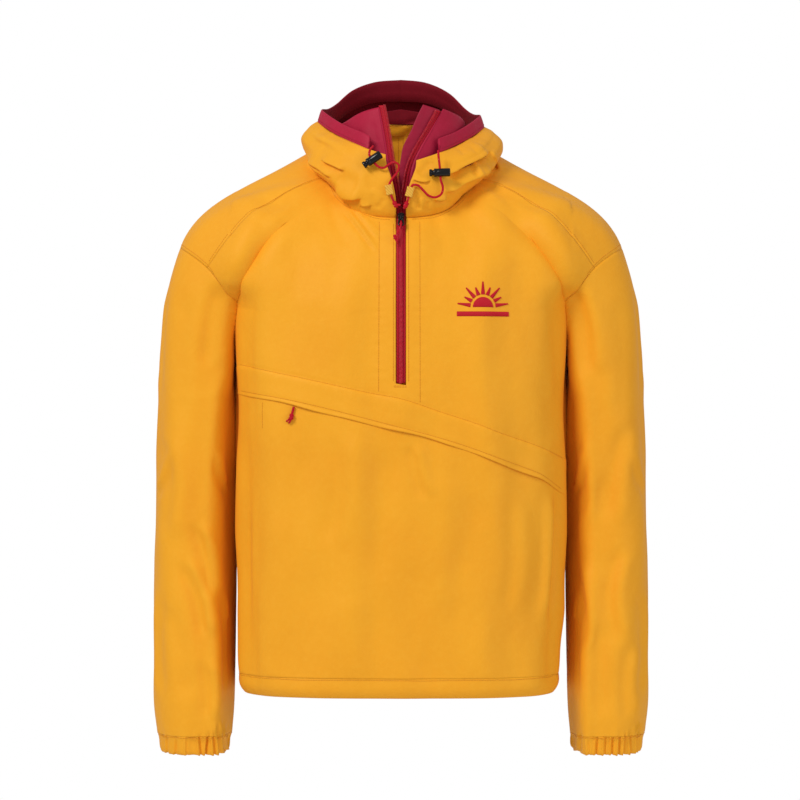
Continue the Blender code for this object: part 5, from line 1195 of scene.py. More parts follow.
def brim_half(start, slump):
    """The band's rows on the wearer's left, from its front end to the middle of the back; slump is the
    share of the hood's slump that it takes part in."""
    angles = np.concatenate([[start + d for d in BRIM_END], np.linspace(start + 3.0, 180.0, COLUMNS_BRIM)])
    x, y, low, high = brim_values(angles, "x", "y", "z_low", "z_high")
    drop = slump * slump_at(angles)
    way = unit(np.gradient(np.stack([x, y, low], -1), axis=0))
    outward = unit(np.cross(way, [0.0, 0.0, 1.0]) * LEVEL)
    outward *= np.sign(np.sum(outward * np.stack([x, y, 0 * x], -1), axis=1))[:, None]
    closing = np.array([0.0, 0.95] + [1.0] * (len(angles) - 2))
    wave = np.sin(angles * 0.37) * np.sin(angles * 0.9) + 0.5 * np.sin(angles * 0.21 + 1.0)
    ripple = wave * BRIM_WRINKLE
    rows = []
    for up, out in BRIM_SECTION:
        lean = 1 - BRIM_LEAN * up
        fall = 1 + BRIM_FALL * smooth_step(*BRIM_FALL_ANGLES, angles) * (up < -0.05)
        z = low - drop + SEAM_GAP + (high - low) * (0.5 + (up * fall - 0.5) * closing)
        stand = (BRIM_CORE + (out - BRIM_CORE) * closing) + ripple * np.sin(math.pi * up) * (out > 0)
        rows.append(np.stack([x * lean, y * lean, z], -1) + outward * stand[:, None])
    return rows


def brim_grid():
    """The padded band round the hood's edge."""
    halves = zip(brim_half(BRIM_STARTS["left"], 1.0), brim_half(BRIM_STARTS["right"], 0.0))
    return one_grid(np.array([np.concatenate([left, mirrored(right[-2::-1])]) for left, right in halves]))


# on the wearer's left the collar's edge stands higher: angles and heights
COLLAR_RISE = ((0.0, 30.0, 60.0, 90.0, 130.0, 180.0), (1.0, 5.0, 9.0, 5.0, 0.0, 0.0))


def collar_grid():
    """The stand collar inside the neck, with the front edges that carry the zip."""
    rows = []
    for t in np.linspace(0.0, 1.0, ROWS_COLLAR):
        z = float(collar_point(0.0, t)[2])
        row = []
        for name in ("left", "right"):
            edge_x = abs(float(collar_edge(name, z)))
            fine = np.linspace(0.0, 60.0, 1200)
            start = float(np.interp(edge_x, collar_point(fine, t)[:, 0], fine))
            angles = start + (180.0 - start) * np.linspace(0.0, 1.0, COLUMNS_COLLAR)
            points = collar_point(angles, t)
            if name == "left":
                points[:, 2] += t * spline(*COLLAR_RISE, angles)
            row.append(points)
        rows.append(np.concatenate([row[0], mirrored(row[1][-2::-1])]))
    return one_grid(np.array(rows))


# creases of the collar, seen from the front and from behind, as the shell's creases are
COLLAR_CREASES = {
    "front": (
        ("roll", 4.0, 2.2, ((30, -40), (44, -20), (66, 0), (84, 22))),
        ("trough", 5.0, 1.4, ((26, -16), (44, 6), (60, 30))),
        ("roll", 4.0, 2.0, ((-22, -30), (-34, -4), (-50, 20), (-58, 40))),
        ("trough", 4.5, 1.2, ((-20, -4), (-30, 20), (-36, 50))),
    ),
    "back": (
        ("roll", 6.0, 2.4, ((-50, 10), (-10, 26), (30, 16), (60, 30))),
        ("trough", 6.0, 2.4, ((-60, 34), (-20, 44), (20, 36), (56, 50))),
        ("roll", 5.0, 2.2, ((-40, 60), (-6, 54), (30, 64))),
        ("trough", 3.0, 1.6, ((8, 0), (10, 40), (6, 74))),
    ),
}
COLLAR_MIDDLE_Y = 20.0


def guard_grid():
    """Storm flap behind the zip, on the wearer's left side of the collar."""
    rows = []
    for z in np.linspace(*GUARD_SPAN, ROWS_GUARD):
        free = float(collar_edge("flap", z))
        fixed = float(collar_edge("left", z)) - GUARD_OVERLAP
        row = []
        for k in np.linspace(0.0, 1.0, COLUMNS_GUARD):
            peak = GUARD_PEAK * (1 - k) * smooth_step(20.0, GUARD_PEAK_Z, z)
            p = collar_front(free + (fixed - free) * k, z + peak)
            p[1] += GUARD_BACK + 0.8 * math.sin(z / 6.5 + 2.4 * k) * math.sin(math.pi * (0.2 + 0.7 * k))
            row.append(p)
        rows.append(row)
    return one_grid(np.array(rows))


# ================================================================ pocket flap
FLAP_ROWS = ((0.0, -0.9), (0.03, 0.1), (0.07, 1.0), (0.12, 1.5), (0.2, 1.7), (0.3, 1.7), (0.4, 1.6),
             (0.5, 1.6), (0.6, 1.7), (0.7, 1.8), (0.78, 1.9), (0.85, 1.6), (0.88, 1.5), (0.92, 2.1),
             (0.97, 2.5), (0.995, 2.3), (1.003, 1.4), (0.995, 0.6), (0.96, 0.4), (0.8, 0.35))
FLAP_DROOP, FLAP_DROOP_PLACES = 8.0, (165.0, 202.0)  # the free corner on the wearer's left hangs lower


def flap_points():
    """The flap's face, before the front's own creases are laid into it, and its stand above the front."""
    shares = np.linspace(-FLAP_END_SHARE, FLAP_END_SHARE, COLUMNS_FLAP)
    ends = np.minimum(shares + FLAP_END_SHARE, FLAP_END_SHARE - shares)
    x = torso(shares, POCKET_LEVEL, -1)[:, 0]
    edge = pocket_edge_z(x) + 1.1 * np.sin(x / 34.0 + 0.6) + 0.5 * np.sin(x / 13.0)
    top = spline(*zip(*FLAP_TOP_LINE), x) - 0.6
    droop = FLAP_DROOP * smooth_step(*FLAP_DROOP_PLACES, x)
    rows, stands = [], []
    for down, out in FLAP_ROWS:
        z = top + (edge - top) * down - droop * down**2
        rows.append(torso(shares, z, -1))
        swell = 1 + 0.35 * down * np.sin(x / 21.0 + 1.1) + 0.25 * down * np.sin(x / 9.0 + 2.0)
        stands.append(out * swell * smooth_step(0.0, 0.006, ends + 0.001))
    return np.array(rows), np.array(stands)


# ================================================================ zip
def front_line(z):
    """Depth of the front at the edge of the opening, between the slit's bottom and the neck seam."""
    z = np.atleast_1d(np.asarray(z, float))
    ribs = rib_point(RIB_SLIT, RIB_T, -1)
    levels = np.linspace(CHEST_Z - 4, SLIT_BOTTOM_Z - 10, 30)
    shares = slit_share(lambda s, h: torso(s, h, -1), levels)
    points = np.concatenate([ribs, torso(shares, levels, -1)])
    order = np.argsort(points[:, 2])
    return np.interp(z, points[order, 2], points[order, 1])


ZIP_FOOT = 1.8                           # the lowest tooth above the opening's end
UNDER_NECK_SEAM = (-84.0, -70.0)         # the zip isn't drawn where it passes under the neck seam
OPENING_LEVELS = (-70.0, -50.0)          # the tapes part between these heights


def zip_path(side, inner, spacing):
    """The teeth's line on one side of the zip, from its foot to its top."""
    name = SIDE_WORDS[side]
    low = np.arange(SLIT_BOTTOM_Z + ZIP_FOOT, UNDER_NECK_SEAM[0], spacing)
    lower = np.stack([np.full_like(low, side * inner), front_line(low) + TAPE_SINK, low], -1)
    high = np.arange(UNDER_NECK_SEAM[1], TAPE_TOP_Z[name], spacing)
    upper = []
    for z in high:
        edge = float(collar_edge(name, z)) - side * SEAM_GAP
        open_by = smooth_step(*OPENING_LEVELS, z)
        inside = side * (abs(edge) - TAPE_WIDTH * open_by - (abs(edge) - inner) * (1 - open_by))
        upper.append(collar_front(inside, z))
    return lower, np.array(upper)


# ================================================================ materials
YELLOW, YELLOW_SHADE, YELLOW_LIGHT = "f3a823", "ea951a", "f8b433"
CRIMSON, CRIMSON_SHADE, CRIMSON_LIGHT = "b0163a", "9a1130", "c0254a"
# darker crimson for the hood's inside: painted shade on the band's inward faces, the collar's inner side and
# the hood facing
SHADED_INSIDE, SHADED_INSIDE_DARK, SHADED_INSIDE_LIGHT = "7e0a1c", "640713", "8f1027"
GUARD, GUARD_SHADE, GUARD_LIGHT = "a01434", "820e29", "b42446"
TAPE_RED, TAPE_RED_SHADE = "c40e26", "9e0b1e"
CORD_RED, CORD_SHADE, CORD_FLECK = "e0182f", "b80e22", "f0b0ac"
WEBBING, WEBBING_SHADE = "eab64a", "cf9431"
EMBROIDERY, EMBROIDERY_SHADE = "d8182c", "b11324"
TEETH_RED, TEETH_SHADE = "d4182e", "b00c22"
GLOSS_BLACK, GLOSS_RUBBED = "08080a", "131316"
PAPER, PAPER_LIGHT = "eeeeec", "f6f6f5"
THREAD_PITCH = 0.0008        # taffeta's threads lie 0.25 mm apart; drawn coarser so that they show
TAPE_PITCH = 0.0009          # a tape's ribs lie about 0.6 mm apart; drawn coarser so that they show
STRAND_PITCH = 1.6           # millimetres from one crossing of a cord's strands to the next
# yellow thread darker than the cloth: partly the thread's own colour, partly painted shadow of the stitches
SHADOWED_THREAD_YELLOW, SHADOWED_THREAD_YELLOW_TWIST = "e6901f", "bc7619"
THREAD_CRIMSON, THREAD_CRIMSON_SHADE = "a8143a", "89102f"


def linear(hex_colour):
    """A screen colour as linear light, with full alpha."""
    def channel(text):
        value = int(text, 16) / 255.0
        return value / 12.92 if value <= 0.04045 else ((value + 0.055) / 1.055)**2.4
    return (*(channel(hex_colour[k:k + 2]) for k in (0, 2, 4)), 1.0)


def add(tree, kind, settings=(), **links):
    """Adds one node with its settings, and links its inputs to other nodes' outputs. A number in the
    settings, or in_ and a number in the links, stands for the input with that number."""
    node = tree.nodes.new("ShaderNode" + kind)
    for name, value in dict(settings).items():
        if isinstance(name, int) or name in node.inputs:
            node.inputs[name].default_value = value
        else:
            setattr(node, name, value)
    for name, source in links.items():
        name = name.replace("_", " ")
        target = node.inputs[int(name[3:])] if name.startswith("in ") else node.inputs[name]
        tree.links.new(source, target)
    return node


def blend(low, high):
    """The settings with which a mix runs between two screen colours; its inputs 6 and 7 are colours."""
    return {"data_type": "RGBA", 6: linear(low), 7: linear(high)}


def finish_of(name, roughness, ior, metallic=0.0, **more):
    """A new material and its shader; constants go on the shader's own sockets."""
    made = bpy.data.materials.new(name)
    made.use_nodes = True
    tree = made.node_tree
    shader = tree.nodes["Principled BSDF"]
    constants = {"Roughness": roughness, "IOR": ior, "Metallic": metallic, **more}
    for key, value in constants.items():
        shader.inputs[key.replace("_", " ")].default_value = value
    return made, tree, shader


def fed(tree, shader, **sources):
    """Links sockets to the shader's own."""
    for name, source in sources.items():
        tree.links.new(source, shader.inputs[name.replace("_", " ")])


def woven_cloth(name, base, shade, light, roughness, sheen, crinkle):
    """Plain-woven nylon: fine threads over and under, soft mottling and small crinkles."""
    made, tree, shader = finish_of(name, roughness, 1.53, Sheen_Weight=sheen, Sheen_Roughness=0.5,
                                   Specular_IOR_Level=0.16)
    place = add(tree, "UVMap", {"uv_map": "weave"}).outputs["UV"]
    spot = add(tree, "TexCoord").outputs["Object"]
    warp, weft = (add(tree, "TexWave", {"wave_type": "BANDS", "bands_direction": way, "Distortion": 0.0,
                                        "Scale": 1 / THREAD_PITCH / 6.2832}, Vector=place) for way in "XY")
    weave = add(tree, "Math", {"operation": "MULTIPLY"}, in_0=warp.outputs["Fac"],
                in_1=weft.outputs["Fac"]).outputs[0]
    # mottling as large as a palm, and finer clouding of a few millimetres
    broad = add(tree, "TexNoise", {"Scale": 9.0, "Detail": 3.0, "Roughness": 0.55}, Vector=spot)
    fine = add(tree, "TexNoise", {"Scale": 160.0, "Detail": 4.0, "Roughness": 0.6}, Vector=spot)
    tone = add(tree, "RGB").outputs[0]
    tone.default_value = linear(base)
    for low, high, most, pattern, other in ((0.38, 0.66, 0.3, broad.outputs["Fac"], shade),
                                            (0.45, 0.75, 0.22, fine.outputs["Fac"], light),
                                            (0.0, 1.0, 0.22, weave, shade)):
        share = add(tree, "MapRange", {"From Min": low, "From Max": high, "To Max": most}, Value=pattern)
        tone = add(tree, "Mix", blend(base, other), in_0=share.outputs[0], in_6=tone).outputs[2]
    # crinkles left by packing and washing: 4 to 30 mm across
    creases = add(tree, "TexNoise", {"Scale": 34.0, "Detail": 5.0, "Roughness": 0.62, "Distortion": 0.9},
                  Vector=spot)
    soft = add(tree, "TexNoise", {"Scale": 11.0, "Detail": 2.0, "Roughness": 0.5, "Distortion": 0.5},
               Vector=spot)
    first = add(tree, "Bump", {"Strength": 0.55 * crinkle, "Distance": 0.004},
                Height=soft.outputs["Fac"])
    second = add(tree, "Bump", {"Strength": 0.5 * crinkle, "Distance": 0.0015},
                 Height=creases.outputs["Fac"], Normal=first.outputs["Normal"])
    third = add(tree, "Bump", {"Strength": 0.25, "Distance": 0.00012}, Height=weave,
                Normal=second.outputs["Normal"])
    fed(tree, shader, Base_Color=tone, Normal=third.outputs["Normal"])
    return made


def sewing_thread(name, colour, shade):
    """Spun polyester thread: round, with a soft twist and little shine."""
    made, tree, shader = finish_of(name, 0.6, 1.5, Specular_IOR_Level=0.25)
    spot = add(tree, "TexCoord").outputs["Object"]
    twist = add(tree, "TexNoise", {"Scale": 2600.0, "Detail": 1.0}, Vector=spot).outputs["Fac"]
    bump = add(tree, "Bump", {"Strength": 0.4, "Distance": 0.0001}, Height=twist)
    tone = add(tree, "Mix", blend(colour, shade), in_0=twist)
    fed(tree, shader, Base_Color=tone.outputs[2], Normal=bump.outputs["Normal"])
    return made


def woven_tape(name, base, shade, placed_by_weave=True):
    """Woven polyester tape: herringbone rows, denser and flatter than the shell cloth."""
    made, tree, shader = finish_of(name, 0.6, 1.5, Specular_IOR_Level=0.2)
    place = (add(tree, "UVMap", {"uv_map": "weave"}).outputs["UV"] if placed_by_weave
             else add(tree, "TexCoord").outputs["Object"])
    ribs = add(tree, "TexWave", {"wave_type": "BANDS", "bands_direction": "DIAGONAL", "Distortion": 0.4,
                                 "Scale": 1 / TAPE_PITCH / 6.2832}, Vector=place).outputs["Fac"]
    bump = add(tree, "Bump", {"Strength": 0.5, "Distance": 0.0002}, Height=ribs)
    tone = add(tree, "Mix", blend(shade, base), in_0=ribs)
    fed(tree, shader, Base_Color=tone.outputs[2], Normal=bump.outputs["Normal"])
    return made


def moulded_teeth(name):
    """Moulded nylon coil: smooth and a little glossier than the tape."""
    made, tree, shader = finish_of(name, 0.34, 1.52)
    spot = add(tree, "TexCoord").outputs["Object"]
    clouds = add(tree, "TexNoise", {"Scale": 300.0, "Detail": 2.0}, Vector=spot)
    tone = add(tree, "Mix", blend(TEETH_SHADE, TEETH_RED), in_0=clouds.outputs["Fac"])
    fed(tree, shader, Base_Color=tone.outputs[2])
    return made


def braided_cord(name):
    """Braided polyester cord: crossed strands, with light tracer threads here and there."""
    made, tree, shader = finish_of(name, 0.68, 1.5, Specular_IOR_Level=0.2)
    # u runs round the cord and v along it, in millimetres
    place = add(tree, "UVMap", {"uv_map": "braid"}).outputs["UV"]
    strands = []
    for slant in (0.6, -0.6):
        laid_round = add(tree, "Mapping", {"Scale": (6.0, 1 / STRAND_PITCH, 1.0),
                                           "Rotation": (0.0, 0.0, slant)}, Vector=place)
        strands.append(add(tree, "TexWave", {"bands_direction": "Y", "Scale": 1.0},
                           Vector=laid_round.outputs[0]).outputs["Fac"])
    braid = add(tree, "Math", {"operation": "MULTIPLY"}, in_0=strands[0], in_1=strands[1]).outputs[0]
    grid = add(tree, "Mapping", {"Scale": (3.0, 1 / 2.1, 1.0)}, Vector=place)
    cells = add(tree, "TexVoronoi", {"Scale": 1.0, "Randomness": 0.8}, Vector=grid.outputs[0])
    spots = add(tree, "MapRange", {"From Min": 0.1, "From Max": 0.18, "To Min": 0.8, "To Max": 0.0},
                Value=cells.outputs["Distance"]).outputs[0]
    tone = add(tree, "Mix", blend(CORD_SHADE, CORD_RED), in_0=braid)
    tone = add(tree, "Mix", blend(CORD_RED, CORD_FLECK), in_0=spots, in_6=tone.outputs[2])
    bump = add(tree, "Bump", {"Strength": 0.6, "Distance": 0.0003}, Height=braid)
    fed(tree, shader, Base_Color=tone.outputs[2], Normal=bump.outputs["Normal"])
    return made


def gloss_black(name, roughness, ior, wear):
    """Smooth black surface with faint rub marks that break its highlight."""
    made, tree, shader = finish_of(name, roughness, ior, Specular_IOR_Level=0.32)
    spot = add(tree, "TexCoord").outputs["Object"]
    rubs = add(tree, "TexNoise", {"Scale": 420.0, "Detail": 3.0}, Vector=spot).outputs["Fac"]
    dull = add(tree, "MapRange", {"To Min": roughness, "To Max": roughness + wear}, Value=rubs)
    tone = add(tree, "Mix", blend(GLOSS_BLACK, GLOSS_RUBBED), in_0=rubs)
    fed(tree, shader, Base_Color=tone.outputs[2], Roughness=dull.outputs[0])
    return made


# ================================================================ small solids
def sweep(points, radius, sides=8, flat=1.0):
    """Points, faces and braid places of a round bar along a line of points, closed at its ends."""
    points = np.asarray(points, float)
    way = unit(np.gradient(points, axis=0))
    up = np.array([0.0, -1.0, 0.0])
    across = unit(np.cross(way, up) + 1e-6)
    out = unit(np.cross(across, way))
    turn = np.linspace(0, 2 * math.pi, sides, endpoint=False)
    radius = np.broadcast_to(np.asarray(radius, float), len(points))
    ring = (across[:, None] * np.cos(turn)[None, :, None]
            + out[:, None] * np.sin(turn)[None, :, None] * flat)
    return skinned(points[:, None] + ring * radius[:, None, None], points)


def skinned(rings, points):
    """Skin over rings of points along a line, closed at both ends."""
    sides = rings.shape[1]
    ids = np.arange(rings.shape[0] * sides).reshape(-1, sides)
    nxt = np.roll(ids, -1, axis=1)
    faces = np.stack([ids[:-1], nxt[:-1], nxt[1:], ids[1:]], -1).reshape(-1, 4).tolist()
    faces += [ids[0][::-1].tolist(), ids[-1].tolist()]
    length = travelled(points)
    around = np.arange(sides + 1) / sides
    places = []
    for k in range(len(points) - 1):
        for j in range(sides):
            places += [(around[j], length[k]), (around[j + 1], length[k]),
                       (around[j + 1], length[k + 1]), (around[j], length[k + 1])]
    places += [(0.5, 0.0)] * (2 * sides)
    return rings.reshape(-1, 3), faces, places


def bar_piece(name, bars, look, node=None, body=GARMENT, layer="braid"):
    """One piece out of several bars."""
    verts, faces, places, count = [], [], [], 0
    for bar_verts, bar_faces, bar_places in bars:
        verts.append(bar_verts)
        faces += [[i + count for i in face] for face in bar_faces]
        places += bar_places
        count += len(bar_verts)
    mesh = bpy.data.meshes.new(name)
    mesh.from_pydata((np.concatenate(verts) * MM).tolist(), [], faces)
    if layer:
        mesh.uv_layers.new(name=layer).data.foreach_set("uv", np.array(places, float).reshape(-1))
    return linked(name, mesh, look, node, body)


def frame_at(origin, axis, across_hint=(0.2, 0.3, 1.0)):
    """Placing matrix with local Z along an axis."""
    axis = unit(axis)
    across = unit(np.cross(axis, across_hint))
    matrix = Matrix.Identity(4)
    for k, column_way in enumerate((across, np.cross(axis, across), axis)):
        matrix.col[k][:3] = column_way
    matrix.translation = np.array(origin) * MM
    return matrix


def turned(name, profile, steps_round, matrix):
    """A turned solid from rows of (radius, height)."""
    mesh = bpy.data.meshes.new(name)
    shape = bmesh.new()
    rings = []
    for radius, height in profile:
        rings.append([shape.verts.new(matrix @ Matrix.Scale(MM, 4) @ Vector(
            (radius * math.cos(2 * math.pi * k / steps_round),
             radius * math.sin(2 * math.pi * k / steps_round), height))) for k in range(steps_round)])
    for a, b in zip(rings, rings[1:]):
        for k in range(steps_round):
            j = (k + 1) % steps_round
            shape.faces.new((a[k], a[j], b[j], b[k]))
    shape.faces.new(rings[0][::-1])
    shape.faces.new(rings[-1])
    bmesh.ops.recalc_face_normals(shape, faces=shape.faces)
    shape.to_mesh(mesh)
    shape.free()
    return mesh


# ================================================================ frame, camera and cords
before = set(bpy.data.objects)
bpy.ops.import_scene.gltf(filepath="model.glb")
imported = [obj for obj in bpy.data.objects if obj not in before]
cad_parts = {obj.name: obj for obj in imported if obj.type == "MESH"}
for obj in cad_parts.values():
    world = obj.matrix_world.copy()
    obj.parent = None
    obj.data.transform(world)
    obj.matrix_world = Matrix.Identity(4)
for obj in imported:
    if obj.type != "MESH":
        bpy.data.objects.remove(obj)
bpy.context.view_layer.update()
scene = bpy.context.scene

CAMERA_AWAY = 3.5        # metres in front of the garment's middle
CAMERA_Z = -0.29375
LENS = 126.0


def make_camera():
    data = bpy.data.cameras.new("camera")
    data.lens, data.sensor_width, data.shift_x = LENS, 36.0, -1 / 800
    camera = bpy.data.objects.new("camera", data)
    camera.location = (0.0, -CAMERA_AWAY, CAMERA_Z)
    camera.rotation_euler = (math.pi / 2, 0.0, 0.0)
    scene.collection.objects.link(camera)
    scene.camera = camera


make_camera()

SHELL_LOOK = woven_cloth("nylon taffeta, washed, yellow", YELLOW, YELLOW_SHADE, YELLOW_LIGHT, 0.6, 0.02, 1.0)
CRIMSON_LOOK = woven_cloth("nylon taffeta, crimson", CRIMSON, CRIMSON_SHADE, CRIMSON_LIGHT, 0.55, 0.02, 0.9)
# painted shade: the hood's inside is drawn in a darker crimson than the band's outside
SHADED_INSIDE_LOOK = woven_cloth("crimson darkened as painted shade of the hood's inside", SHADED_INSIDE, SHADED_INSIDE_DARK, SHADED_INSIDE_LIGHT,
                          0.8, 0.02, 0.6)
GUARD_LOOK = woven_cloth("nylon taffeta, doubled, purplish crimson", GUARD, GUARD_SHADE, GUARD_LIGHT,
                         0.5, 0.03, 1.3)
TAPE_LOOK = woven_tape("woven polyester zip tape", TAPE_RED, TAPE_RED_SHADE)
WEBBING_LOOK = woven_tape("woven nylon webbing, pale yellow", WEBBING, WEBBING_SHADE, False)
TEETH_LOOK = moulded_teeth("moulded nylon zip coil")
CORD_LOOK = braided_cord("braided polyester drawcord")
# the yellow thread's darker colour is partly painted shadow of the stitches
SHADOWED_THREAD_LOOK = sewing_thread("spun polyester thread, yellow, darkened as painted shadow", SHADOWED_THREAD_YELLOW, SHADOWED_THREAD_YELLOW_TWIST)
EMBROIDERY_LOOK = sewing_thread("rayon embroidery thread, crimson", EMBROIDERY, EMBROIDERY_SHADE)
CRIMSON_THREAD_LOOK = sewing_thread("spun polyester thread, crimson", THREAD_CRIMSON, THREAD_CRIMSON_SHADE)
ZINC_LOOK = gloss_black("die-cast zinc, black enamel", 0.16, 1.5, 0.08)
ACETAL_LOOK = gloss_black("moulded acetal, black", 0.13, 1.48, 0.08)


def drawcord(word, route):
    """The part of a drawcord that shows, and its path."""
    path = smooth_path(route, 1.2)
    name = "braided_cord_" + word
    return bar_piece(name, [sweep(path, CORD_RADIUS, 12)], CORD_LOOK, "drawcord_" + word), path


CORDS = {"left": drawcord("left", LEFT_CORD), "right": drawcord("right", RIGHT_CORD)}

# ================================================================ cloth pieces
SEAM_SINK = 0.32         # how far a seam is drawn in
PUCKER = 0.28            # height of the small ripples beside the sewing
PUCKER_REACH = 7.0
CUFF_LEVEL = 0.75        # how nearly level a cuff's cloth is pressed; the hem's is pressed level


def pucker(points, borders):
    """Small ripples that the sewing leaves beside every seam."""
    seams = np.unique(np.round(borders, 1), axis=0)
    tree = KDTree(len(seams))
    for k, place in enumerate(seams):
        tree.insert(place, k)
    tree.balance()
    nearest = np.array([tree.find(p)[1:] for p in points])
    place, away = seams[nearest[:, 0].astype(int)], nearest[:, 1]
    ripple = np.sin(place / np.array([1.55, 1.7, 1.9]) + np.array([0.3, 1.1, 2.0])).sum(axis=1) / 2
    return PUCKER * ripple * np.exp(-(away / PUCKER_REACH)**2) * smooth_step(0.3, 2.0, away)


def outer_normals(points, normals):
    """The normals, with those of the parts turned in at the hem and the cuffs made to point outward."""
    on_sleeve = np.abs(points[:, 0]) > CHEST_SIDE + 2.0
    middle = np.where(on_sleeve[:, None], (WRIST_X, WRIST_Y), (0.0, UNDERARM[1]))
    middle[:, 0] *= np.sign(points[:, 0])
    outward = unit(np.column_stack([points[:, :2] - middle, 0.0 * points[:, 2]]))
    turned_in = points[:, 2] < np.where(on_sleeve, WRIST_Z, HEM_SEAM_Z) + 0.5
    inward_share = np.minimum(0.0, np.sum(normals * outward, axis=1)) * turned_in
    facing_out = normals - 2 * outward * inward_share[:, None]
    level = np.where(on_sleeve, CUFF_LEVEL, 1.0) * turned_in
    return unit(facing_out + (outward - facing_out) * level[:, None])


def laid(pieces):
    """Presses creases, drape, gathers and seams into pieces that share their seams."""
    joined = {name: piece.joined() for name, piece in pieces.items()}
    points = np.concatenate([j[0] for j in joined.values()])
    keys, new = np.unique(np.round(points, 2), axis=0, return_inverse=True)
    new = new.reshape(-1)
    normals, shifted, borders, start = np.zeros((len(keys), 3)), {}, [], 0
    for name, (places, faces, weave) in joined.items():
        ids = new[start:start + len(places)]
        np.add.at(normals, ids, point_normals(places, faces))
        shifted[name] = (ids, faces, weave, border_points(faces))
        borders.append(places[shifted[name][3]])
        start += len(places)
    normals = outer_normals(keys, unit(normals))
    height = gather_creases(keys) + pucker(keys, np.concatenate(borders))
    moved = keys + creased(keys, normals) + normals * height[:, None]
    result = {}
    for name, (ids, faces, weave, border) in shifted.items():
        places = moved[ids]
        low = places[border][:, 2:] < HEM_SEAM_Z + 10.0
        places[border] -= normals[ids][border] * np.where(low, SEAM_SINK / 4, SEAM_SINK)
        result[name] = (places, faces, weave)
    return result


upper, lower, low_left, low_right, low_strip = front_grids()
back, low_back = back_grid()
shells = laid({
    "front_upper": upper, "front_lower": lower, "back": back,
    "hem_band": hem_grid(low_left, low_right, low_strip, low_back),
    "sleeve_left": sleeve_grid(1), "sleeve_right": sleeve_grid(-1),
    "cuff_left": cuff_grid(1), "cuff_right": cuff_grid(-1), "hood_shell": one_grid(hood_points(HOOD_ROWS)),
})

for name, parts in shells.items():
    cloth_piece("cloth_" + name, name, parts, SHELL_LOOK)


def trim_piece(name, sheet, look, thickness, creases=()):
    """A crimson piece that stands by itself, with its own creases."""
    places, faces, weave = sheet.joined()
    normals = point_normals(places, faces)
    height = np.zeros(len(places))
    for plane, rows in dict(creases).items():
        here = places[:, 1] > COLLAR_MIDDLE_Y if plane == "back" else places[:, 1] < COLLAR_MIDDLE_Y
        for kind, width, depth, line in rows:
            height += depth * here * line_profile(places[:, [0, 2]], line, width, kind)[0]
    parts = (places + normals * height[:, None], faces, weave)
    return cloth_piece("cloth_" + name, name, parts, look, thickness)


# the hood facing is drawn in the darker crimson: painted shade inside the hood
trim_piece("hood_facing", facing_grid(), SHADED_INSIDE_LOOK, 0.4)
band = trim_piece("brim_binding", brim_grid(), CRIMSON_LOOK, 0)
# the band's inward faces get the darker crimson: painted shade inside the hood
band.data.materials.append(SHADED_INSIDE_LOOK)
for face in band.data.polygons:
    inward = face.normal.x * face.center.x + face.normal.y * face.center.y
    face.material_index = int(inward < -0.3 * math.hypot(face.center.x, face.center.y))
collar = trim_piece("inner_collar", collar_grid(), CRIMSON_LOOK, 1.0, COLLAR_CREASES)
# the collar's inner side gets the darker crimson: painted shade inside the neck
collar.data.materials.append(SHADED_INSIDE_LOOK)
collar.modifiers[0].material_offset = 1
trim_piece("storm_flap", guard_grid(), GUARD_LOOK, 0.8)


FLAP_HALF, FLAP_END_TURN = 203.0, 9      # half width, and how suddenly its ends turn to the side


def flap_piece():
    """The pocket flap, laid over the front with the front's own creases."""
    points, stands = flap_points()
    flat = points.reshape(-1, 3)
    share = np.clip(np.abs(flat[:, 0]) / FLAP_HALF, 0, 1)
    outward = unit(np.stack([np.sign(flat[:, 0]) * share**FLAP_END_TURN, -np.ones(len(flat)), 0 * share], -1))
    places = flat + creased(flat, outward) + outward * stands.reshape(-1, 1)
    sheet = Cloth()
    sheet.grid(places.reshape(points.shape), weave_places(points), flip=True)
    cloth_piece("cloth_pocket_flap", "pocket_flap", sheet.joined(), SHELL_LOOK)


flap_piece()


# ================================================================ zip tapes and teeth
TAPE_THICKNESS = 0.8
TAPE_STEPS = range(6)                    # columns across a tape
TUCK, TUCK_LEVELS = 1.6, (-70.0, -60.0)  # the open tapes' outer edges lie behind the collar's


def tape_piece(side):
    """One tape, under the front below the neck seam and along the collar's edge above it."""
    word = SIDE_WORDS[side]
    lower, upper = zip_path(side, TAPE_EDGE_X[0], 1.5)
    rows = []
    for p in lower:
        rows.append([p + np.array([side * (TAPE_EDGE_X[1] + 0.4) * k / 5, 0.9 * (k / 5)**2, 0.0])
                     for k in TAPE_STEPS])
    for p in upper:
        edge = float(collar_edge(word, p[2])) - side * SEAM_GAP
        tuck = TUCK * smooth_step(*TUCK_LEVELS, p[2])
        rows.append([collar_front(p[0] + (edge + side * tuck - p[0]) * k / 5, p[2])
                     + np.array([0.0, tuck * max(0.0, (k - 3.2) / 1.8), 0.0]) for k in TAPE_STEPS])
    parts = one_grid(np.array(rows), 0, flip=side < 0).joined()
    cloth_piece("zip_tape_cloth_" + word, "zip_tape_" + word, parts, TAPE_LOOK,
                TAPE_THICKNESS)


for side in SIDE_WORDS:
    tape_piece(side)

# ================================================================ sewing
STITCH, STITCH_GAP, STITCH_RADIUS = 2.6, 0.6, 0.26
STANDING_OFF = 6.0
STITCH_OUT = 0.18        # a stitch's middle stands this far above the cloth, its ends lie in it
# how far a row of stitches lies from its edge or seam
FROM_FLAP_TOP, FROM_FLAP_EDGE, BESIDE_ZIP, BELOW_ZIP = 1.6, 5.6, 9.2, 1.8
FROM_ARMHOLE, FROM_NECK, FROM_CUFF_SEAM = 4.5, 2.6, 2.8
PANEL_SEAMS = (128.0, 131.5)     # the rows of sewing on the hood's middle panel


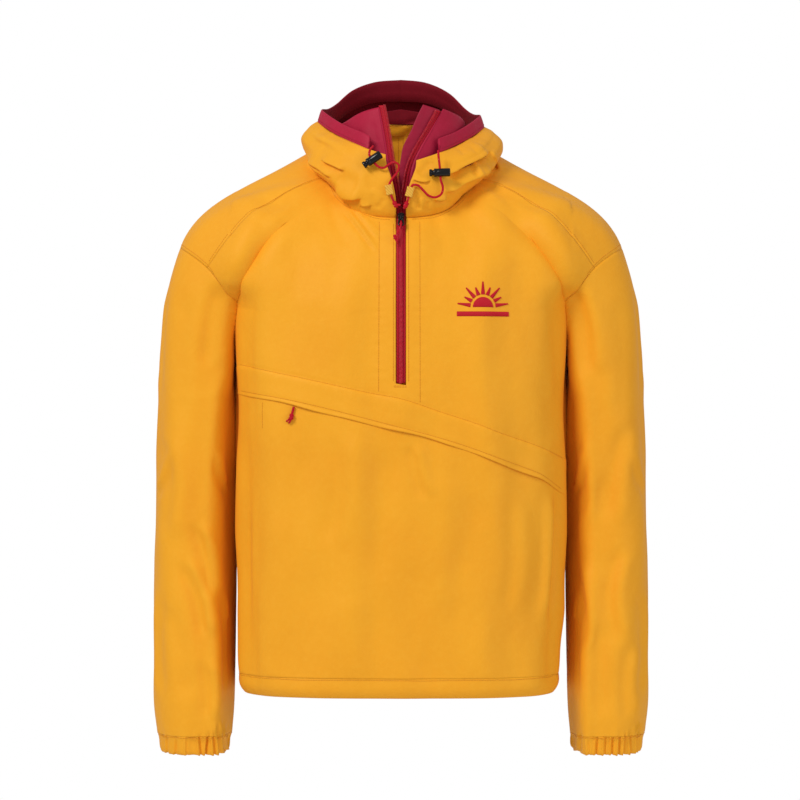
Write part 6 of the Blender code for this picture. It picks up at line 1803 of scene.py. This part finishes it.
def tree_of(*names):
    """A search tree over the outer faces of cloth pieces."""
    points, faces, count = [], [], 0
    for name in names:
        places, quads, _ = CLOTH_MESHES[name]
        points.append(places)
        faces.append(quads + count)
        count += len(places)
    return BVHTree.FromPolygons(np.concatenate(points).tolist(), np.concatenate(faces).tolist())


def onto(tree, points):
    """The nearest places on the cloth, and its normals there."""
    found = [tree.find_nearest(Vector(p)) for p in points]
    return np.array([f[0] for f in found]), np.array([f[1] for f in found])


def seen_from_front(tree, across, up, y_from=-300.0):
    """Places on the cloth behind places across and up, looking backward from a depth."""
    places, normals = [], []
    for x, z in np.broadcast(across, up):
        hit = tree.ray_cast(Vector((x, y_from, z)), Vector((0.0, 1.0, 0.0)))
        if hit[0] is not None:
            places.append(hit[0])
            normals.append(hit[1] if hit[1][1] < 0 else -hit[1])
    return np.array(places), np.array(normals)


def standing_off(points, middle):
    """Points moved outward, so that the nearest cloth is its outer face."""
    return points + unit((points - np.array([*middle[:2], 0.0])) * LEVEL) * STANDING_OFF


def stitches(places, normals, radius=STITCH_RADIUS):
    """Bars of thread along a line on the cloth, each dipping into it at both ends."""
    travel = travelled(places)
    bars = []
    for start in np.arange(STITCH_GAP, travel[-1] - STITCH, STITCH + STITCH_GAP):
        at = start + STITCH * np.array([0.0, 0.3, 0.7, 1.0])
        rise = np.array([-0.35, 0.9, 0.9, -0.35]) * STITCH_OUT
        spots = np.stack([np.interp(at, travel, places[:, k]) for k in range(3)], -1)
        out = unit(np.stack([np.interp(at, travel, normals[:, k]) for k in range(3)], -1))
        bars.append(sweep(spots + out * rise[:, None], radius, 5))
    return bars


def stitches_both(tree, line):
    """Stitches nearest to a line on the wearer's left, and to its mirror image."""
    return stitches(*onto(tree, line)) + stitches(*onto(tree, mirrored(line)))


def inner_stitches(tree, across, up):
    """Stitches on the inside of the back."""
    places, normals = seen_from_front(tree, across, up, 0.0)
    return stitches(places + normals * (CLOTH + 0.1), normals)


def sew_garment():
    """Yellow thread along the seams of the shell."""
    front = tree_of("front_upper", "front_lower")
    body = tree_of("front_upper", "back", "front_lower")
    bars = []
    # placket, pocket end and flap
    for line in (PLACKET_RIGHT, PLACKET_LEFT, POCKET_END_LINE):
        bars += stitches(*seen_from_front(front, *smooth_path(line, 2.0).T))
    flap = tree_of("pocket_flap", "front_upper")
    across, up = smooth_path(FLAP_TOP_LINE, 2.0).T
    bars += stitches(*seen_from_front(flap, across, up - FROM_FLAP_TOP))
    x = np.linspace(-196.0, 196.0, 200)
    low = pocket_edge_z(x) + FROM_FLAP_EDGE - FLAP_DROOP * smooth_step(*FLAP_DROOP_PLACES, x)
    bars += stitches(*seen_from_front(flap, x, low))
    # beside the zip's opening
    levels = np.linspace(-80.0, SLIT_BOTTOM_Z + 1.0, 100)
    for edge in (-BESIDE_ZIP, BESIDE_ZIP):
        bars += stitches(*seen_from_front(front, edge, levels))
    for drop in (0.0, -1.4):
        bars += stitches(*seen_from_front(front, np.linspace(-BESIDE_ZIP, BESIDE_ZIP, 12),
                                          SLIT_BOTTOM_Z - BELOW_ZIP + drop))
    # shoulder seam
    bars += stitches_both(body, rib_point(np.full(80, YOKE_SHARE + 0.008), np.linspace(0.03, 0.97, 80), -1))
    # armhole, on the body's side
    angles = np.linspace(0, 360, 240)
    swing = np.array([0.0, 0.0, 3.0]) * np.cos(np.radians(angles))[:, None]
    inset = np.array([-FROM_ARMHOLE, 0.0, 0.0]) + swing
    bars += stitches_both(body, armhole(angles) + inset)
    # below the neck seam
    loop = neck(np.linspace(4.6, 180.0, 240))
    bars += stitches_both(body, loop + unit(loop * LEVEL) * FROM_NECK + np.array([0.0, 0.0, -FROM_NECK]))
    # hem: one row all round, just below the seam
    hem = tree_of("hem_band")
    for face in (-1, 1):
        line = torso(np.linspace(-1.0, 1.0, 260), HEM_STITCH_Z, face)
        bars += stitches(*onto(hem, standing_off(line, UNDERARM)))
    # cuffs
    ring = sleeve_section(np.linspace(0.0, 360.0, 160), WRIST_Z) + np.array([0.0, 0.0, -FROM_CUFF_SEAM])
    ring = standing_off(ring, (WRIST_X, WRIST_Y))
    bars += stitches(*onto(tree_of("cuff_left"), ring))
    bars += stitches(*onto(tree_of("cuff_right"), mirrored(ring)))
    # seams of the hood's middle panel
    hood = tree_of("hood_shell")
    rows = np.linspace(0.2, HOOD_LAST - 0.1, 240)
    for angle in PANEL_SEAMS:
        panel = hood_surface(rows, np.full_like(rows, angle))
        slumped = panel - np.outer(slump_at(angle) * rows / HOOD_LAST, [0.0, 0.0, 1.0])
        for line in (slumped, mirrored(panel)):
            bars += stitches(*onto(hood, line))
    # inside the back: a row below the neck seam and one down the middle
    inside = tree_of("back")
    x = np.linspace(-60.0, 60.0, 60)
    bars += inner_stitches(inside, x, 46.5 - (x / 60)**2 * 9)
    for place in (-3.4, 2.6):
        bars += inner_stitches(inside, place, np.linspace(45.0, -70.0, 60))
    bar_piece("topstitching", bars, SHADOWED_THREAD_LOOK, layer=None)


def sew_trim():
    """Crimson thread on the band, the collar and the zip tapes."""
    bars = []
    band_tree, collar_tree = tree_of("brim_binding"), tree_of("inner_collar")
    for side, word in SIDE_WORDS.items():
        rows = brim_half(BRIM_STARTS[word] + 0.6, max(0, side))
        line = (rows[6] * 0.6 + rows[5] * 0.4)[3:]
        bars += stitches(*onto(band_tree, sided(line, side)))
    for side, word in SIDE_WORDS.items():
        lower, upper = zip_path(side, TAPE_EDGE_X[0], 1.5)
        tape = tree_of("zip_tape_" + word)
        bars += stitches(*onto(tape, upper + np.array([side * 4.4, 0.0, 0.0])))
        bars += stitches(*onto(tape, lower + np.array([side * 3.3, 0.0, 0.0])), radius=0.22)
        bars += stitches(*onto(collar_tree, upper + np.array([side * (TAPE_WIDTH + 3.0), 0.0, 0.0])))
    bar_piece("crimson_topstitching", bars, CRIMSON_THREAD_LOOK, layer=None)


# ================================================================ zip teeth
TOOTH_PITCH = 1.5        # millimetres from tooth to tooth
TOOTH_RADIUS = 0.55
# a tooth's line, across the zip and in depth: hooked into its neighbour, and free
CLOSED_TOOTH = ((2.7, 0.1), (1.6, -0.75), (0.2, -0.95), (-0.7, -0.5))
OPEN_TOOTH = ((1.6, -0.5), (0.4, -1.1), (-1.0, -1.0), (-1.5, -0.4))


def teeth(name, places, outline):
    """Teeth at places and sides of the zip."""
    bars = []
    for (x, y, z), side in places:
        line = [(x + side * across, y + depth, z) for across, depth in outline]
        bars.append(sweep(np.array(line), TOOTH_RADIUS, 6))
    bar_piece(name, bars, TEETH_LOOK, layer=None)


def zip_coils():
    """The closed coil below the slider, and one up each of the collar's front edges."""
    lower, _ = zip_path(1, TAPE_EDGE_X[0], TOOTH_PITCH / 2)
    sides = [1 if k % 2 else -1 for k in range(len(lower))]
    teeth("zip_coil_closed", [((0.0, p[1], p[2] + 0.18 * side), side) for p, side in zip(lower, sides)],
          CLOSED_TOOTH)
    for side, word in SIDE_WORDS.items():
        _, upper = zip_path(side, TAPE_EDGE_X[0], TOOTH_PITCH)
        teeth("zip_coil_open_" + word, [(p, side) for p in upper], OPEN_TOOTH)


# ================================================================ emblem
# a half sun over a bar, embroidered in satin stitch; sizes from the emblem's middle
EMBLEM_CENTRE = (98.5, -173.0)
SATIN_PITCH, SATIN_RADIUS = 0.62, 0.4
SATIN_SHARES, SATIN_RISE = (0.0, 0.12, 0.5, 0.88, 1.0), (-0.1, 0.45, 0.62, 0.45, -0.1)
SUN_RADIUS, SUN_LEVEL = 12.0, -9.0
RAY_START, RAY_LONG, RAY_SHORT = 15.5, 31.0, 25.0
RAY_FOOT, RAY_TIP = 2.3, 0.5
RAY_ANGLES = (8.0, 28.5, 49.0, 69.5, 90.0, 110.5, 131.0, 151.5, 172.0)
BAR_HALF, BAR_TOP, BAR_FOOT = 31.0, -14.5, -20.0


def satin_rows():
    """The ends of every satin stitch of the emblem, in its own plane."""
    rows = []
    for x in np.arange(-SUN_RADIUS + 0.3, SUN_RADIUS, SATIN_PITCH):
        rows.append(((x, SUN_LEVEL), (x, SUN_LEVEL + math.sqrt(SUN_RADIUS**2 - x * x))))
    for x in np.arange(-BAR_HALF, BAR_HALF + 0.1, SATIN_PITCH):
        rows.append(((x, BAR_TOP), (x, BAR_FOOT)))
    for k, angle in enumerate(RAY_ANGLES):
        tip = RAY_LONG if k % 2 == 0 else RAY_SHORT
        a = math.radians(angle)
        along, across = np.array([math.cos(a), math.sin(a)]), np.array([-math.sin(a), math.cos(a)])
        for r in np.arange(RAY_START, tip, SATIN_PITCH):
            half = RAY_FOOT + (RAY_TIP - RAY_FOOT) * (r - RAY_START) / (tip - RAY_START)
            middle = np.array([0.0, SUN_LEVEL]) + along * r
            rows.append((tuple(middle - across * half), tuple(middle + across * half)))
    return rows


def embroider():
    """The emblem on the chest."""
    front = tree_of("front_upper")
    bars = []
    for a, b in satin_rows():
        line = np.array([np.array(a) + (np.array(b) - np.array(a)) * k for k in SATIN_SHARES])
        places, normals = seen_from_front(front, *(line + np.array(EMBLEM_CENTRE)).T)
        bars.append(sweep(places + normals * np.array(SATIN_RISE)[:, None], SATIN_RADIUS, 6))
    bar_piece("chest_embroidery", bars, EMBROIDERY_LOOK, layer=None)


sew_garment()
sew_trim()
zip_coils()
embroider()


# ================================================================ hardware and the cords' ends
def rounded_bar(centres, half_widths, half_depths, across, out, power=5.0, sides=24):
    """A bar of rounded rectangles: its centres, and its half width and depth at each."""
    turn = np.linspace(0, 2 * math.pi, sides, endpoint=False)
    c, s = np.cos(turn), np.sin(turn)
    wide, deep = (np.sign(v) * np.abs(v)**(2 / power) for v in (c, s))
    centres, half_widths, half_depths = (np.asarray(v, float) for v in (centres, half_widths, half_depths))
    rings = (centres[:, None] + np.array(across) * (wide[None] * half_widths[:, None])[..., None]
             + np.array(out) * (deep[None] * half_depths[:, None])[..., None])
    return skinned(rings, centres)


def softened(values, top=0.86):
    """The same values, drawn in at both ends so that edges come out rounded."""
    values = np.array(values, float)
    values[[0, -1]] *= top
    return values


ACROSS = np.array([1.0, 0.0, 0.0])
SLIDER_MIDDLE = np.array([0.0, -102.4, -73.5])
SLIDER_UP, SLIDER_OUT = unit((0.0, 6.4, 12.0)), unit((0.0, -12.0, 6.4))
# height, half width and half depth of the slider's body
SLIDER_ROWS = ((-6.6, 2.3, 1.0), (-6.5, 2.8, 1.4), (-6.0, 3.1, 1.6), (-1.0, 3.9, 1.6), (3.0, 4.1, 1.6),
               (5.2, 4.2, 1.6), (6.0, 3.2, 1.55), (6.5, 2.3, 1.35), (6.6, 1.8, 1.0))
BRIDGE_UP, BRIDGE_OUT = -0.5, 6.1
BRIDGE_HALF = 2.9
# height above the slider, half width and half depth of each foot of the bridge
BRIDGE_ROWS = ((2.2, 0.56, 1.5), (2.6, 0.56, 1.35), (4.4, 0.56, 1.3), (6.4, 0.56, 1.3), (7.0, 0.5, 1.1),
               (7.2, 0.3, 0.7))
HINGE = SLIDER_MIDDLE + SLIDER_UP * BRIDGE_UP + SLIDER_OUT * BRIDGE_OUT
PULL_DOWN = unit((0.0, float(front_line(-106.0)[0] - front_line(-88.0)[0]), -18.0))
PULL_FACE = np.cross([1.0, 0.0, 0.0], -PULL_DOWN)
# the pull's frame and its cord, counted from the hinge: across and down, and for the cord also forward
PULL_FRAME = ((0.0, 3.2), (1.5, 4.1), (2.4, 6.4), (3.25, 9.8), (2.9, 11.9), (1.6, 12.9), (0.0, 13.2),
              (-1.6, 12.9), (-2.9, 11.9), (-3.25, 9.8), (-2.4, 6.4), (-1.5, 4.1), (0.0, 3.2))
PULL_STEM = ((1.9, 1.0), (1.6, 1.5), (0.8, 1.6), (-1.0, 1.55), (-2.6, 1.5), (-3.6, 1.3))
PULL_CORD = ((7.0, 0.2, 0.0), (9.5, 1.2, 0.0), (11.6, 2.6, 0.0), (13.6, 2.7, 0.0),
             (17.5, 1.0, -1.2), (25.5, 1.4, -4.8), (31.0, 1.8, -7.2))
PULL_TAIL = ((0.4, -0.3, -3.0), (2.2, -0.5, -5.4), (3.6, 0.2, -8.0))
# a knot pulled tight, and the free tail behind it: travel, thickness as a share of the knot's
KNOT_ROWS = ((-1.35, 0.42), (-1.15, 0.8), (-0.8, 1.0), (-0.35, 0.95), (-0.1, 0.78), (0.15, 0.9),
             (0.55, 1.0), (0.95, 0.84), (1.2, 0.5), (1.4, 0.42))


def zip_slider():
    """The slider's body, its raised middle and the bridge that the pull swings on."""
    rows = np.array(SLIDER_ROWS)
    bars = [rounded_bar(SLIDER_MIDDLE + SLIDER_OUT * 1.6 + SLIDER_UP * rows[:, :1], rows[:, 1], rows[:, 2],
                        ACROSS, SLIDER_OUT)]
    raised = np.linspace(-5.2, 5.2, 8)[:, None]
    bars.append(rounded_bar(SLIDER_MIDDLE + SLIDER_OUT * 3.3 + SLIDER_UP * raised, softened([1.5] * 8, 0.6),
                            softened([0.45] * 8, 0.5), ACROSS, SLIDER_OUT))
    rows = np.array(BRIDGE_ROWS)
    for side in (-1, 1):
        foot = SLIDER_MIDDLE + SLIDER_UP * BRIDGE_UP + ACROSS * side * BRIDGE_HALF
        bars.append(rounded_bar(foot + SLIDER_OUT * rows[:, :1], rows[:, 1], rows[:, 2],
                                ACROSS, SLIDER_UP, 4.0, 16))
    bars.append(sweep(HINGE + ACROSS * np.linspace(-3.0, 3.0, 4)[:, None], 0.75, 16))
    bar_piece("slider_body", bars, ZINC_LOOK, "zip_slider")


def on_pull(down, face, sideways):
    """A place on the pull, counted from its hinge."""
    return HINGE + PULL_DOWN * down + PULL_FACE * face + ACROSS * sideways


def zip_pull():
    """The pull's frame with its stem, and the knotted cord through it."""
    loop = np.array([on_pull(v, 0.0, u) for u, v in smooth_path(PULL_FRAME, 0.7)])
    stem = np.array([on_pull(-u, 0.0, 0.0) for u, _ in PULL_STEM])
    bars = [sweep(loop, 0.95, 12, 1.4),
            rounded_bar(stem, [r for _, r in PULL_STEM], softened([1.35] * 6, 0.7), ACROSS, PULL_FACE, 4.0)]
    bar_piece("pull_frame", bars, ACETAL_LOOK, "zip_pull", PULL)
    path = smooth_path([on_pull(*p) for p in PULL_CORD], 0.8)
    tail = path[-1] + np.array(PULL_TAIL)
    bars = [sweep(path, 0.95, 10), knot(path[-1], tail[0] - path[-1], 2.2),
            sweep(smooth_path([path[-1], *tail], 0.8), 0.85, 10)]
    bar_piece("pull_cord_braid", bars, CORD_LOOK, "pull_cord", PULL)


def knot(centre, way, radius):
    """A tight overhand knot: two turns of cord side by side."""
    rows = np.array(KNOT_ROWS)
    wobble = np.array([(0.1, -0.12, 0.0), (-0.12, 0.1, 0.0)])[np.arange(len(rows)) % 2] * radius
    centres = np.array(centre) + unit(way) * rows[:, :1] * radius + wobble * 0.5
    return sweep(centres, rows[:, 1] * radius, 14)


# outline of a cord lock, turned: radius and height, the button first
LOCK_ROWS = ((1.6, 0.0), (3.4, 0.05), (4.1, 0.35), (4.35, 0.9), (4.35, 2.9), (4.1, 3.4), (3.5, 3.7),
             (3.3, 4.1), (3.3, 5.4), (3.6, 5.7), (4.75, 5.9), (5.05, 6.2), (5.1, 6.7), (5.1, 9.2),
             (4.95, 9.5), (4.95, 10.1), (5.1, 10.4), (5.1, 24.2), (4.95, 24.9), (4.6, 25.3), (3.9, 25.5),
             (2.9, 25.5), (2.6, 25.1), (1.0, 25.0))
# each lock's middle, on its cord, and its axis
LOCKS = {"left": ((47.4, -112.8, -18.6), (1.0, 0.0, 0.03)),
         "right": ((-34.5, -111.8, -2.8), (0.833, 0.0, 0.553))}
LOCK_MIDDLE = 13.3
TABS = {"left": (10.6, -112.6, -42.0), "right": (-14.3, -112.6, -39.5)}
TAB_WIDTH, TAB_DEPTH = 9.2, 4.8
# height along a tab, and its width and depth there as a share of the full ones
TAB_ROWS = ((-6.0, 0.9), (-5.9, 0.98), (-5.3, 1), (-4.0, 1), (-2.0, 1), (0.0, 1), (2.0, 1), (4.0, 1),
            (5.3, 1), (5.9, 0.98), (6.0, 0.9))
END_KNOTS = {"left": ((6.0, -110.6, -57.6), ((5.0, -110.6, -60.0), (3.6, -110.0, -62.0))),
             "right": ((-6.9, -110.6, -57.0), ((-4.0, -111.2, -57.4), (-0.6, -110.8, -57.8)))}


def cord_hardware(word):
    """The lock, the webbing tab and the end knot of one drawcord."""
    path = CORDS[word][1]
    place, axis = LOCKS[word]
    matrix = frame_at(np.array(place) - np.array(axis) * LOCK_MIDDLE, axis)
    name = "barrel_lock_" + word
    lock = linked(name, turned(name, LOCK_ROWS, 36, matrix), ACETAL_LOOK, "cord_lock_" + word)
    tab_place = np.array(TABS[word])
    near = path[np.argsort(np.linalg.norm(path - tab_place, axis=1))[:3]]
    up = unit(near[np.argmax(near[:, 2])] - near[np.argmin(near[:, 2])])
    across = unit(np.cross([0.0, 1.0, 0.0], up))
    out = unit(np.cross(up, across))
    heights, edge = np.array(TAB_ROWS).T
    waist = 1 - 0.1 * np.exp(-(heights / 2.4)**2)
    bars = [rounded_bar(tab_place + up * heights[:, None], TAB_WIDTH / 2 * edge * waist,
                        TAB_DEPTH / 2 * edge * waist, across, out, 6.0, 32)]
    # the folded ends of the webbing, stitched down beside the cord
    for side in (-1, 1):
        lap = tab_place + across * side * 2.7 + out * 0.35 + up * heights[:, None] * 0.98
        bars.append(rounded_bar(lap, edge * 1.7, TAB_DEPTH / 2 * edge, across, out, 5.0, 16))
    tab = bar_piece("webbing_loop_" + word, bars, WEBBING_LOOK, "hood_tab_" + word)
    centre, tail = END_KNOTS[word]
    end = path[-1]
    bars = [knot(centre, np.array(centre) - end, 3.0),
            sweep(smooth_path([centre, *tail], 1.0), CORD_RADIUS, 12),
            sweep(smooth_path([end + (end - path[-2]) * 0.2, centre], 1.0), CORD_RADIUS, 12)]
    ending = bar_piece("cord_ending_" + word, bars, CORD_LOOK, "cord_knot_" + word)
    return [lock, tab, ending]


# the pocket zip's cord, each place across, up and above the cloth: the cord, its knot and two free tails
POCKET_CORD = ((-129.0, -302.0, 2.6), (-130.4, -307.0, 2.6), (-131.6, -311.5, 2.6))
POCKET_KNOT = (-132.0, -314.2, 3.4)
POCKET_TAILS = (((-132.6, -315.2, 3.2), (-135.8, -317.8, 3.0), (-138.2, -319.6, 2.6)),
                ((-131.8, -315.8, 3.0), (-133.4, -319.0, 3.2), (-135.2, -321.6, 2.4)))


def pocket_cord():
    """The pocket zip's cord under the flap, knotted, with two free tails."""
    front = tree_of("front_lower")

    def above(x, z, lift):
        places, _ = seen_from_front(front, x, z)
        return places[0] - np.array([0.0, lift, 0.0])

    path = smooth_path([above(*p) for p in POCKET_CORD], 0.8)
    middle = above(*POCKET_KNOT)
    bars = [sweep(path, 1.4, 10), knot(middle, middle - path[0], 2.9)]
    for tail in POCKET_TAILS:
        bars.append(sweep(smooth_path([above(*p) for p in tail], 0.8), 1.15, 10))
    bar_piece("pocket_cord_braid", bars, CORD_LOOK, "pocket_pull_cord")


zip_slider()
zip_pull()
ON_CORDS = {word: cord_hardware(word) for word in CORDS}
pocket_cord()


FLOOR_RADIUS, FLOOR_Z = 1.05, -0.95      # metres


def make_floor():
    """A round sheet of paper under the garment."""
    mesh = bpy.data.meshes.new("floor")
    turn = np.linspace(0, 2 * math.pi, 96, endpoint=False)
    mesh.from_pydata([(FLOOR_RADIUS * math.cos(a), FLOOR_RADIUS * math.sin(a), FLOOR_Z) for a in turn],
                     [], [list(range(96))])
    made, tree, shader = finish_of("matt studio paper, pale", 0.9, 1.45)
    spot = add(tree, "TexCoord").outputs["Object"]
    cloud = add(tree, "TexNoise", {"Scale": 3.0, "Detail": 2.0}, Vector=spot)
    tone = add(tree, "Mix", blend(PAPER, PAPER_LIGHT), in_0=cloud.outputs["Fac"])
    fed(tree, shader, Base_Color=tone.outputs[2])
    mesh.materials.append(made)
    floor = bpy.data.objects.new("floor", mesh)
    scene.collection.objects.link(floor)


make_floor()


# name, place and size in metres, and power in watts
LIGHTS = (("key", (-2.0, -2.5, 2.0), 1.2, 80.0), ("fill", (2.4, -2.6, 0.2), 2.2, 28.0))
AIM = Vector((0.0, 0.0, -0.3))
DAYLIGHT = 0.47          # strength of the white surroundings on the garment


def make_lights():
    """Two soft lamps, and white surroundings that light less strongly than they look."""
    for name, place, size, power in LIGHTS:
        data = bpy.data.lights.new(name, "AREA")
        data.size, data.energy = size, power
        light = bpy.data.objects.new(name, data)
        light.location = place
        light.rotation_euler = (AIM - Vector(place)).to_track_quat("-Z", "Y").to_euler()
        scene.collection.objects.link(light)
    world = bpy.data.worlds.new("studio")
    world.use_nodes = True
    tree = world.node_tree
    tree.nodes.clear()
    out = add(tree, "OutputWorld")
    white = (1.0, 1.0, 1.0, 1.0)
    seen = add(tree, "Background", {"Color": white, "Strength": 1.0})
    lit = add(tree, "Background", {"Color": white, "Strength": DAYLIGHT})
    ray = add(tree, "LightPath")
    choose = add(tree, "MixShader")
    tree.links.new(ray.outputs["Is Camera Ray"], choose.inputs[0])
    tree.links.new(lit.outputs[0], choose.inputs[1])
    tree.links.new(seen.outputs[0], choose.inputs[2])
    tree.links.new(choose.outputs[0], out.inputs["Surface"])
    scene.world = world
    scene.view_settings.view_transform = "Standard"


make_lights()
